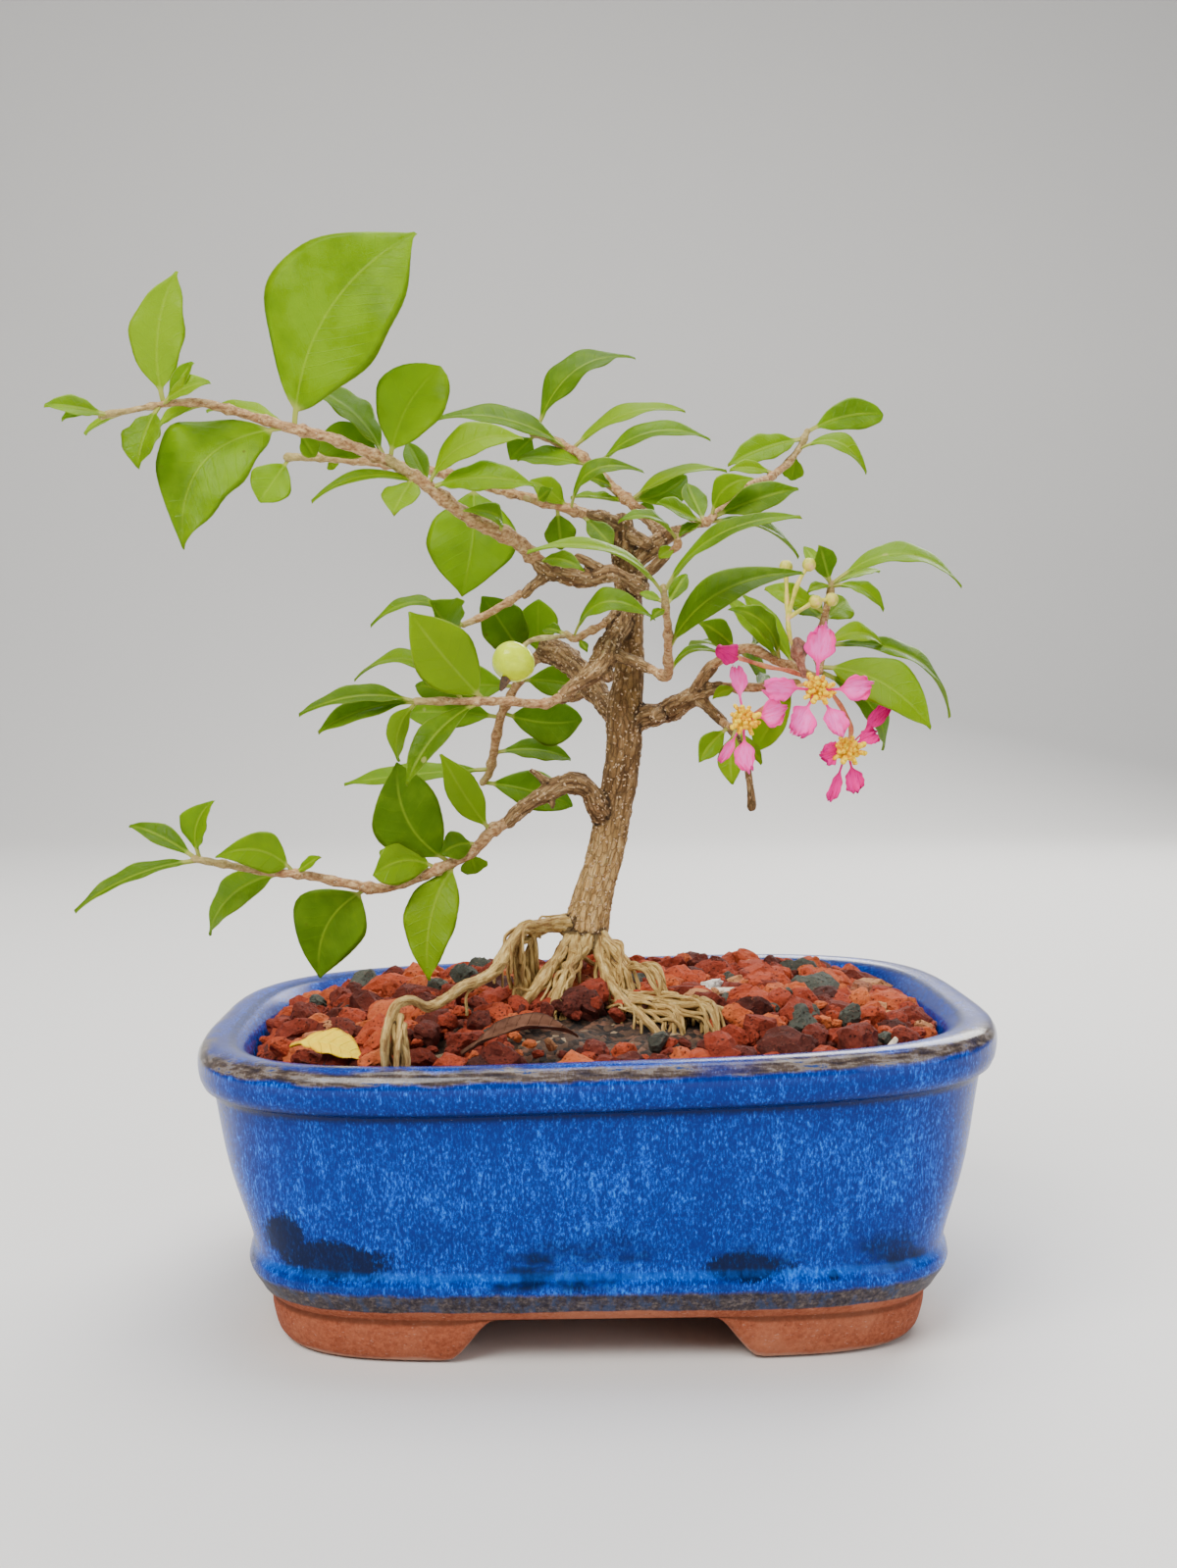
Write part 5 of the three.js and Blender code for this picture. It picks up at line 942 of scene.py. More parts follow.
def clay_and_glaze(settings):
    """Deep blue glaze with fine light flecks, brown where it breaks on edges, and bare clay."""
    tree, spot = new_material("blue_glaze")
    inset, height, outside = tree.split(tree.attribute("station"))
    outside = tree.smooth(outside, 0.45, 0.55)
    cloud = tree.noise(spot, 0.05)
    wander = tree.noise(spot, 0.12)
    runs = tree.noise(tree.scaled(spot, (1.0, 1.0, 0.16)), 0.5)
    flecks = tree.noise(tree.scaled(spot, (1.0, 1.0, 0.38)), 2.3, 3.0, 0.72)
    grain = tree.noise(spot, 1.1, 6.0, 0.7)

    # The glaze is darker under the rim's overhang, painted shade, and lighter over the body of the wall
    deep = tree.smooth(height + (cloud - 0.5) * 24, 38, 50)
    level = flecks + (runs - 0.5) * 0.3 + (cloud - 0.5) * 0.3 - deep * 0.05
    body = tree.ramp(level, [
        (0.38, settings.glaze_dark), (0.48, tuple(c * 0.5 for c in settings.glaze)), (0.56, settings.glaze),
        (0.65, settings.glaze_light), (0.78, (0.0, 0.28, 0.92)),
    ])

    # Dark smudges and spots low on the wall, and a light line where the glaze has pooled
    low = tree.smooth(height + (wander - 0.5) * 10, 29, 19) * tree.smooth(height, 14.5, 16.5)
    smudge = tree.noise(tree.scaled(spot, (1, 1, 2.0)), 0.055) + (flecks - 0.5) * 0.3
    smudge = tree.smooth(smudge, 0.5, 0.62) * low
    x, y, _ = tree.split(spot)
    for across, level_at, wide, tall in SMUDGES:
        gap = ((x - (across + ORIGIN.x / MM)) / wide) ** 2 + ((height - level_at) / tall) ** 2
        gap = gap + (wander - 0.5) * 2.2 + (flecks - 0.5) * 1.2
        smudge = tree.math("MAXIMUM", smudge, tree.smooth(gap, 1.1, 0.35) * tree.smooth(y, -20, -30))
    spots = tree.smooth(tree.cells(spot, 0.09), 0.12, 0.07) * tree.smooth(height, 31, 26)
    pool = tree.smooth(abs(height - LEDGE_HEIGHT + (wander - 0.5) * 1.6), 1.1, 0.2) * outside

    # Nearly black in the groove under the rim's band, the deep blue glaze darkened by painted shade in the
    # recess; olive-brown where the glaze breaks on its edge
    groove = tree.smooth(abs(height - GROOVE_HEIGHT), 1.7, 0.4) * outside
    edge = tree.smooth(abs(height - EDGE_HEIGHT + (wander - 0.5) * 2.6), 1.5, 0.7)
    edge = edge * tree.smooth(inset, 4.8, 3.6) * outside
    stripes = tree.noise(tree.scaled(spot, (0.5, 1, 3)), 0.35)
    grey = tree.ramp(stripes + (flecks - 0.5) * 0.25, [
        (0.36, (0.028, 0.020, 0.014)), (0.5, (0.085, 0.060, 0.038)), (0.6, (0.20, 0.165, 0.135)),
        (0.68, (0.03, 0.05, 0.13)), (0.8, (0.0, 0.05, 0.30)),
    ])
    patch = tree.smooth(tree.noise(spot, 0.028, 2.0, 0.5), 0.3, 0.48)
    breaking = edge * (0.25 + patch * 0.75)
    lip = tree.smooth(abs(inset - 6.6 + (wander - 0.5) * 1.5), 1.1, 0.4) * tree.smooth(height, 56.5, 57.5)

    # A band of burnt glaze over the ledge, and bare clay below it and under the pot
    foot_line = CLAY_LINE + (tree.noise(spot, 0.1) - 0.5) * 1.2
    bare = tree.smooth(height - foot_line, 0.2, -0.2)
    bare = tree.math("MAXIMUM", bare, tree.smooth(inset, 16.0, 16.6) * tree.smooth(height, 14.5, 13.5))
    burnt = tree.smooth(height + (wander - 0.5) * 1.6, 15.4, 14.2) * outside
    ash = tree.ramp(grain + (stripes - 0.5) * 0.4, [
        (0.34, (0.016, 0.012, 0.012)), (0.52, (0.055, 0.042, 0.036)), (0.68, (0.16, 0.125, 0.10)),
    ])
    ash = tree.blend(tree.smooth(runs, 0.5, 0.62) * 0.5, ash, (0.03, 0.06, 0.13))
    body = tree.layered(
        body,
        (smudge * 0.9, (0.0, 0.004, 0.022)),
        (spots * tree.smooth(cloud, 0.46, 0.52) * 0.85, (0.0, 0.004, 0.03)),
        (pool * (runs - 0.25) * (1.0 - smudge * 0.5), (0.008, 0.16, 0.80)),
        # painted shade in the groove under the rim
        (groove * 0.9, (0.0, 0.005, 0.05)),
        (breaking * 0.96, grey),
        (lip * 0.55, (0.02, 0.03, 0.06)),
        (burnt * 0.96, ash),
    )
    pits = tree.smooth(tree.cells(spot, 0.8), 0.16, 0.05) * tree.smooth(wander, 0.45, 0.6)
    clay = bare_clay(tree, spot, height, grain, cloud, wander, pits, settings.clay)
    colour = tree.blend(bare, body, clay)

    # Dust and fine pale scratches on the raised places, with a painted highlight along the wall just under
    # the groove
    dust_and_highlight = tree.smooth(tree.noise(tree.scaled(spot, (1, 1, 4)), 1.3, 4.0, 0.75), 0.66, 0.74)
    dust_and_highlight = dust_and_highlight * (tree.smooth(abs(height - 13), 5, 1) + tree.smooth(abs(height - 49), 3, 1)) * outside
    colour = tree.blend(dust_and_highlight * 0.4, colour, (0.5, 0.52, 0.55))

    gloss = 0.24 + (flecks - 0.5) * 0.2 - breaking * 0.08 + burnt * 0.2 + smudge * 0.1
    rough = tree.node("ShaderNodeMix", {0: bare, 2: gloss, 3: 0.8 + (grain - 0.5) * 0.2})
    relief = flecks * 0.06 + runs * 0.1
    height_map = tree.node("ShaderNodeMix", {0: bare, 2: relief, 3: grain * 0.3 - pits * 0.35})
    normal = tree.bump(height_map, 0.001, 0.6)
    rim = tree.smooth(height, 54, 56.5) * tree.smooth(inset, 8, 5)
    coat = (1.0 - bare) * (0.03 + rim * 0.3)
    surface = tree.skin(
        colour, rough, normal, Coat_Weight=coat, Coat_Roughness=0.1, Specular_IOR_Level=0.13
    )
    return tree.finished(surface)


def superellipse(tree, turn, height, half_length, half_depth):
    """Across and back from the middle of the pot's outline at a turn in radians and a height."""
    taper = tree.smooth(height, *TAPER_SPAN, 1.0, 0.0) ** 2
    cosine = tree.math("COSINE", turn)
    sine = tree.math("SINE", turn)
    power = OUTLINE_POWER + taper * TAPER_POWER
    total = (abs(cosine) / (half_length - taper * TAPER_INSET)) ** power + (abs(sine) / half_depth) ** power
    reach = total ** (-1.0 / power)
    return cosine * reach, sine * reach


def profile_object():
    """The pot's profile, close-set and smooth, as a line of points [inset, height, share]."""
    knots = [[*row, 0.0] for row in POT_PROFILE]
    line = smooth_path(knots, 1.15)[:, :3]
    line[:, 2] = np.clip(line[:, 2], 0, 1)
    line[:, 1] = np.maximum(line[:, 1], 0)
    mesh = bpy.data.meshes.new("pot_profile")
    mesh.from_pydata(line.tolist(), [(k, k + 1) for k in range(len(line) - 1)], [])
    return new_object("pot_profile", mesh)


def pot_tree(rows, material):
    """Wraps the profile round a superellipse, drops the feet, tilts the rim and cuts the drain holes."""
    tree, inputs = geometry_tree("pot_wall", {
        "Profile": "Object", "Half length": "Float", "Half depth": "Float",
        "Steps around": "Int", "Drain radius": "Float",
    })
    steps = inputs["Steps around"] + 1
    sheet = tree.geo("MeshGrid", Size_X=1.0, Size_Y=1.0, Vertices_X=steps, Vertices_Y=rows)
    position = tree.geo("InputPosition")
    place_x, place_y, _ = tree.split(position)
    turn = (place_x + 0.5) * (2 * math.pi) + math.pi / 2
    row = tree.math("ROUND", (place_y + 0.5) * (rows - 1))
    profile = tree.from_object(inputs["Profile"])
    kind = {"data_type": "FLOAT_VECTOR", "domain": "POINT"}
    picked = tree.geo("SampleIndex", 0, kind, Geometry=profile, Value=position, Index=row)
    inset, height, share = tree.split(picked)
    half_length = inputs["Half length"] - inset
    across, back = superellipse(tree, turn, height, half_length, inputs["Half depth"] - inset)
    across = across * share
    back = back * share
    foot_x = tree.smooth(abs(across), *FOOT_FRONT_SPAN)
    foot_y = tree.smooth(abs(back), *FOOT_SIDE_SPAN)
    drop = tree.math("MAXIMUM", UNDERSIDE_HEIGHT - height, 0.0)
    raised = height + drop * (1.0 - foot_x * foot_y)
    slope = across * RIM_SLOPE * tree.smooth(height, UNDERSIDE_HEIGHT, RIM_HEIGHT)
    wobble = tree.noise(tree.join(across, back, height * 0.7), 0.022, 2.0, 0.5) - 0.5
    wobble = 1.0 + wobble * tree.smooth(height, 12, 30) * tree.smooth(inset, 12, 8) * 0.011
    station = tree.join(inset, height, tree.math("LESS_THAN", row, float(rows) * 0.62))
    wall = tree.named(sheet, "station", station)
    spot = tree.join(across * wobble, back * wobble, raised + slope)
    wall = tree.geo("SetPosition", Geometry=wall, Position=spot)
    wall = tree.geo("MergeByDistance", Geometry=wall, Distance=0.01)
    for side in (-1, 1):
        drill = tree.geo("MeshCylinder", Vertices=48, Radius=inputs["Drain radius"], Depth=DRILL_DEPTH)
        spot = (side * DRAIN_SPACING / 2, 0.0, DRILL_HEIGHT)
        drill = tree.geo("Transform", Geometry=drill, Translation=spot)
        kind = {"operation": "DIFFERENCE", "solver": "MANIFOLD"}
        wall = tree.geo("MeshBoolean", 0, kind, Mesh_1=wall, Mesh_2=drill)
    wall = tree.geo("Transform", Geometry=wall, Translation=tuple(ORIGIN), Scale=(MM, MM, MM))
    return tree.grown(wall, material)


class BONSAI_OT_pot(PieceOperator):
    """Build the glazed pot on its four clay feet"""

    bl_idname = "bonsai.pot"
    bl_label = "Glazed Pot"

    def execute(self, context):
        settings = context.scene.bonsai_pot
        profile = profile_object()
        tree = pot_tree(len(profile.data.vertices), clay_and_glaze(settings))
        mesh = grown_mesh("glazed_bowl", tree, {
            "Profile": profile,
            "Half length": settings.length / MM / 2,
            "Half depth": settings.depth / MM / 2,
            "Steps around": settings.steps_around,
            "Drain radius": settings.drain_radius / MM,
        })
        bpy.data.objects.remove(profile)
        mesh.shade_smooth()
        keep(new_object("glazed_bowl", mesh), "glazed_pot", "pot")
        return {"FINISHED"}


# The gravel bed and the soil under it

# Each layer of stones is [spacing in stone gaps, least size, greatest size, height over the bed]
STONE_LAYERS = [[1.3, 0.9, 1.35, -0.8], [0.95, 0.45, 0.85, 1.2], [0.55, 0.2, 0.4, 0.6]]
STONE_TRIES = 9000
STONE_SPAN = (71, 55)
STONE_KINDS = 7
STONE_TILT = 0.7
SHEET_THICKNESS = 2.2


def outline_share(x, y, half_x=BED_HALF_LENGTH, half_y=BED_HALF_DEPTH):
    """How far out a place is from the middle of the pot, 1 on an outline of this half length and depth."""
    return ((abs(x) / half_x) ** OUTLINE_POWER + (abs(y) / half_y) ** OUTLINE_POWER) ** (1 / OUTLINE_POWER)


def bed_height(x, y):
    """Height of the bed in millimetres, mounded towards the middle, at a place from the pot's middle."""
    return BED_EDGE_HEIGHT + BED_MOUND * (1 - min(outline_share(x, y), 1) ** 3) + RIM_SLOPE * x


def in_patch(x, y, grow=0.0):
    """How far a place is into the bare soil in front of the roots: under 1 inside, over 1 outside."""
    patch_x, patch_y, wide, deep = SOIL_PATCH
    return math.hypot((x - patch_x) / (wide + grow), (y - patch_y) / (deep + grow))


def bed_sheet(name, drop, rings, bumps, seed):
    """A grid over the pot's mouth that follows the bed, with its underside closed."""
    half_x = POT_LENGTH / 2 - INNER_INSET - 0.6
    half_y = POT_DEPTH / 2 - INNER_INSET - 0.6
    around = rings * 5
    points = [(0, 0, bed_height(0, 0) - drop)]
    for ring in range(1, rings + 1):
        share = (ring / rings) ** 0.8
        for k in range(around):
            turn = 2 * math.pi * k / around
            cosine, sine = math.cos(turn), math.sin(turn)
            reach = share / outline_share(cosine, sine, half_x, half_y)
            x, y = reach * cosine, reach * sine
            lump = sum(noise.noise(Vector((x * f, y * f, seed))) * size for f, size in bumps)
            points.append((x, y, bed_height(x, y) - drop + lump))
    points += [(x, y, z - SHEET_THICKNESS) for x, y, z in points[-around:]]
    points.append((0, 0, BED_EDGE_HEIGHT - 4))
    faces = [(0, 1 + k, 1 + (k + 1) % around) for k in range(around)]
    faces += [q[::-1] for q in grid_faces(rings, around, closed=True, start=1)]
    edge, bottom = 1 + (rings - 1) * around, 1 + rings * around
    for k in range(around):
        after = (k + 1) % around
        faces.append((edge + k, bottom + k, bottom + after, edge + after))
        faces.append((bottom + k, len(points) - 1, bottom + after))
    mesh = bpy.data.meshes.new(name)
    mesh.from_pydata([tuple(Vector(p) * MM + ORIGIN) for p in points], [], faces)
    return mesh


def soil_material():
    """Dark, damp potting mix with bits of bark and grit."""
    tree, spot = new_material("potting_mix")
    crumbs = tree.cells(spot, 0.75, output="Color")
    lump = tree.cells(spot, 0.75)
    tone, kind, _ = tree.split(crumbs)
    fine = tree.noise(spot, 2.2, 5.0, 0.7)
    colour = tree.ramp(tone + (fine - 0.5) * 0.5, [
        (0.2, (0.010, 0.006, 0.004)), (0.5, (0.035, 0.018, 0.010)), (0.8, (0.085, 0.042, 0.022)),
    ])
    colour = tree.layered(
        colour,
        (tree.smooth(kind, 0.84, 0.9) * 0.8, (0.20, 0.085, 0.045)),
        (tree.smooth(kind, 0.05, 0.02), (0.34, 0.24, 0.14)),
    )
    normal = tree.bump(fine * 0.4 - lump * 0.8, 0.0012, 0.9)
    return tree.finished(tree.skin(colour, 0.72 + fine * 0.2, normal))


def lava_material():
    """Rough, pitted lava: brick and orange-red, some maroon, a few grey-green or ochre stones."""
    tree, spot = new_material("lava_stone")
    tone, kind, _ = tree.split(tree.attribute("stone_tone"))
    fine = tree.noise(spot, 1.5, 5.0, 0.72)
    mottle = tree.noise(spot, 0.35)
    pores = tree.cells(tree.vector("ADD", spot, tree.join(fine, mottle, fine)), 1.0)
    pits = tree.smooth(pores, 0.26, 0.1) * tree.smooth(mottle, 0.36, 0.5)
    small = tree.smooth(tree.cells(spot, 2.3), 0.3, 0.12)
    colour = tree.ramp(tone * 0.85 + mottle * 0.3 - 0.08, [
        (0.06, (0.050, 0.012, 0.008)), (0.28, (0.15, 0.020, 0.009)), (0.5, (0.29, 0.036, 0.013)),
        (0.74, (0.42, 0.062, 0.018)), (0.96, (0.60, 0.155, 0.04)),
    ])
    colour = tree.layered(
        colour,
        (tree.smooth(kind, 0.07, 0.06), tree.blend(mottle, (0.03, 0.035, 0.03), (0.11, 0.12, 0.09))),
        (tree.smooth(kind, 0.965, 0.97), (0.50, 0.22, 0.09)),
        (tree.smooth(fine, 0.56, 0.74) * 0.35, (0.66, 0.20, 0.10)),
        (pits * 0.75 + small * 0.2, (0.035, 0.007, 0.004)),
    )
    relief = fine * 0.45 - pits * 0.9 - small * 0.35 + mottle * 0.4
    normal = tree.bump(relief, 0.0011, 0.95)
    return tree.finished(tree.skin(colour, 0.86 + (fine - 0.5) * 0.2, normal, Specular_IOR_Level=0.3))


def stone_shape(name, seed, levels, cuts, rough):
    """One broken stone: a ball cut flat at random, then roughened and pitted."""
    chance = random.Random(seed)
    made = bmesh.new()
    bmesh.ops.create_icosphere(made, subdivisions=levels, radius=1.0)
    stretch = Vector((1.0, chance.uniform(0.72, 1.0), chance.uniform(0.6, 0.85)))
    planes = []
    for _ in range(cuts):
        way = Vector([chance.gauss(0, 1) for _ in range(3)]).normalized()
        planes.append((way, chance.uniform(0.5, 0.86)))
    offset = Vector((seed * 3.1, seed * 1.7, 0))
    for vertex in made.verts:
        spot = vertex.co.copy()
        for way, reach in planes:
            beyond = spot.dot(way) - reach
            if beyond > 0:
                spot -= way * beyond * 0.94
        coarse = noise.noise(spot * 1.8 + offset)
        small = noise.noise(spot * 4.6 + offset)
        pit = min(0.0, noise.noise(spot * 6.5 + offset * 2) + 0.12)
        spot *= 1 + coarse * 0.16 * rough + small * 0.13 * rough + pit * 0.35 * rough
        vertex.co = Vector((spot.x * stretch.x, spot.y * stretch.y, spot.z * stretch.z))
    mesh = bpy.data.meshes.new(name)
    made.to_mesh(mesh)
    made.free()
    return mesh


def gravel_tree():
    """Lays stones of a collection on the bed's places, at random turns."""
    tree, inputs = geometry_tree("gravel", {
        "Places": "Object", "Stones": "Collection", "Stone size": "Float", "Seed": "Int",
        "Material": "Material",
    })
    seed = inputs["Seed"]
    places = tree.geo("MeshToPoints", Mesh=tree.from_object(inputs["Places"]))
    tones = (tree.chance(0.0, 1.0, seed + k) for k in (3, 4, 5))
    places = tree.named(places, "stone_tone", tree.join(*tones))
    stones = tree.geo(
        "CollectionInfo", Collection=inputs["Stones"], Separate_Children=True, Reset_Children=True
    )
    laid = tree.geo(
        "InstanceOnPoints",
        Points=places,
        Instance=stones,
        Pick_Instance=True,
        Instance_Index=tree.chance(0, STONE_KINDS - 1, seed + 2, "INT"),
        Rotation=tree.chance(
            (-STONE_TILT, -STONE_TILT, 0.0), (STONE_TILT, STONE_TILT, 2 * math.pi), seed, "FLOAT_VECTOR"
        ),
        Scale=tree.geo("InputNamedAttribute", Name="size") * inputs["Stone size"] / 2,
    )
    return tree.grown(laid, inputs["Material"])


def near_roots(spot, roots):
    """How far a place is from the nearest root's bark, in metres."""
    return (np.linalg.norm(roots[:, :3] - spot, axis=1) - roots[:, 3]).min()


def stone_places(settings):
    """Where the stones lie: loose layers over the bed, none on the bare soil or in the roots."""
    chance = random.Random(settings.seed)
    paths = [*ROOTS, BRANCHES[0][:2]]
    roots = np.vstack([smooth_path(placed(path), 1.5 * MM) for path in paths])
    laid = []
    for gaps, least, most, lift in STONE_LAYERS:
        spacing = settings.stone_gap / MM * gaps
        kept = []
        for _ in range(STONE_TRIES):
            x, y = (chance.uniform(-reach, reach) for reach in STONE_SPAN)
            size = chance.uniform(least, most)
            radius = size * settings.stone_size / MM / 2
            margin = 2 if size > 0.5 else -2.5
            if outline_share(x, y) > 1 - radius * 0.62 / 56 or in_patch(x, y, margin) < 1:
                continue
            if any((x - a) ** 2 + (y - b) ** 2 < (spacing * (0.75 + 0.35 * size)) ** 2 for a, b in kept):
                continue
            z = bed_height(x, y) + lift + chance.uniform(-0.8, 1.2)
            spot = np.array(Vector((x, y, z)) * MM + ORIGIN)
            room = near_roots(spot, roots) / MM
            if room < 0.25 * radius:
                continue
            kept.append((x, y))
            laid.append((*spot, min(size, max(0.3, (room + radius * 0.35) * 2 * MM / settings.stone_size))))
    mesh = bpy.data.meshes.new("stone_places")
    mesh.from_pydata([row[:3] for row in laid], [], [])
    store(mesh, "size", [row[3] for row in laid])
    return mesh


class BONSAI_OT_bed(PieceOperator):
    """Build the potting mix and the lava stones on it"""

    bl_idname = "bonsai.bed"
    bl_label = "Soil and Lava Stones"

    def execute(self, context):
        settings = context.scene.bonsai_bed
        soil = bed_sheet("potting_mix", 1.6, 34, ((0.12, 1.6), (0.5, 0.8), (1.4, 0.5)), 3.0)
        soil.shade_smooth()
        keep(new_object("potting_mix", soil, soil_material()), "potting_mix", "soil")

        stones = bpy.data.collections.new("stones")
        made = []
        for k in range(STONE_KINDS):
            name = f"stone_{k}"
            made.append(new_object(name, stone_shape(name, k + 1, 3, 5 + k % 3, 1.0)))
        for stone in made:
            context.scene.collection.objects.unlink(stone)
            stones.objects.link(stone)
        places = new_object("stone_places", stone_places(settings))
        gravel = grown_mesh("lava_stones", gravel_tree(), {
            "Places": places,
            "Stones": stones,
            "Stone size": settings.stone_size,
            "Seed": settings.seed,
            "Material": lava_material(),
        })
        bpy.data.objects.remove(places)
        for stone in made:
            bpy.data.objects.remove(stone)
        bpy.data.collections.remove(stones)
        keep(new_object("lava_stones", gravel), "lava_gravel", "gravel")
        return {"FINISHED"}


# The wood: trunk, branches and bare roots in one skin


# Steps along a limb in millimetres, points handled at a time, and rounds that even out a crevice
LIMB_STEP = 0.8
BATCH = 20000
EVEN_ROUNDS = 14


def trunk_swell(turns, along):
    flutes = 0.05 * np.cos(3 * turns + along * 0.02) + 0.035 * np.cos(5 * turns + 1.3 + along * 0.05)
    return 1 + flutes * min(1.0, along / 25)


def root_swell(turns, along):
    return 1 + 0.12 * np.cos(2 * turns + along * 0.09) + 0.06 * np.cos(5 * turns - along * 0.16)


def limb_swell(turns, along):
    knots = 0.07 * math.sin(along * 0.9) + 0.06 * math.sin(along * 0.37 + 1)
    return 1 + knots + 0.05 * np.cos(3 * turns + along * 0.2)


def skeleton():
    """Each limb's smooth path, its kind (0 trunk, 1 branch, 2 root) and the way along it at each place."""
    found = []
    for k, limb in enumerate(BRANCHES + ROOTS):
        path = smooth_path(placed(limb), LIMB_STEP * MM)
        steps = np.linalg.norm(np.diff(path[:, :3], axis=0), axis=1)
        kind = 0 if k == 0 else 1 if k < len(BRANCHES) else 2
        found.append((path, kind, np.concatenate([[0], np.cumsum(steps)]) / MM))
    return found


def near_limb(points, limbs):
    """For each point: the limb it lies on, the place along it, how it turns about it, and its radius."""
    count = len(points)
    best = np.full(count, 1e9)
    values = {name: np.zeros(count) for name in ("kind", "along", "turn", "radius")}
    for path, kind, lengths in limbs:
        ahead = directions(path[:, :3])
        for start in range(0, count, BATCH):
            part = slice(start, start + BATCH)
            apart = np.linalg.norm(points[part, None] - path[None, :, :3], axis=2)
            nearest = apart.argmin(axis=1)
            gap = apart[np.arange(len(nearest)), nearest] / path[nearest, 3]
            better = gap < best[part]
            rows = np.flatnonzero(better) + start
            chosen = nearest[better]
            best[rows] = gap[better]
            out = points[rows] - path[chosen, :3]
            along = ahead[chosen]
            side = np.cross(along, [0.0, -1.0, 0.3])
            side /= np.linalg.norm(side, axis=1, keepdims=True)
            beside = np.cross(along, side)
            values["kind"][rows] = kind
            values["along"][rows] = lengths[chosen]
            values["turn"][rows] = np.arctan2((out * beside).sum(1), (out * side).sum(1))
            values["radius"][rows] = path[chosen, 3] / MM
    return values


def bark_material(settings):
    """Grey-tan at the trunk's foot, brown and streaked above, pinkish on branches, straw on roots, with
    painted shade in the crevices where limbs and roots join.
    """
    tree, spot = new_material("bark")
    kind, _, _ = tree.split(tree.attribute("limb"))
    wrap = tree.attribute("wrap")
    x, y, z = tree.split(wrap)
    grain_place = tree.join(x, y, z * 0.16)
    grain = tree.noise(grain_place, 1.25, 5.0, 0.68)
    fibre = tree.noise(tree.join(x, y, z * 0.09), 3.1, 4.0, 0.7)
    mottle = tree.noise(spot, 0.16)
    fine = tree.noise(spot, 2.6, 5.0, 0.72)
    crust = tree.cells(tree.join(x, y, z * 0.4), 0.9, feature="DISTANCE_TO_EDGE")
    _, _, up = tree.split(spot)

    is_root = tree.smooth(kind, 1.4, 1.6)
    is_branch = tree.smooth(kind, 0.4, 0.6) * (1.0 - is_root)
    foot = tree.smooth(up + (mottle - 0.5) * 22, 108, 84)
    trunk = tree.ramp(grain, [
        (0.26, (0.055, 0.024, 0.007)), (0.42, (0.165, 0.080, 0.024)), (0.56, (0.30, 0.165, 0.058)),
        (0.74, (0.52, 0.33, 0.15)),
    ])
    pale = tree.ramp(grain, [
        (0.26, (0.20, 0.10, 0.030)), (0.42, (0.50, 0.29, 0.095)), (0.58, (0.76, 0.50, 0.20)),
        (0.74, (0.90, 0.70, 0.38)),
    ])
    trunk = tree.blend(foot * 0.9, trunk, pale)
    trunk = tree.blend(tree.smooth(mottle, 0.52, 0.7) * 0.35, trunk, settings.bark_pale)
    branch = tree.ramp(grain, [
        (0.25, (0.040, 0.018, 0.006)), (0.4, (0.16, 0.080, 0.028)), (0.54, (0.36, 0.21, 0.082)),
        (0.72, (0.70, 0.50, 0.26)),
    ])
    branch = tree.blend(tree.smooth(mottle, 0.5, 0.68) * 0.3, branch, (0.36, 0.16, 0.065))
    root = tree.ramp(grain, [
        (0.24, (0.08, 0.034, 0.008)), (0.4, (0.30, 0.16, 0.042)), (0.54, (0.62, 0.42, 0.13)),
        (0.7, (0.90, 0.72, 0.34)),
    ])
    root = tree.layered(
        root,
        (tree.smooth(mottle, 0.5, 0.72) * 0.45, (0.28, 0.15, 0.05)),
        (tree.smooth(up, 64, 56) * 0.4, (0.32, 0.18, 0.07)),
    )
    colour = tree.blend(is_branch, trunk, branch)
    # Painted shade, darkest deep in the crevices where limbs and roots join
    crevice_shade = tree.smooth(tree.attribute("crevice_shade", output="Fac"), 0.02, 0.16)
    cracks = tree.smooth(crust + (fine - 0.5) * 0.08, 0.1, 0.02) * (1.0 - is_root * 0.75)
    dark_fibre = tree.smooth(fibre, 0.42, 0.3)
    flakes = tree.smooth(fine + (grain - 0.5) * 0.4, 0.6, 0.72)
    lichen = tree.smooth(tree.noise(spot, 0.34), 0.64, 0.72) * (1.0 - is_root)
    colour = tree.layered(
        colour,
        (is_root, root),
        (crevice_shade * 0.8, (0.035, 0.015, 0.006)),
        (cracks * 0.4, (0.05, 0.022, 0.008)),
        (dark_fibre * 0.6, (0.06, 0.028, 0.011)),
        (flakes * 0.35, (0.78, 0.60, 0.38)),
        (lichen * 0.22, (0.34, 0.36, 0.14)),
    )

    relief = grain * 0.5 + fibre * 0.28 + fine * 0.2 - cracks * 0.35
    normal = tree.bump(relief, 0.0009, 0.9)
    surface = tree.skin(colour, 0.78 + (fine - 0.5) * 0.3, normal, Specular_IOR_Level=0.35)
    return tree.finished(surface)


def joined_limbs(limbs, voxel):
    """One closed skin over all limbs."""
    shell = Shell()
    swells = (trunk_swell, limb_swell, root_swell)
    for path, kind, _ in limbs:
        sides = 40 if kind == 0 else 20
        points, faces, _ = tube(path, sides, swells[kind])
        shell.add(points, faces)
    made = new_object("wood_skin", shell.mesh("wood_skin"))
    remesh = made.modifiers.new("join", "REMESH")
    remesh.mode = "VOXEL"
    remesh.voxel_size = voxel
    soften = made.modifiers.new("soften", "SMOOTH")
    soften.factor = 0.5
    soften.iterations = 2
    return plain_mesh(made)


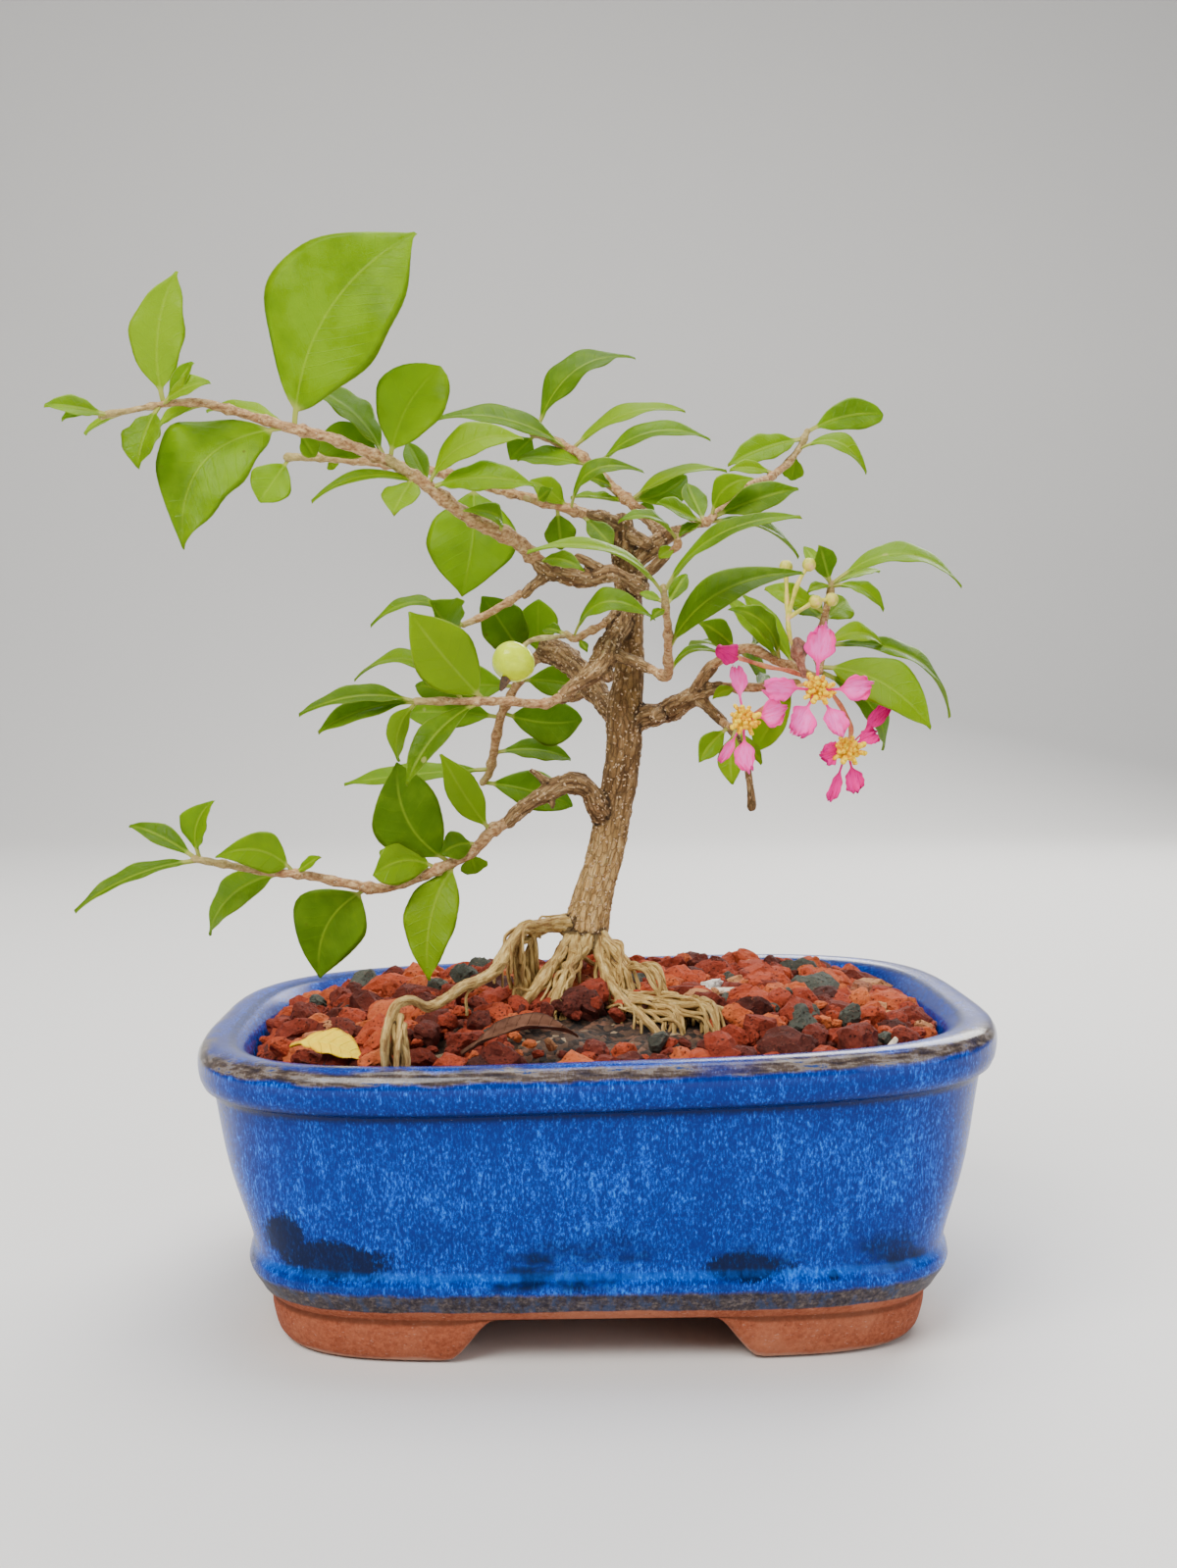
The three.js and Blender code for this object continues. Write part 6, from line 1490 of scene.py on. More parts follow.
def hollows(mesh):
    """How deep each point lies in a crevice, in millimetres."""
    ends = np.empty(len(mesh.edges) * 2, np.int32)
    mesh.edges.foreach_get("vertices", ends)
    one, two = ends.reshape(-1, 2).T
    count = len(mesh.vertices)
    near = np.bincount(one, minlength=count) + np.bincount(two, minlength=count)
    points = mesh_vectors(mesh)
    even = points.copy()
    for _ in range(EVEN_ROUNDS):
        even = np.column_stack([
            np.bincount(one, even[two, k], count) + np.bincount(two, even[one, k], count) for k in range(3)
        ]) / near[:, None]
    return ((even - points) * mesh_vectors(mesh, "normal")).sum(1) / MM


def roughened(mesh, limbs):
    """Bark ridges, ring scars and root ribs pressed into the skin, with the values its material reads."""
    points = mesh_vectors(mesh)
    normals = mesh_vectors(mesh, "normal")
    near = near_limb(points, limbs)
    kind, along, turn, radius = (near[name] for name in ("kind", "along", "turn", "radius"))
    wrap = np.column_stack([np.cos(turn) * radius, np.sin(turn) * radius, along])
    lift = np.zeros(len(points))
    for i, (w, k) in enumerate(zip(wrap, kind)):
        ridge = noise.noise(Vector((w[0] * 1.1, w[1] * 1.1, w[2] * 0.25 + k * 50)))
        lump = noise.noise(Vector((w[0] * 0.8, w[1] * 0.8, w[2] * 0.8 + 20 + k * 50)))
        lift[i] = ridge * (0.2, 0.34, 0.3)[int(k)] + lump * (0.16, 0.36, 0.3)[int(k)]
    lift *= np.clip(radius / 2.2, 0.45, 1.1)
    points += normals * (lift * MM)[:, None]
    mesh.vertices.foreach_set("co", points.ravel())
    mesh.update()
    # How deep each point lies in a crevice, which the bark paints as shade
    store(mesh, "crevice_shade", hollows(mesh))
    store(mesh, "limb", np.column_stack([kind, along, radius]))
    store(mesh, "wrap", wrap)
    return mesh


def pore_tree():
    """Stands small pieces on the surface, turned to it, each with a random size and turn."""
    tree, inputs = geometry_tree("pores", {
        "Surface": "Object", "Piece": "Object", "Density": "Float", "Seed": "Int",
        "Least size": "Float", "Most size": "Float", "Material": "Material",
    })
    share = tree.geo("InputNamedAttribute", Name="share")
    points = tree.geo(
        "DistributePointsOnFaces",
        Mesh=tree.from_object(inputs["Surface"]),
        Density=inputs["Density"] * share,
        Seed=inputs["Seed"],
    )
    spin = {"Axis": (0, 0, 1), "Angle": tree.chance(0.0, 2 * math.pi, 3)}
    spin = tree.node("FunctionNodeAxisAngleToRotation", spin)
    turn = {"Rotation": tree.other(points, "Rotation"), "Rotate By": spin}
    stood = tree.geo(
        "InstanceOnPoints",
        Points=points,
        Instance=tree.from_object(inputs["Piece"]),
        Rotation=tree.node("FunctionNodeRotateRotation", turn, rotation_space="LOCAL"),
        Scale=tree.chance(inputs["Least size"], inputs["Most size"], 5),
    )
    return tree.grown(stood, inputs["Material"])


# The least and the greatest length of a pore, in millimetres
PORE_SIZES = (0.18, 0.46)


def small_bump():
    """A low oval blister, half sunk, that stands for one pore."""
    made = bmesh.new()
    bmesh.ops.create_icosphere(made, subdivisions=1, radius=1.0)
    bmesh.ops.scale(made, vec=(1.0, 0.55, 0.4), verts=made.verts)
    mesh = bpy.data.meshes.new("pore")
    made.to_mesh(mesh)
    made.free()
    mesh.shade_smooth()
    return mesh


def root_threads(count):
    """Thin rootlets that wander down from the trunk's foot and along the main roots into the stones."""
    chance = random.Random(12)
    shell = Shell("limb", "wrap")
    mains = [smooth_path(placed(path), 1.0 * MM) for path in ROOTS]
    for _ in range(count):
        main = chance.choice(mains)
        start = chance.randrange(0, max(1, len(main) // 2))
        span = min(len(main) - start, chance.randint(8, 26))
        spots = main[start : start + span]
        if len(spots) < 4:
            continue
        turn = chance.uniform(0, 6.3)
        wind = chance.uniform(-0.25, 0.25)
        away = chance.uniform(0.9, 1.5)
        drop = chance.uniform(0.0, 0.3)
        knots = []
        for k, spot in enumerate(spots[::3]):
            angle = turn + wind * k * 3
            out = (spot[3] * away + 0.0002 * k) * (1 if k else 0.3)
            knots.append((
                spot[0] + math.cos(angle) * out + chance.gauss(0, 0.0004),
                spot[1] + math.sin(angle) * out + chance.gauss(0, 0.0004),
                spot[2] + math.sin(angle * 1.3) * out - drop * k * MM,
                chance.uniform(0.3, 0.62) * MM * (1 - 0.05 * k),
            ))
        if len(knots) < 3:
            continue
        end = knots[-1]
        knots.append((end[0], end[1] - 0.001, end[2] - 0.004, 0.3 * MM))
        points, faces, values = tube(smooth_path(knots, 0.9 * MM), 9, root_swell, 2)
        limb = np.column_stack([np.full(len(points), 2.0), values[:, 1], values[:, 2]])
        turns, along, radius = values.T
        wrap = np.column_stack([radius * np.cos(turns), radius * np.sin(turns), along])
        shell.add(points, faces, limb=limb, wrap=wrap)
    return shell.mesh("root_threads")


class BONSAI_OT_wood(PieceOperator):
    """Build the trunk, branches and roots, and the pores on their bark"""

    bl_idname = "bonsai.wood"
    bl_label = "Trunk, Branches and Roots"

    def execute(self, context):
        settings = context.scene.bonsai_wood
        limbs = skeleton()
        mesh = roughened(joined_limbs(limbs, settings.voxel), limbs)
        mesh.shade_smooth()
        bark = bark_material(settings)
        keep(new_object("trunk_and_roots", mesh, bark), "bark", "wood")
        keep(new_object("rootlets", root_threads(settings.rootlets), bark), "bark")

        pore_skin = plain_skin("lenticels", [
            (0.35, (0.36, 0.20, 0.09)), (0.55, (0.66, 0.46, 0.26)), (0.75, (0.86, 0.70, 0.48)),
        ], 1.4, 0.85)

        # Pores stand thickest on the upper trunk and the branches, and there are none on the roots
        limb = np.empty(len(mesh.vertices) * 3, np.float32)
        mesh.attributes["limb"].data.foreach_get("vector", limb)
        kind, _, radius = limb.reshape(-1, 3).T
        carrier = new_object("bark_places", mesh.copy())
        store(carrier.data, "share", np.where(kind > 1.5, 0.0, np.clip(radius / 2.5, 0.5, 1.0)))
        pore = new_object("pore", small_bump())
        pores = grown_mesh("pores", pore_tree(), {
            "Surface": carrier,
            "Piece": pore,
            "Density": settings.lenticels / sum(face.area for face in mesh.polygons) * 1.6,
            "Seed": 4,
            "Least size": PORE_SIZES[0] * MM,
            "Most size": PORE_SIZES[1] * MM,
            "Material": pore_skin,
        })
        bpy.data.objects.remove(carrier)
        bpy.data.objects.remove(pore)
        keep(new_object("bark_pores", pores), "bark")
        return {"FINISHED"}


# Leaves and the thin twigs that carry them

# The petiole's length in millimetres, and the share of the leaf that it takes besides
PETIOLE = 1.5
PETIOLE_SHARE = 0.04
LEAF_COLUMNS = 13
VEIN_SPACING = 1.3


def leaf_frame(root, tip, roll):
    """The chord of a blade with the unit vectors across it and out of its upper face."""
    chord = tip - root
    along = chord / np.linalg.norm(chord)
    facing = np.array([0.0, -1.0, 0.0])
    facing -= along * facing.dot(along)
    facing /= np.linalg.norm(facing)
    skyward = np.cross(along, facing)
    if skyward[2] < 0:
        skyward = -skyward
    normal = math.cos(roll) * facing + math.sin(roll) * skyward
    return chord, np.cross(along, normal), normal


def leaf_outline(s, bluntness, widest):
    """Half width of a leaf, as a share of its greatest, from the blade's foot to its tip."""
    low = np.clip(s / widest, 0, 1)
    high = np.clip((s - widest) / (1 - widest), 0, 1)
    foot = np.sin(low * math.pi / 2) ** 0.8
    top = np.cos(high * math.pi / 2) ** (0.98 - 0.46 * bluntness)
    return np.where(s < widest, foot, top)


def add_leaf(shell, root, tip, width, roll, arch, fold, sweep, widest, tint, seed, settings):
    """A thin closed blade on a short petiole, folded along its midrib, waved and finely toothed."""
    chance = random.Random(seed)
    chord, side, normal = leaf_frame(root, tip, math.radians(roll))
    length = np.linalg.norm(chord)
    long_mm = length / MM
    rows = int(np.clip(long_mm * 1.15, 12, 44))
    columns = LEAF_COLUMNS
    petiole = min(PETIOLE / long_mm + PETIOLE_SHARE, 0.2)
    t = np.concatenate([np.linspace(0, petiole, 4)[:-1], petiole + (1 - petiole) * np.linspace(0, 1, rows)])
    s = np.clip((t - petiole) / (1 - petiole), 0, 1)
    bluntness = np.clip((widest - 0.5) * 8, 0.1, 1)
    half = width / 2 * 1.04 * leaf_outline(s, bluntness, widest)
    stalk = (0.36 + 0.006 * long_mm) * MM * (1 - 0.45 * s)
    bulge = 4 * t * (1 - t) * length
    rows_all = len(t)
    along_mm = t * long_mm
    phase = chance.uniform(0, 6)
    wave_size = chance.uniform(0.02, 0.055) * width
    wave_count = chance.uniform(2.0, 3.4)
    twist = chance.uniform(-0.12, 0.12)
    droop = chance.uniform(0.0, 0.05)
    thick = settings.thickness
    c = np.linspace(-1, 1, columns)
    c = np.sign(c) * np.abs(c) ** 0.85
    top = np.zeros((rows_all, columns, 3))
    under = np.zeros((rows_all, columns, 3))
    across_mm = np.zeros((rows_all, columns))
    for i in range(rows_all):
        centre = root + chord * t[i] + normal * (arch * bulge[i] - droop * width * s[i] ** 3)
        centre = centre + side * sweep * bulge[i]
        turned = twist * (s[i] - 0.5)
        flat = side * math.cos(turned) + normal * math.sin(turned)
        out = normal * math.cos(turned) - side * math.sin(turned)
        wide = max(half[i], 0)
        tooth = settings.tooth * (0.5 + 0.5 * math.sin(along_mm[i] * 3.4 + phase)) if wide > 2 * MM else 0
        edge = wide + tooth * 0.5
        blade = min(1.0, wide / (0.9 * MM))
        fold_here = fold * (0.45 + 0.55 * s[i])
        curl = 0.16 * blade
        wave = wave_size * math.sin(wave_count * 2 * math.pi * s[i] + phase)
        for sign in (-1, 1):
            pick = c < 0 if sign < 0 else c >= 0
            q = np.abs(c[pick])
            reach = np.maximum(q * edge * math.cos(fold_here), q * stalk[i])
            rise = q * edge * math.sin(fold_here) - curl * edge * q**3 * 0.5
            rise = rise + wave * q**2.5 * blade * (1 if sign > 0 else -0.8)
            groove = -0.28 * MM * np.exp(-((q * edge / (0.5 * MM)) ** 2)) * blade * (1 - 0.7 * s[i])
            rows_here = centre + np.outer(sign * reach, flat) + np.outer(rise + groove, out)
            top[i, pick] = rows_here
            rib = 0.5 * MM * np.exp(-((q * edge / (0.45 * MM)) ** 2)) * (1 - 0.75 * s[i])
            depth = thick * (0.6 + 0.4 * (1 - q**4)) + rib * blade
            depth = blade * depth + (1 - blade) * 0.8 * MM * np.sqrt(np.clip(1 - q**2, 0, 1))
            depth = np.where(q > 0.999, 0, depth)
            under[i, pick] = rows_here - np.outer(depth, out)
            across_mm[i, pick] = sign * q * edge / MM
    blade = np.dstack([across_mm, *np.broadcast_arrays(along_mm[:, None], half[:, None] / MM, across_mm)[:2]])
    add_sheet(shell, top, under, blade, s, tint)


def nearest_on_twig(twig, across, up):
    """The [across, up, depth] of a twig nearest to a place seen in front of it."""
    spots = np.asarray(twig, float)[:, :3]
    found = None
    for a, b in zip(spots, spots[1:]):
        span = b - a
        flat = span[:2]
        t = np.clip(((across - a[0]) * flat[0] + (up - a[1]) * flat[1]) / (flat @ flat), 0, 1)
        spot = a + span * t
        gap = math.hypot(spot[0] - across, spot[1] - up)
        if found is None or gap < found[0]:
            found = (gap, spot)
    return found[1]


def leaf_material(name, settings, green, young_share):
    """A satin blade with fine veins, a pale midrib and margin, blemishes, and light coming through."""
    tree, spot = new_material(name)
    across, along, half = tree.split(tree.attribute("blade"))
    lower, share, tint = tree.split(tree.attribute("look"))
    reach = abs(across)
    mottle = tree.noise(spot, 0.11)
    patch = tree.noise(spot, 0.3)
    fine = tree.noise(tree.join(across, along, tint * 40), 1.6)

    # Side veins leave the midrib at a slant and bend forward; the net between them is fine
    slant = along - reach * 0.62 - reach * reach * 0.018 + (patch - 0.5) * 1.2
    veins = tree.math("PINGPONG", slant + tint * 3.0, VEIN_SPACING)
    veins = tree.smooth(veins, 0.2, 0.0) * tree.smooth(reach, half * 0.98, half * 0.72)
    net = tree.cells(tree.join(across, along, tint * 9), 1.5, feature="DISTANCE_TO_EDGE")
    net = tree.smooth(net, 0.09, 0.0)
    midrib = tree.smooth(reach, 0.42, 0.08) * tree.smooth(share, 1.0, 0.7)
    margin = tree.smooth(half - reach, 0.3, 0.04) * tree.smooth(half, 0.8, 1.6)
    stalk = tree.smooth(share, 0.05, 0.0)

    deep = tuple(c * 0.5 for c in green)
    lively = tree.blend(tree.smooth(mottle + (tint - 0.5) * 0.5, 0.28, 0.68), deep, green)
    fresh = tree.blend(tree.smooth(tint, 0.5, 1.0) * young_share, lively, settings.young)
    top = tree.blend(tree.smooth(patch, 0.45, 0.7) * 0.22, fresh, settings.young)
    top = tree.layered(
        top,
        (veins * 0.12 + net * 0.06, (0.27, 0.42, 0.0)),
        (midrib * 0.45, (0.42, 0.56, 0.03)),
    )
    bottom = tree.blend(mottle * 0.45, settings.underside, tuple(c * 1.5 for c in green))
    bottom = tree.blend(veins * 0.25 + midrib * 0.5, bottom, (0.48, 0.62, 0.12))
    colour = tree.blend(tree.smooth(lower, 0.4, 0.6), top, bottom)

    # Brown specks, a few pale scars, and browned tips here and there
    specks = tree.smooth(tree.cells(spot, 0.17), 0.085, 0.05) * tree.smooth(mottle, 0.5, 0.62)
    scars = tree.cells(tree.vector("ADD", spot, (31.0, 7.0, 5.0)), 0.07)
    scars = tree.smooth(scars + (fine - 0.5) * 0.03, 0.06, 0.04)
    tips = tree.smooth(share + (patch - 0.5) * 0.25, 0.97, 1.08) * tree.smooth(mottle, 0.47, 0.56)
    colour = tree.layered(
        colour,
        (margin * 0.5, (0.50, 0.62, 0.09)),
        (stalk, tree.blend(mottle, (0.42, 0.44, 0.05), (0.62, 0.55, 0.18))),
        (specks * 0.85, (0.13, 0.055, 0.01)),
        (scars * 0.55, (0.56, 0.52, 0.16)),
        (tips * 0.7, (0.36, 0.22, 0.03)),
    )

    relief = fine * 0.12 - veins * 0.3 - net * 0.14 - midrib * 0.5 * (1.0 - lower) + patch * 0.5
    normal = tree.bump(relief, 0.0006, 0.42)
    gloss = 0.38 + (patch - 0.5) * 0.24 + lower * 0.25
    shine = tree.skin(colour, gloss, normal, Specular_IOR_Level=0.16)
    glow = tree.node("ShaderNodeBsdfTranslucent", {"Color": tuple(min(1, c * 2.0) for c in green)})
    surface = tree.node("ShaderNodeMixShader", {0: 0.36, 1: shine, 2: glow})
    return tree.finished(surface)


def twig_material():
    """Pinkish-tan young bark with pale flecks, greener towards the tips."""
    tree, spot = new_material("young_twig")
    _, share, _ = tree.split(tree.attribute("look"))
    streak = tree.noise(tree.scaled(spot, (0.5, 1.0, 1.0)), 1.5, 5.0, 0.68)
    fleck = tree.smooth(tree.cells(spot, 1.0), 0.22, 0.1)
    mottle = tree.noise(spot, 0.22)
    colour = tree.ramp(streak, [
        (0.3, (0.10, 0.042, 0.014)), (0.44, (0.34, 0.17, 0.06)), (0.6, (0.60, 0.38, 0.17)),
        (0.76, (0.82, 0.64, 0.38)),
    ])
    colour = tree.layered(
        colour,
        (tree.smooth(mottle, 0.5, 0.7) * 0.35, (0.42, 0.16, 0.06)),
        (fleck * 0.6, (0.86, 0.70, 0.46)),
        (tree.smooth(share, 0.72, 1.0) * 0.5, (0.34, 0.34, 0.09)),
    )
    normal = tree.bump(streak * 0.5 + fleck * 0.5, 0.0007, 0.8)
    return tree.finished(tree.skin(colour, 0.72, normal))


def twig_swell(turns, along):
    node = 0.3 * math.exp(-(((along % 7.5) - 3.7) ** 2) / 0.7)
    crust = 0.06 * np.cos(3 * turns + along) + 0.05 * np.cos(7 * turns - along * 2.3)
    return 0.86 + node + crust + 0.05 * math.sin(along * 2.1)


YOUNG_SPRAYS = ("upper_left_spray", "upper_left_tip_spray", "back_left_spray")


class BONSAI_OT_sprays(PieceOperator):
    """Build every spray of leaves on its twig"""

    bl_idname = "bonsai.sprays"
    bl_label = "Leaf Sprays"

    def execute(self, context):
        settings = context.scene.bonsai_leaf
        full = leaf_material("leaf_green", settings, tuple(settings.green), 0.5)
        young = leaf_material("leaf_yellow_green", settings, (0.22, 0.37, 0.0), 0.8)
        twig_bark = twig_material()
        for name, (twig, leaves) in SPRAYS.items():
            shell = Shell("blade", "look")
            add_stalk(shell, twig, 0.7, 20, twig_swell)
            bark_faces = len(shell.faces)
            chance = random.Random(name)
            for row in leaves:
                across, up, tip_across, tip_up, tip_depth, width, *shape = row
                spot = nearest_on_twig(twig, across, up)
                root = np.array(place(*spot))
                tip = np.array(place(tip_across, tip_up, spot[2] + tip_depth))
                size = width * scale_at(spot[2]) * MM
                shape += (0, 0.54)[len(shape) - 3 :]
                tint = chance.random()
                add_leaf(shell, root, tip, size, *shape, tint, chance.random(), settings)
            mesh = shell.mesh(name)
            leafy = young if name in YOUNG_SPRAYS else full
            piece = new_object("dressed_" + name, mesh, leafy, twig_bark)
            slots = np.zeros(len(mesh.polygons), np.int32)
            slots[:bark_faces] = 1
            mesh.polygons.foreach_set("material_index", slots)
            keep(piece, "leaf_yellow_green" if name in YOUNG_SPRAYS else "leaf_green", name)
        return {"FINISHED"}


# Flowers, buds and the fruit

# The turn from one stamen to the next, in radians, then sizes in millimetres
GOLDEN_TURN = 2.39996
STAMEN_REACH = 2.0
STAMEN_HEIGHT = 2.7
STAMEN_LEAD = 0.9
DISC_RADII = (2.3, 1.6, 2.3)
BUD_RADII = (1.35, 1.35, 1.5)
PETAL_GRID = (36, 23)


def add_petal(shell, centre, tip, width, seed):
    """A thin claw that opens at once into a cupped, crinkled limb with a torn edge."""
    chance = random.Random(seed)
    chord, side, normal = leaf_frame(centre, tip, math.radians(chance.uniform(-30, 30)))
    length = np.linalg.norm(chord)
    rows, columns = PETAL_GRID
    phase, lean = chance.uniform(0, 6), chance.uniform(-0.16, 0.16)
    frills = chance.uniform(3.2, 4.6)
    cupping = chance.uniform(0.3, 0.62)
    share = (np.arange(rows) / (rows - 1)) ** 0.85
    top, under, blade = np.zeros((3, rows, columns, 3))
    for i, t in enumerate(share):
        limb = max(0.0, (t - 0.4) / 0.6)
        opened = min(limb / 0.4, 1)
        rounded = math.sqrt(max(0.05, 1 - max(0.0, (limb - 0.5) / 0.54) ** 2.6))
        fan = opened * opened * (3 - 2 * opened) * rounded
        half = width / 2 * (0.1 + 0.86 * fan)
        middle = centre + chord * t + normal * length * (0.1 * math.sin(t * math.pi) + 0.10 * limb * limb)
        middle = middle + side * lean * width * limb
        for j in range(columns):
            q = -1 + 2 * j / (columns - 1)
            torn = noise.noise(Vector((q * 3.2, t * 7.0, phase)))
            frill = math.sin(frills * q * 2.8 + t * 11 + phase) * 0.12 * width
            frill *= abs(q) ** 2.5 * limb + limb**4 * 0.8
            fringe = 1 + (0.07 * math.sin(t * 40 + phase) + 0.22 * torn) * limb * abs(q)
            dent = -0.1 * width * math.exp(-((q / 0.16) ** 2)) * limb
            back = (0.22 * torn + 0.05 * math.sin(q * 16 + phase) - 0.10 * q * q) * width * limb**5
            spot = middle + side * q * half * fringe + chord / length * back
            spot = spot + normal * (cupping * half * q * q + frill + dent + 0.05 * width * torn * limb)
            thick = (0.13 + 0.42 * (1 - min(limb, 1)) * (1 - q * q)) * MM * (abs(q) < 0.999)
            top[i, j] = spot
            under[i, j] = spot - normal * thick
            blade[i, j] = (q * half / MM, t * length / MM, half / MM)
    add_sheet(shell, top, under, blade, share, chance.random())


def petal_material(name, pale, main, deep, painted_glow):
    """Soft petal skin, deeper at the claw and the edge, with fine veins, light coming through, and a faint
    painted glow of its own colour.
    """
    tree, spot = new_material(name)
    across, along, half = tree.split(tree.attribute("blade"))
    _, share, tone = tree.split(tree.attribute("look"))
    mottle = tree.noise(spot, 0.45)
    veins = tree.noise(tree.join(across * 3.4, along * 0.5, tone * 9), 1.1)
    middle = tree.smooth(abs(across) / half + (mottle - 0.5) * 0.8, 0.95, 0.35)
    colour = tree.blend(middle * tree.smooth(share, 0.42, 0.6), main, pale)
    colour = tree.layered(
        colour,
        (tree.smooth(mottle + (tone - 0.5) * 0.5, 0.45, 0.75) * 0.6, pale),
        (tree.smooth(veins, 0.48, 0.66) * 0.55, deep),
        (tree.smooth(share, 0.46, 0.2) * 0.5, deep),
        (tree.smooth(share + (mottle - 0.5) * 0.3, 0.86, 1.02) * 0.6, deep),
    )
    normal = tree.bump(veins * 0.6 + mottle * 0.5, 0.0005, 0.6)
    # The emission of the petal's own colour is a painted glow, not a lamp
    shine = tree.skin(
        colour, 0.55 + (mottle - 0.5) * 0.2, normal, Specular_IOR_Level=0.15,
        Emission_Color=colour, Emission_Strength=painted_glow,
    )
    glow = tree.node("ShaderNodeBsdfTranslucent", {"Color": main})
    return tree.finished(tree.node("ShaderNodeMixShader", {0: 0.25, 1: shine, 2: glow}))


def plain_skin(name, stops, scale, rough, distance=0.0003, **constants):
    """A skin whose colour wanders between stops, with a fine grain."""
    tree, spot = new_material(name)
    fleck = tree.noise(spot, scale)
    fine = tree.noise(spot, scale * 4)
    colour = tree.ramp(fleck + (fine - 0.5) * 0.2, stops)
    normal = tree.bump(fleck * 0.7 + fine * 0.3, distance, 0.7)
    return tree.finished(tree.skin(colour, rough + (fine - 0.5) * 0.15, normal, **constants))


def stamen_object():
    """One stamen, a short stalk with a plump two-lobed anther, standing on its foot, one unit high."""
    shell = Shell()
    parts = [(smooth_path([(0, 0, 0, 0.08), (0.05, 0, 0.35, 0.07), (0.03, 0, 0.72, 0.06)], 0.2), 5)]
    for shift in (-0.13, 0.13):
        parts.append(([(shift, -0.04, 0.62, 0.15), (shift, 0, 0.82, 0.23), (shift, 0.03, 1.0, 0.16)], 6))
    for path, sides in parts:
        shell.add(*tube(path, sides, end_rings=1)[:2])
    return new_object("stamen", shell.mesh("stamen"))


def stamen_tree():
    """Rings of stamens on a flower's disc, leaning outwards."""
    tree, inputs = geometry_tree("stamens", {
        "Stamen": "Object", "Count": "Int", "Disc radius": "Float", "Height": "Float",
        "Centre": "Vector", "Seed": "Int", "Material": "Material",
    })
    index = tree.geo("InputIndex")
    line = tree.geo("MeshLine", Count=inputs["Count"], Offset=(0, 0, 0))
    share = (index + 0.5) / inputs["Count"]
    turn = index * GOLDEN_TURN
    reach = tree.math("SQRT", share) * inputs["Disc radius"]
    spot = tree.join(tree.math("COSINE", turn) * reach, tree.math("SINE", turn) * reach, 0.0)
    stood = tree.geo(
        "InstanceOnPoints",
        Points=tree.geo("SetPosition", Geometry=line, Position=spot),
        Instance=tree.from_object(inputs["Stamen"]),
        Rotation=tree.join(0.0, tree.chance(0.2, 0.8, inputs["Seed"]) * share + 0.05, turn),
        Scale=tree.chance(0.75, 1.15, inputs["Seed"] + 1) * inputs["Height"],
    )
    upright = (math.pi / 2, 0.0, 0.0)
    stood = tree.geo("Transform", Geometry=stood, Rotation=upright, Translation=inputs["Centre"])
    return tree.grown(stood, inputs["Material"])


def thin_stalks(name, paths, material, slot, node, swell=None, sides=12):
    """Closed tubes along the paths, as one piece that stands for a node."""
    shell = Shell("blade", "look")
    for path in paths:
        add_stalk(shell, path, 0.4, sides, swell)
    keep(new_object(name, shell.mesh(name), material), slot, *node)


def stalk_swell(turns, along):
    return 1 + 0.12 * math.sin(along * 1.1) + 0.06 * np.cos(2 * turns + along)


def withered_swell(turns, along):
    return 1 + 0.28 * np.cos(3 * turns + along * 0.9) + 0.14 * np.cos(7 * turns - along * 1.7)


def lobed_ball(centre, radii, lobes, depth, rows=36, columns=54, way=None):
    """A ball with lobes along its length and dimples at both poles."""
    points = []
    for fall in np.linspace(0, math.pi, rows + 1):
        dimple = 1 - 0.16 * math.exp(-((fall / 0.35) ** 2))
        dimple -= 0.08 * math.exp(-(((math.pi - fall) / 0.3) ** 2))
        for turn in np.arange(columns) / columns * 2 * math.pi:
            out = math.sin(fall) * (1 + depth * math.cos(lobes * turn) * math.sin(fall) ** 1.5)
            points.append((out * math.cos(turn), out * math.sin(turn), math.cos(fall) * dimple))
    points = np.array(points) * radii
    faces = grid_faces(rows + 1, columns, closed=True)
    mesh = bmesh.new()
    corners = [mesh.verts.new(p) for p in points]
    for face in faces:
        mesh.faces.new([corners[k] for k in face])
    bmesh.ops.remove_doubles(mesh, verts=mesh.verts, dist=1e-7)
    bmesh.ops.recalc_face_normals(mesh, faces=mesh.faces)
    if way is not None:
        turn = Vector((0, 0, 1)).rotation_difference(way).to_matrix().to_4x4()
        bmesh.ops.transform(mesh, matrix=turn, verts=mesh.verts)
    bmesh.ops.translate(mesh, vec=centre, verts=mesh.verts)
    made = bpy.data.meshes.new("ball")
    mesh.to_mesh(made)
    mesh.free()
    made.shade_smooth()
    return made


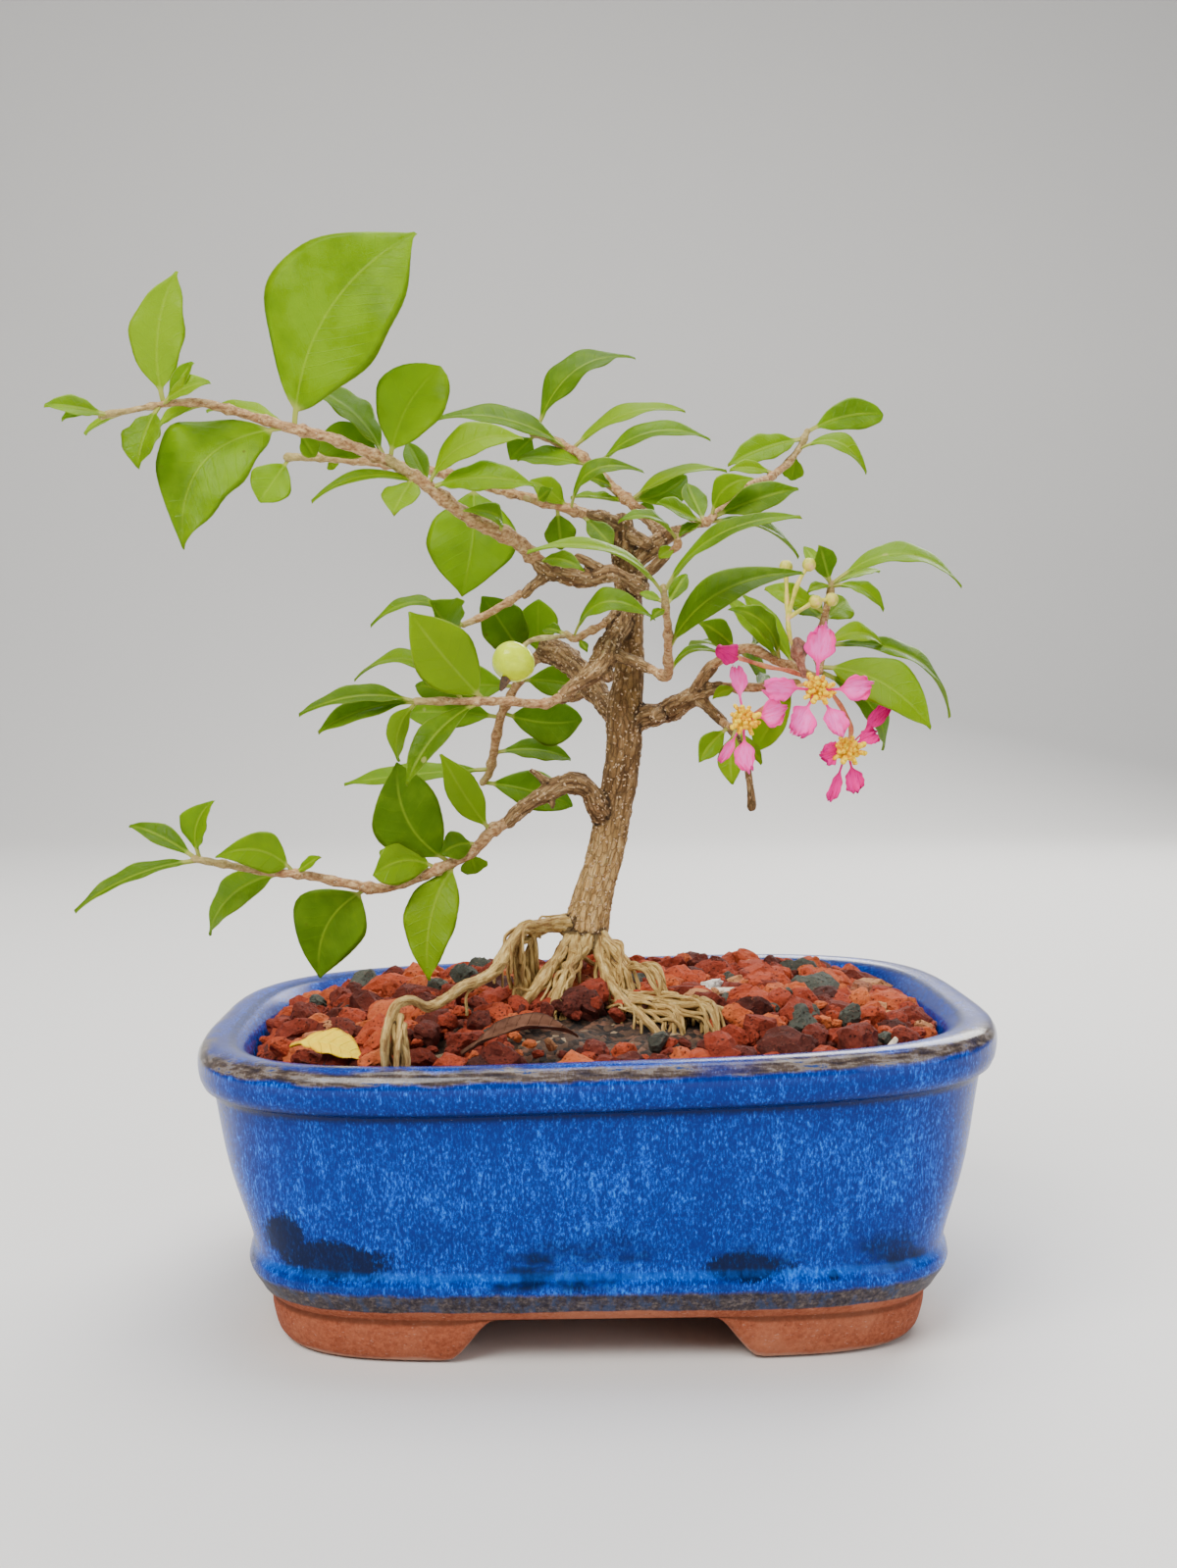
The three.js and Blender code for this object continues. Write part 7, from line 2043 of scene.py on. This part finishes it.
class BONSAI_OT_blooms(PieceOperator):
    """Build the three flowers with their stamens and stalks, the spent flowers and the buds"""

    bl_idname = "bonsai.blooms"
    bl_label = "Flowers and Buds"

    def execute(self, context):
        settings = context.scene.bonsai_bloom
        # The last number of each petal skin is the strength of its painted glow
        pink = petal_material("petal_pink", (1.0, 0.22, 0.70), tuple(settings.pink), (0.80, 0.0, 0.30), 0.2)
        magenta = petal_material(
            "petal_magenta", (1.0, 0.02, 0.40), tuple(settings.magenta), (0.46, 0.0, 0.13), 0.12
        )
        anthers = plain_skin("anther_yellow", [
            (0.33, (0.80, 0.30, 0.0)), (0.48, tuple(settings.anther)), (0.62, (1.0, 0.80, 0.02)),
        ], 0.9, 0.6, Specular_IOR_Level=0.08)
        stamen = stamen_object()
        for k, (name, bloom) in enumerate(BLOOMS.items()):
            centre = np.array(place(*bloom["centre"]))
            petals = Shell("blade", "look")
            for j, (across, up, depth, width) in enumerate(bloom["petals"]):
                tip = np.array(place(across, up, depth))
                add_petal(petals, centre, tip, width * scale_at(depth) * MM, name + str(j))
            skin = magenta if name == "bloom_c" else pink
            slot = "petal_magenta" if name == "bloom_c" else "petal_pink"
            piece = new_object(name + "_dressed_petals", petals.mesh(name), skin)
            keep(piece, slot, name + "_petals")
            mesh = grown_mesh(name + "_stamens", stamen_tree(), {
                "Stamen": stamen,
                "Count": settings.stamens,
                "Disc radius": STAMEN_REACH * MM,
                "Height": STAMEN_HEIGHT * MM,
                "Centre": tuple(centre - np.array([0, STAMEN_LEAD * MM, 0])),
                "Seed": k,
                "Material": anthers,
            })
            mesh.shade_smooth()
            keep(new_object(name + "_stamens", mesh), "anther_yellow", name + "_anthers")
            disc = lobed_ball(Vector(centre), [r * MM for r in DISC_RADII], 5, 0.14, 20, 40)
            disc.materials.append(anthers)
            keep(new_object(name + "_disc", disc), "anther_yellow")
        bpy.data.objects.remove(stamen)

        stalk = plain_skin("flower_stalk", [
            (0.35, (0.46, 0.10, 0.05)), (0.52, (0.74, 0.24, 0.11)), (0.7, (0.80, 0.50, 0.12)),
        ], 0.3, 0.55)
        thin_stalks("flower_stalks", BLOOM_STALKS, stalk, "flower_stalk", ["bloom_stalks"], stalk_swell)
        withered = (withered_swell, 24)
        thin_stalks("spent_flower", [WILTED_BLOOM], magenta, "petal_magenta", ["wilted_bloom"], *withered)
        dry = plain_skin("dried_flower", [
            (0.35, (0.12, 0.045, 0.03)), (0.55, (0.36, 0.16, 0.10)), (0.75, (0.62, 0.42, 0.26)),
        ], 0.5, 0.8)
        thin_stalks("dried_flower", [DRIED_BLOOM], dry, "dried_flower", ["dried_bloom"], *withered)

        bud_skin = plain_skin("flower_bud", [
            (0.35, (0.44, 0.46, 0.02)), (0.52, (0.66, 0.60, 0.06)), (0.72, (0.88, 0.50, 0.24)),
        ], 0.35, 0.5)
        buds = Shell("blade", "look")
        for path in BUD_STALKS:
            add_stalk(buds, path, 0.5, 12, stalk_swell)
        for across, up, depth in BUD_TIPS:
            ball = lobed_ball(place(across, up, depth), [r * MM for r in BUD_RADII], 5, 0.08, 18, 30)
            buds.add(mesh_vectors(ball), [tuple(face.vertices) for face in ball.polygons])
        keep(new_object("buds_on_stalks", buds.mesh("buds"), bud_skin), "flower_bud", "flower_buds")
        return {"FINISHED"}


def fruit_material(settings):
    """Shiny unripe skin, mottled lighter and yellower, with tiny pale dots."""
    tree, spot = new_material("fruit_green")
    mottle = tree.noise(spot, 0.16)
    dots = tree.smooth(tree.cells(spot, 1.3), 0.2, 0.08)
    main = tuple(settings.fruit)
    colour = tree.blend(tree.smooth(mottle, 0.35, 0.7), main, tuple(min(1, c * 1.35) for c in main))
    colour = tree.layered(
        colour,
        (dots * 0.25, (0.80, 0.90, 0.05)),
        (tree.smooth(mottle, 0.62, 0.75) * 0.3, (0.62, 0.52, 0.0)),
    )
    normal = tree.bump(mottle * 0.4 + dots * 0.3, 0.0003, 0.4)
    coat = {"Coat_Weight": 0.22, "Coat_Roughness": 0.08}
    rough = 0.2 + (mottle - 0.5) * 0.1
    return tree.finished(tree.skin(colour, rough, normal, Specular_IOR_Level=0.1, **coat))


class BONSAI_OT_fruit(PieceOperator):
    """Build the unripe fruit with its stalk and dried tip"""

    bl_idname = "bonsai.fruit"
    bl_label = "Fruit"

    def execute(self, context):
        settings = context.scene.bonsai_bloom
        centre = place(*FRUIT)
        radius = 4.7 * scale_at(FRUIT[2]) * MM
        stem_way = (place(*FRUIT_STALK[0][:3]) - place(*FRUIT_TIP[0][:3])).normalized()
        ball = lobed_ball(centre, (radius, radius, radius * 0.92), 3, 0.035, 48, 72, stem_way)
        ball.name = "fruit_skin"
        fruit = new_object("unripe_fruit", ball, fruit_material(settings))
        keep(fruit, "fruit_green", "fruit")
        stem = plain_skin("fruit_stalk", [
            (0.35, (0.20, 0.12, 0.05)), (0.55, (0.42, 0.36, 0.12)), (0.72, (0.55, 0.55, 0.2)),
        ], 0.5, 0.6)
        thin_stalks("fruit_stalk", [FRUIT_STALK], stem, "fruit_green", [], stalk_swell)
        dry = plain_skin("dried_tip", [
            (0.35, (0.05, 0.03, 0.02)), (0.55, (0.16, 0.08, 0.04)), (0.75, (0.36, 0.22, 0.12)),
        ], 0.8, 0.8)
        thin_stalks("fruit_dried_tip", [FRUIT_TIP], dry, "dried_flower", [], withered_swell)
        return {"FINISHED"}


# What lies on the gravel, and the screens over the drain holes


class BONSAI_OT_litter(PieceOperator):
    """Build the fallen leaves, the perlite chip, the pale stick and the white twig"""

    bl_idname = "bonsai.litter"
    bl_label = "Fallen Leaves and Bits"

    def execute(self, context):
        settings = context.scene.bonsai_leaf
        yellow = fallen_material("fallen_yellow", (0.92, 0.60, 0.0), (0.98, 0.76, 0.03), (0.62, 0.25, 0.0))
        brown = fallen_material(
            "fallen_brown", (0.085, 0.032, 0.016), (0.17, 0.075, 0.042), (0.03, 0.012, 0.007)
        )
        for name, row, skin, slot in (
            ("yellow_leaf", FALLEN_YELLOW_LEAF, yellow, "fallen_leaf_yellow"),
            ("brown_leaf", FALLEN_BROWN_LEAF, brown, "fallen_leaf_brown"),
        ):
            root, tip, width, roll, arch, fold = row
            shell = Shell("blade", "look")
            start = np.array(place(*root))
            end = np.array(place(*tip))
            size = width * scale_at(root[2]) * MM
            add_leaf(shell, start, end, size, roll, arch, fold, 0.0, 0.52, 0.5, name, settings)
            keep(new_object("dry_" + name, shell.mesh(name), skin), slot, "fallen_" + name)

        chip_skin = plain_skin("perlite", [
            (0.35, (0.50, 0.46, 0.40)), (0.5, (0.80, 0.77, 0.71)), (0.7, (0.92, 0.90, 0.86)),
        ], 0.8, 0.85, 0.0008)
        chip = stone_shape("perlite_chip", 21, 4, 4, 1.25)
        low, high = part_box("perlite_chip")
        stretch = Matrix.Diagonal((2.5 * MM, 2.2 * MM, 2.5 * MM, 1))
        chip.transform(Matrix.Translation((low + high) / 2) @ stretch)
        chip.shade_smooth()
        keep(new_object("white_chip", chip, chip_skin), "perlite", "perlite_chip")
        wood = plain_skin("pale_wood", [
            (0.33, (0.36, 0.25, 0.15)), (0.5, (0.70, 0.58, 0.43)), (0.7, (0.86, 0.78, 0.64)),
        ], 0.7, 0.8, 0.0006)
        thin_stalks("bleached_stick", [PALE_STICK], wood, "pale_twig", ["pale_stick"], limb_swell, 20)
        thin_stalks("bleached_twig", [WHITE_TWIG], wood, "pale_twig", ["white_twig"], limb_swell, 16)

        mesh_skin = plain_skin("drain_mesh", [
            (0.35, (0.012, 0.012, 0.012)), (0.55, (0.03, 0.03, 0.03)), (0.75, (0.06, 0.055, 0.05)),
        ], 0.5, 0.5)
        for side in ("left", "right"):
            screen = bpy.data.objects["drain_screen_" + side]
            for place_of in screen.material_slots:
                place_of.material = mesh_skin
        return {"FINISHED"}


def fallen_material(name, main, light, dark):
    """A dry leaf: veined, blotched, and browned at its margin."""
    tree, spot = new_material(name)
    across, along, half = tree.split(tree.attribute("blade"))
    reach = abs(across)
    mottle = tree.noise(spot, 0.25)
    fine = tree.noise(spot, 1.7, 4.0, 0.7)
    veins = tree.smooth(tree.math("PINGPONG", along - reach * 0.7 + mottle, 1.1), 0.16, 0.0)
    midrib = tree.smooth(reach, 0.5, 0.1)
    colour = tree.blend(tree.smooth(mottle, 0.35, 0.68), main, light)
    edge = tree.smooth(half - reach + (mottle - 0.5) * 1.6, 0.7, 0.1)
    colour = tree.layered(
        colour,
        (veins * 0.3 + midrib * 0.4, light),
        (edge * 0.6, dark),
        (tree.smooth(fine, 0.6, 0.72) * 0.5, dark),
    )
    normal = tree.bump(fine * 0.4 - veins * 0.5 - midrib * 0.5, 0.0006, 0.7)
    return tree.finished(tree.skin(colour, 0.6 + (fine - 0.5) * 0.2, normal, Specular_IOR_Level=0.12))


# The stage: floor, light and camera

VIEW_WAY = Vector((0.0361, 0.9979, -0.0534))
# Each light is [name, place, size, power, colour]
LIGHTS = (
    ("key_light", (-0.55, -0.75, 1.05), (0.8, 0.6), 25, (1.0, 0.97, 0.93)),
    ("fill_light", (1.1, -0.8, 0.5), (1.0, 0.9), 8, (0.93, 0.96, 1.0)),
    ("top_light", (0.1, 0.25, 1.3), (1.0, 0.8), 17, (1, 1, 1)),
    ("back_light", (0.5, 1.0, 0.7), (0.8, 0.5), 13, (1.0, 0.98, 0.95)),
)


def floor_material(colour):
    """Pale matt paper with the faintest grain."""
    tree, spot = new_material("studio_floor")
    grain = tree.noise(spot, 0.24)
    soft = tree.blend(grain * 0.06, tuple(colour), tuple(c * 0.8 for c in colour))
    return tree.finished(tree.skin(soft, 0.7 + (grain - 0.5) * 0.05))


def area_light(name, spot, size, power, colour, strength):
    light = bpy.data.lights.new(name, "AREA")
    light.shape = "RECTANGLE"
    light.size, light.size_y = size
    light.energy = power * strength
    light.color = colour
    made = bpy.data.objects.new(name, light)
    made.location = Vector(spot)
    aim = ORIGIN + Vector((0, 0, 0.1))
    made.rotation_euler = (aim - Vector(spot)).to_track_quat("-Z", "Y").to_euler()
    bpy.context.scene.collection.objects.link(made)
    return made


class BONSAI_OT_stage(PieceOperator):
    """Set the pale floor, the soft studio light and the camera"""

    bl_idname = "bonsai.stage"
    bl_label = "Floor, Light and Camera"

    def execute(self, context):
        settings = context.scene.bonsai_stage
        floor = bpy.data.meshes.new("floor")
        reach, rise, bend = 1.6, 1.5, 0.5
        rows = [(-reach, 0.0), (reach - bend, 0.0)]
        for k in range(1, 17):
            turn = k / 16 * math.pi / 2
            rows.append((reach - bend + bend * math.sin(turn), bend * (1 - math.cos(turn))))
        rows.append((reach, rise))
        points = [(x, y, z - 0.0002) for y, z in rows for x in (-2.4, 2.4)]
        faces = [(2 * k, 2 * k + 1, 2 * k + 3, 2 * k + 2) for k in range(len(rows) - 1)]
        floor.from_pydata(points, [], faces)
        floor.shade_smooth()
        new_object("studio_floor", floor, floor_material(settings.floor))

        for light in LIGHTS:
            area_light(*light, settings.light)
        world = bpy.data.worlds.new("soft_room")
        world.use_nodes = True
        backdrop = world.node_tree.nodes["Background"]
        backdrop.inputs["Color"].default_value = (0.9, 0.93, 1.0, 1.0)
        backdrop.inputs["Strength"].default_value = 0.2
        context.scene.world = world

        lens = bpy.data.cameras.new("photo_view")
        lens.sensor_fit = "AUTO"
        lens.sensor_width = 36
        lens.lens = settings.lens
        lens.clip_start = 0.01
        camera = bpy.data.objects.new("photo_view", lens)
        camera.location = EYE * MM + ORIGIN
        camera.rotation_euler = VIEW_WAY.to_track_quat("-Z", "Y").to_euler()
        context.scene.collection.objects.link(camera)
        context.scene.camera = camera
        return {"FINISHED"}


# The add-on: its panel, its registration and the order of building

PIECES = (
    (BONSAI_OT_stage, "bonsai_stage"),
    (BONSAI_OT_pot, "bonsai_pot"),
    (BONSAI_OT_bed, "bonsai_bed"),
    (BONSAI_OT_wood, "bonsai_wood"),
    (BONSAI_OT_sprays, "bonsai_leaf"),
    (BONSAI_OT_blooms, "bonsai_bloom"),
    (BONSAI_OT_fruit, None),
    (BONSAI_OT_litter, None),
)
SETTINGS = {
    "bonsai_pot": PotSettings,
    "bonsai_bed": BedSettings,
    "bonsai_wood": WoodSettings,
    "bonsai_leaf": LeafSettings,
    "bonsai_bloom": BloomSettings,
    "bonsai_stage": StageSettings,
}


class BONSAI_PT_pieces(Panel):
    """Lists each piece of the bonsai with the sizes and colours that it uses"""

    bl_idname = "BONSAI_PT_pieces"
    bl_label = "Flowering Bonsai"
    bl_space_type = "VIEW_3D"
    bl_region_type = "UI"
    bl_category = "Bonsai"

    def draw(self, context):
        for operator, group in PIECES:
            box = self.layout.box()
            box.operator(operator.bl_idname)
            if group:
                settings = getattr(context.scene, group)
                for name in SETTINGS[group].__annotations__:
                    box.prop(settings, name)


def register():
    for name, group in SETTINGS.items():
        bpy.utils.register_class(group)
        setattr(bpy.types.Scene, name, PointerProperty(type=group))
    for operator, _ in PIECES:
        bpy.utils.register_class(operator)
    bpy.utils.register_class(BONSAI_PT_pieces)


def unregister():
    bpy.utils.unregister_class(BONSAI_PT_pieces)
    for operator, _ in reversed(PIECES):
        bpy.utils.unregister_class(operator)
    for name, group in SETTINGS.items():
        delattr(bpy.types.Scene, name)
        bpy.utils.unregister_class(group)


def main():
    register()
    for operator, _ in PIECES:
        group, name = operator.bl_idname.split(".")
        getattr(getattr(bpy.ops, group), name)()
    bpy.context.view_layer.update()


if __name__ == "__main__":
    main()
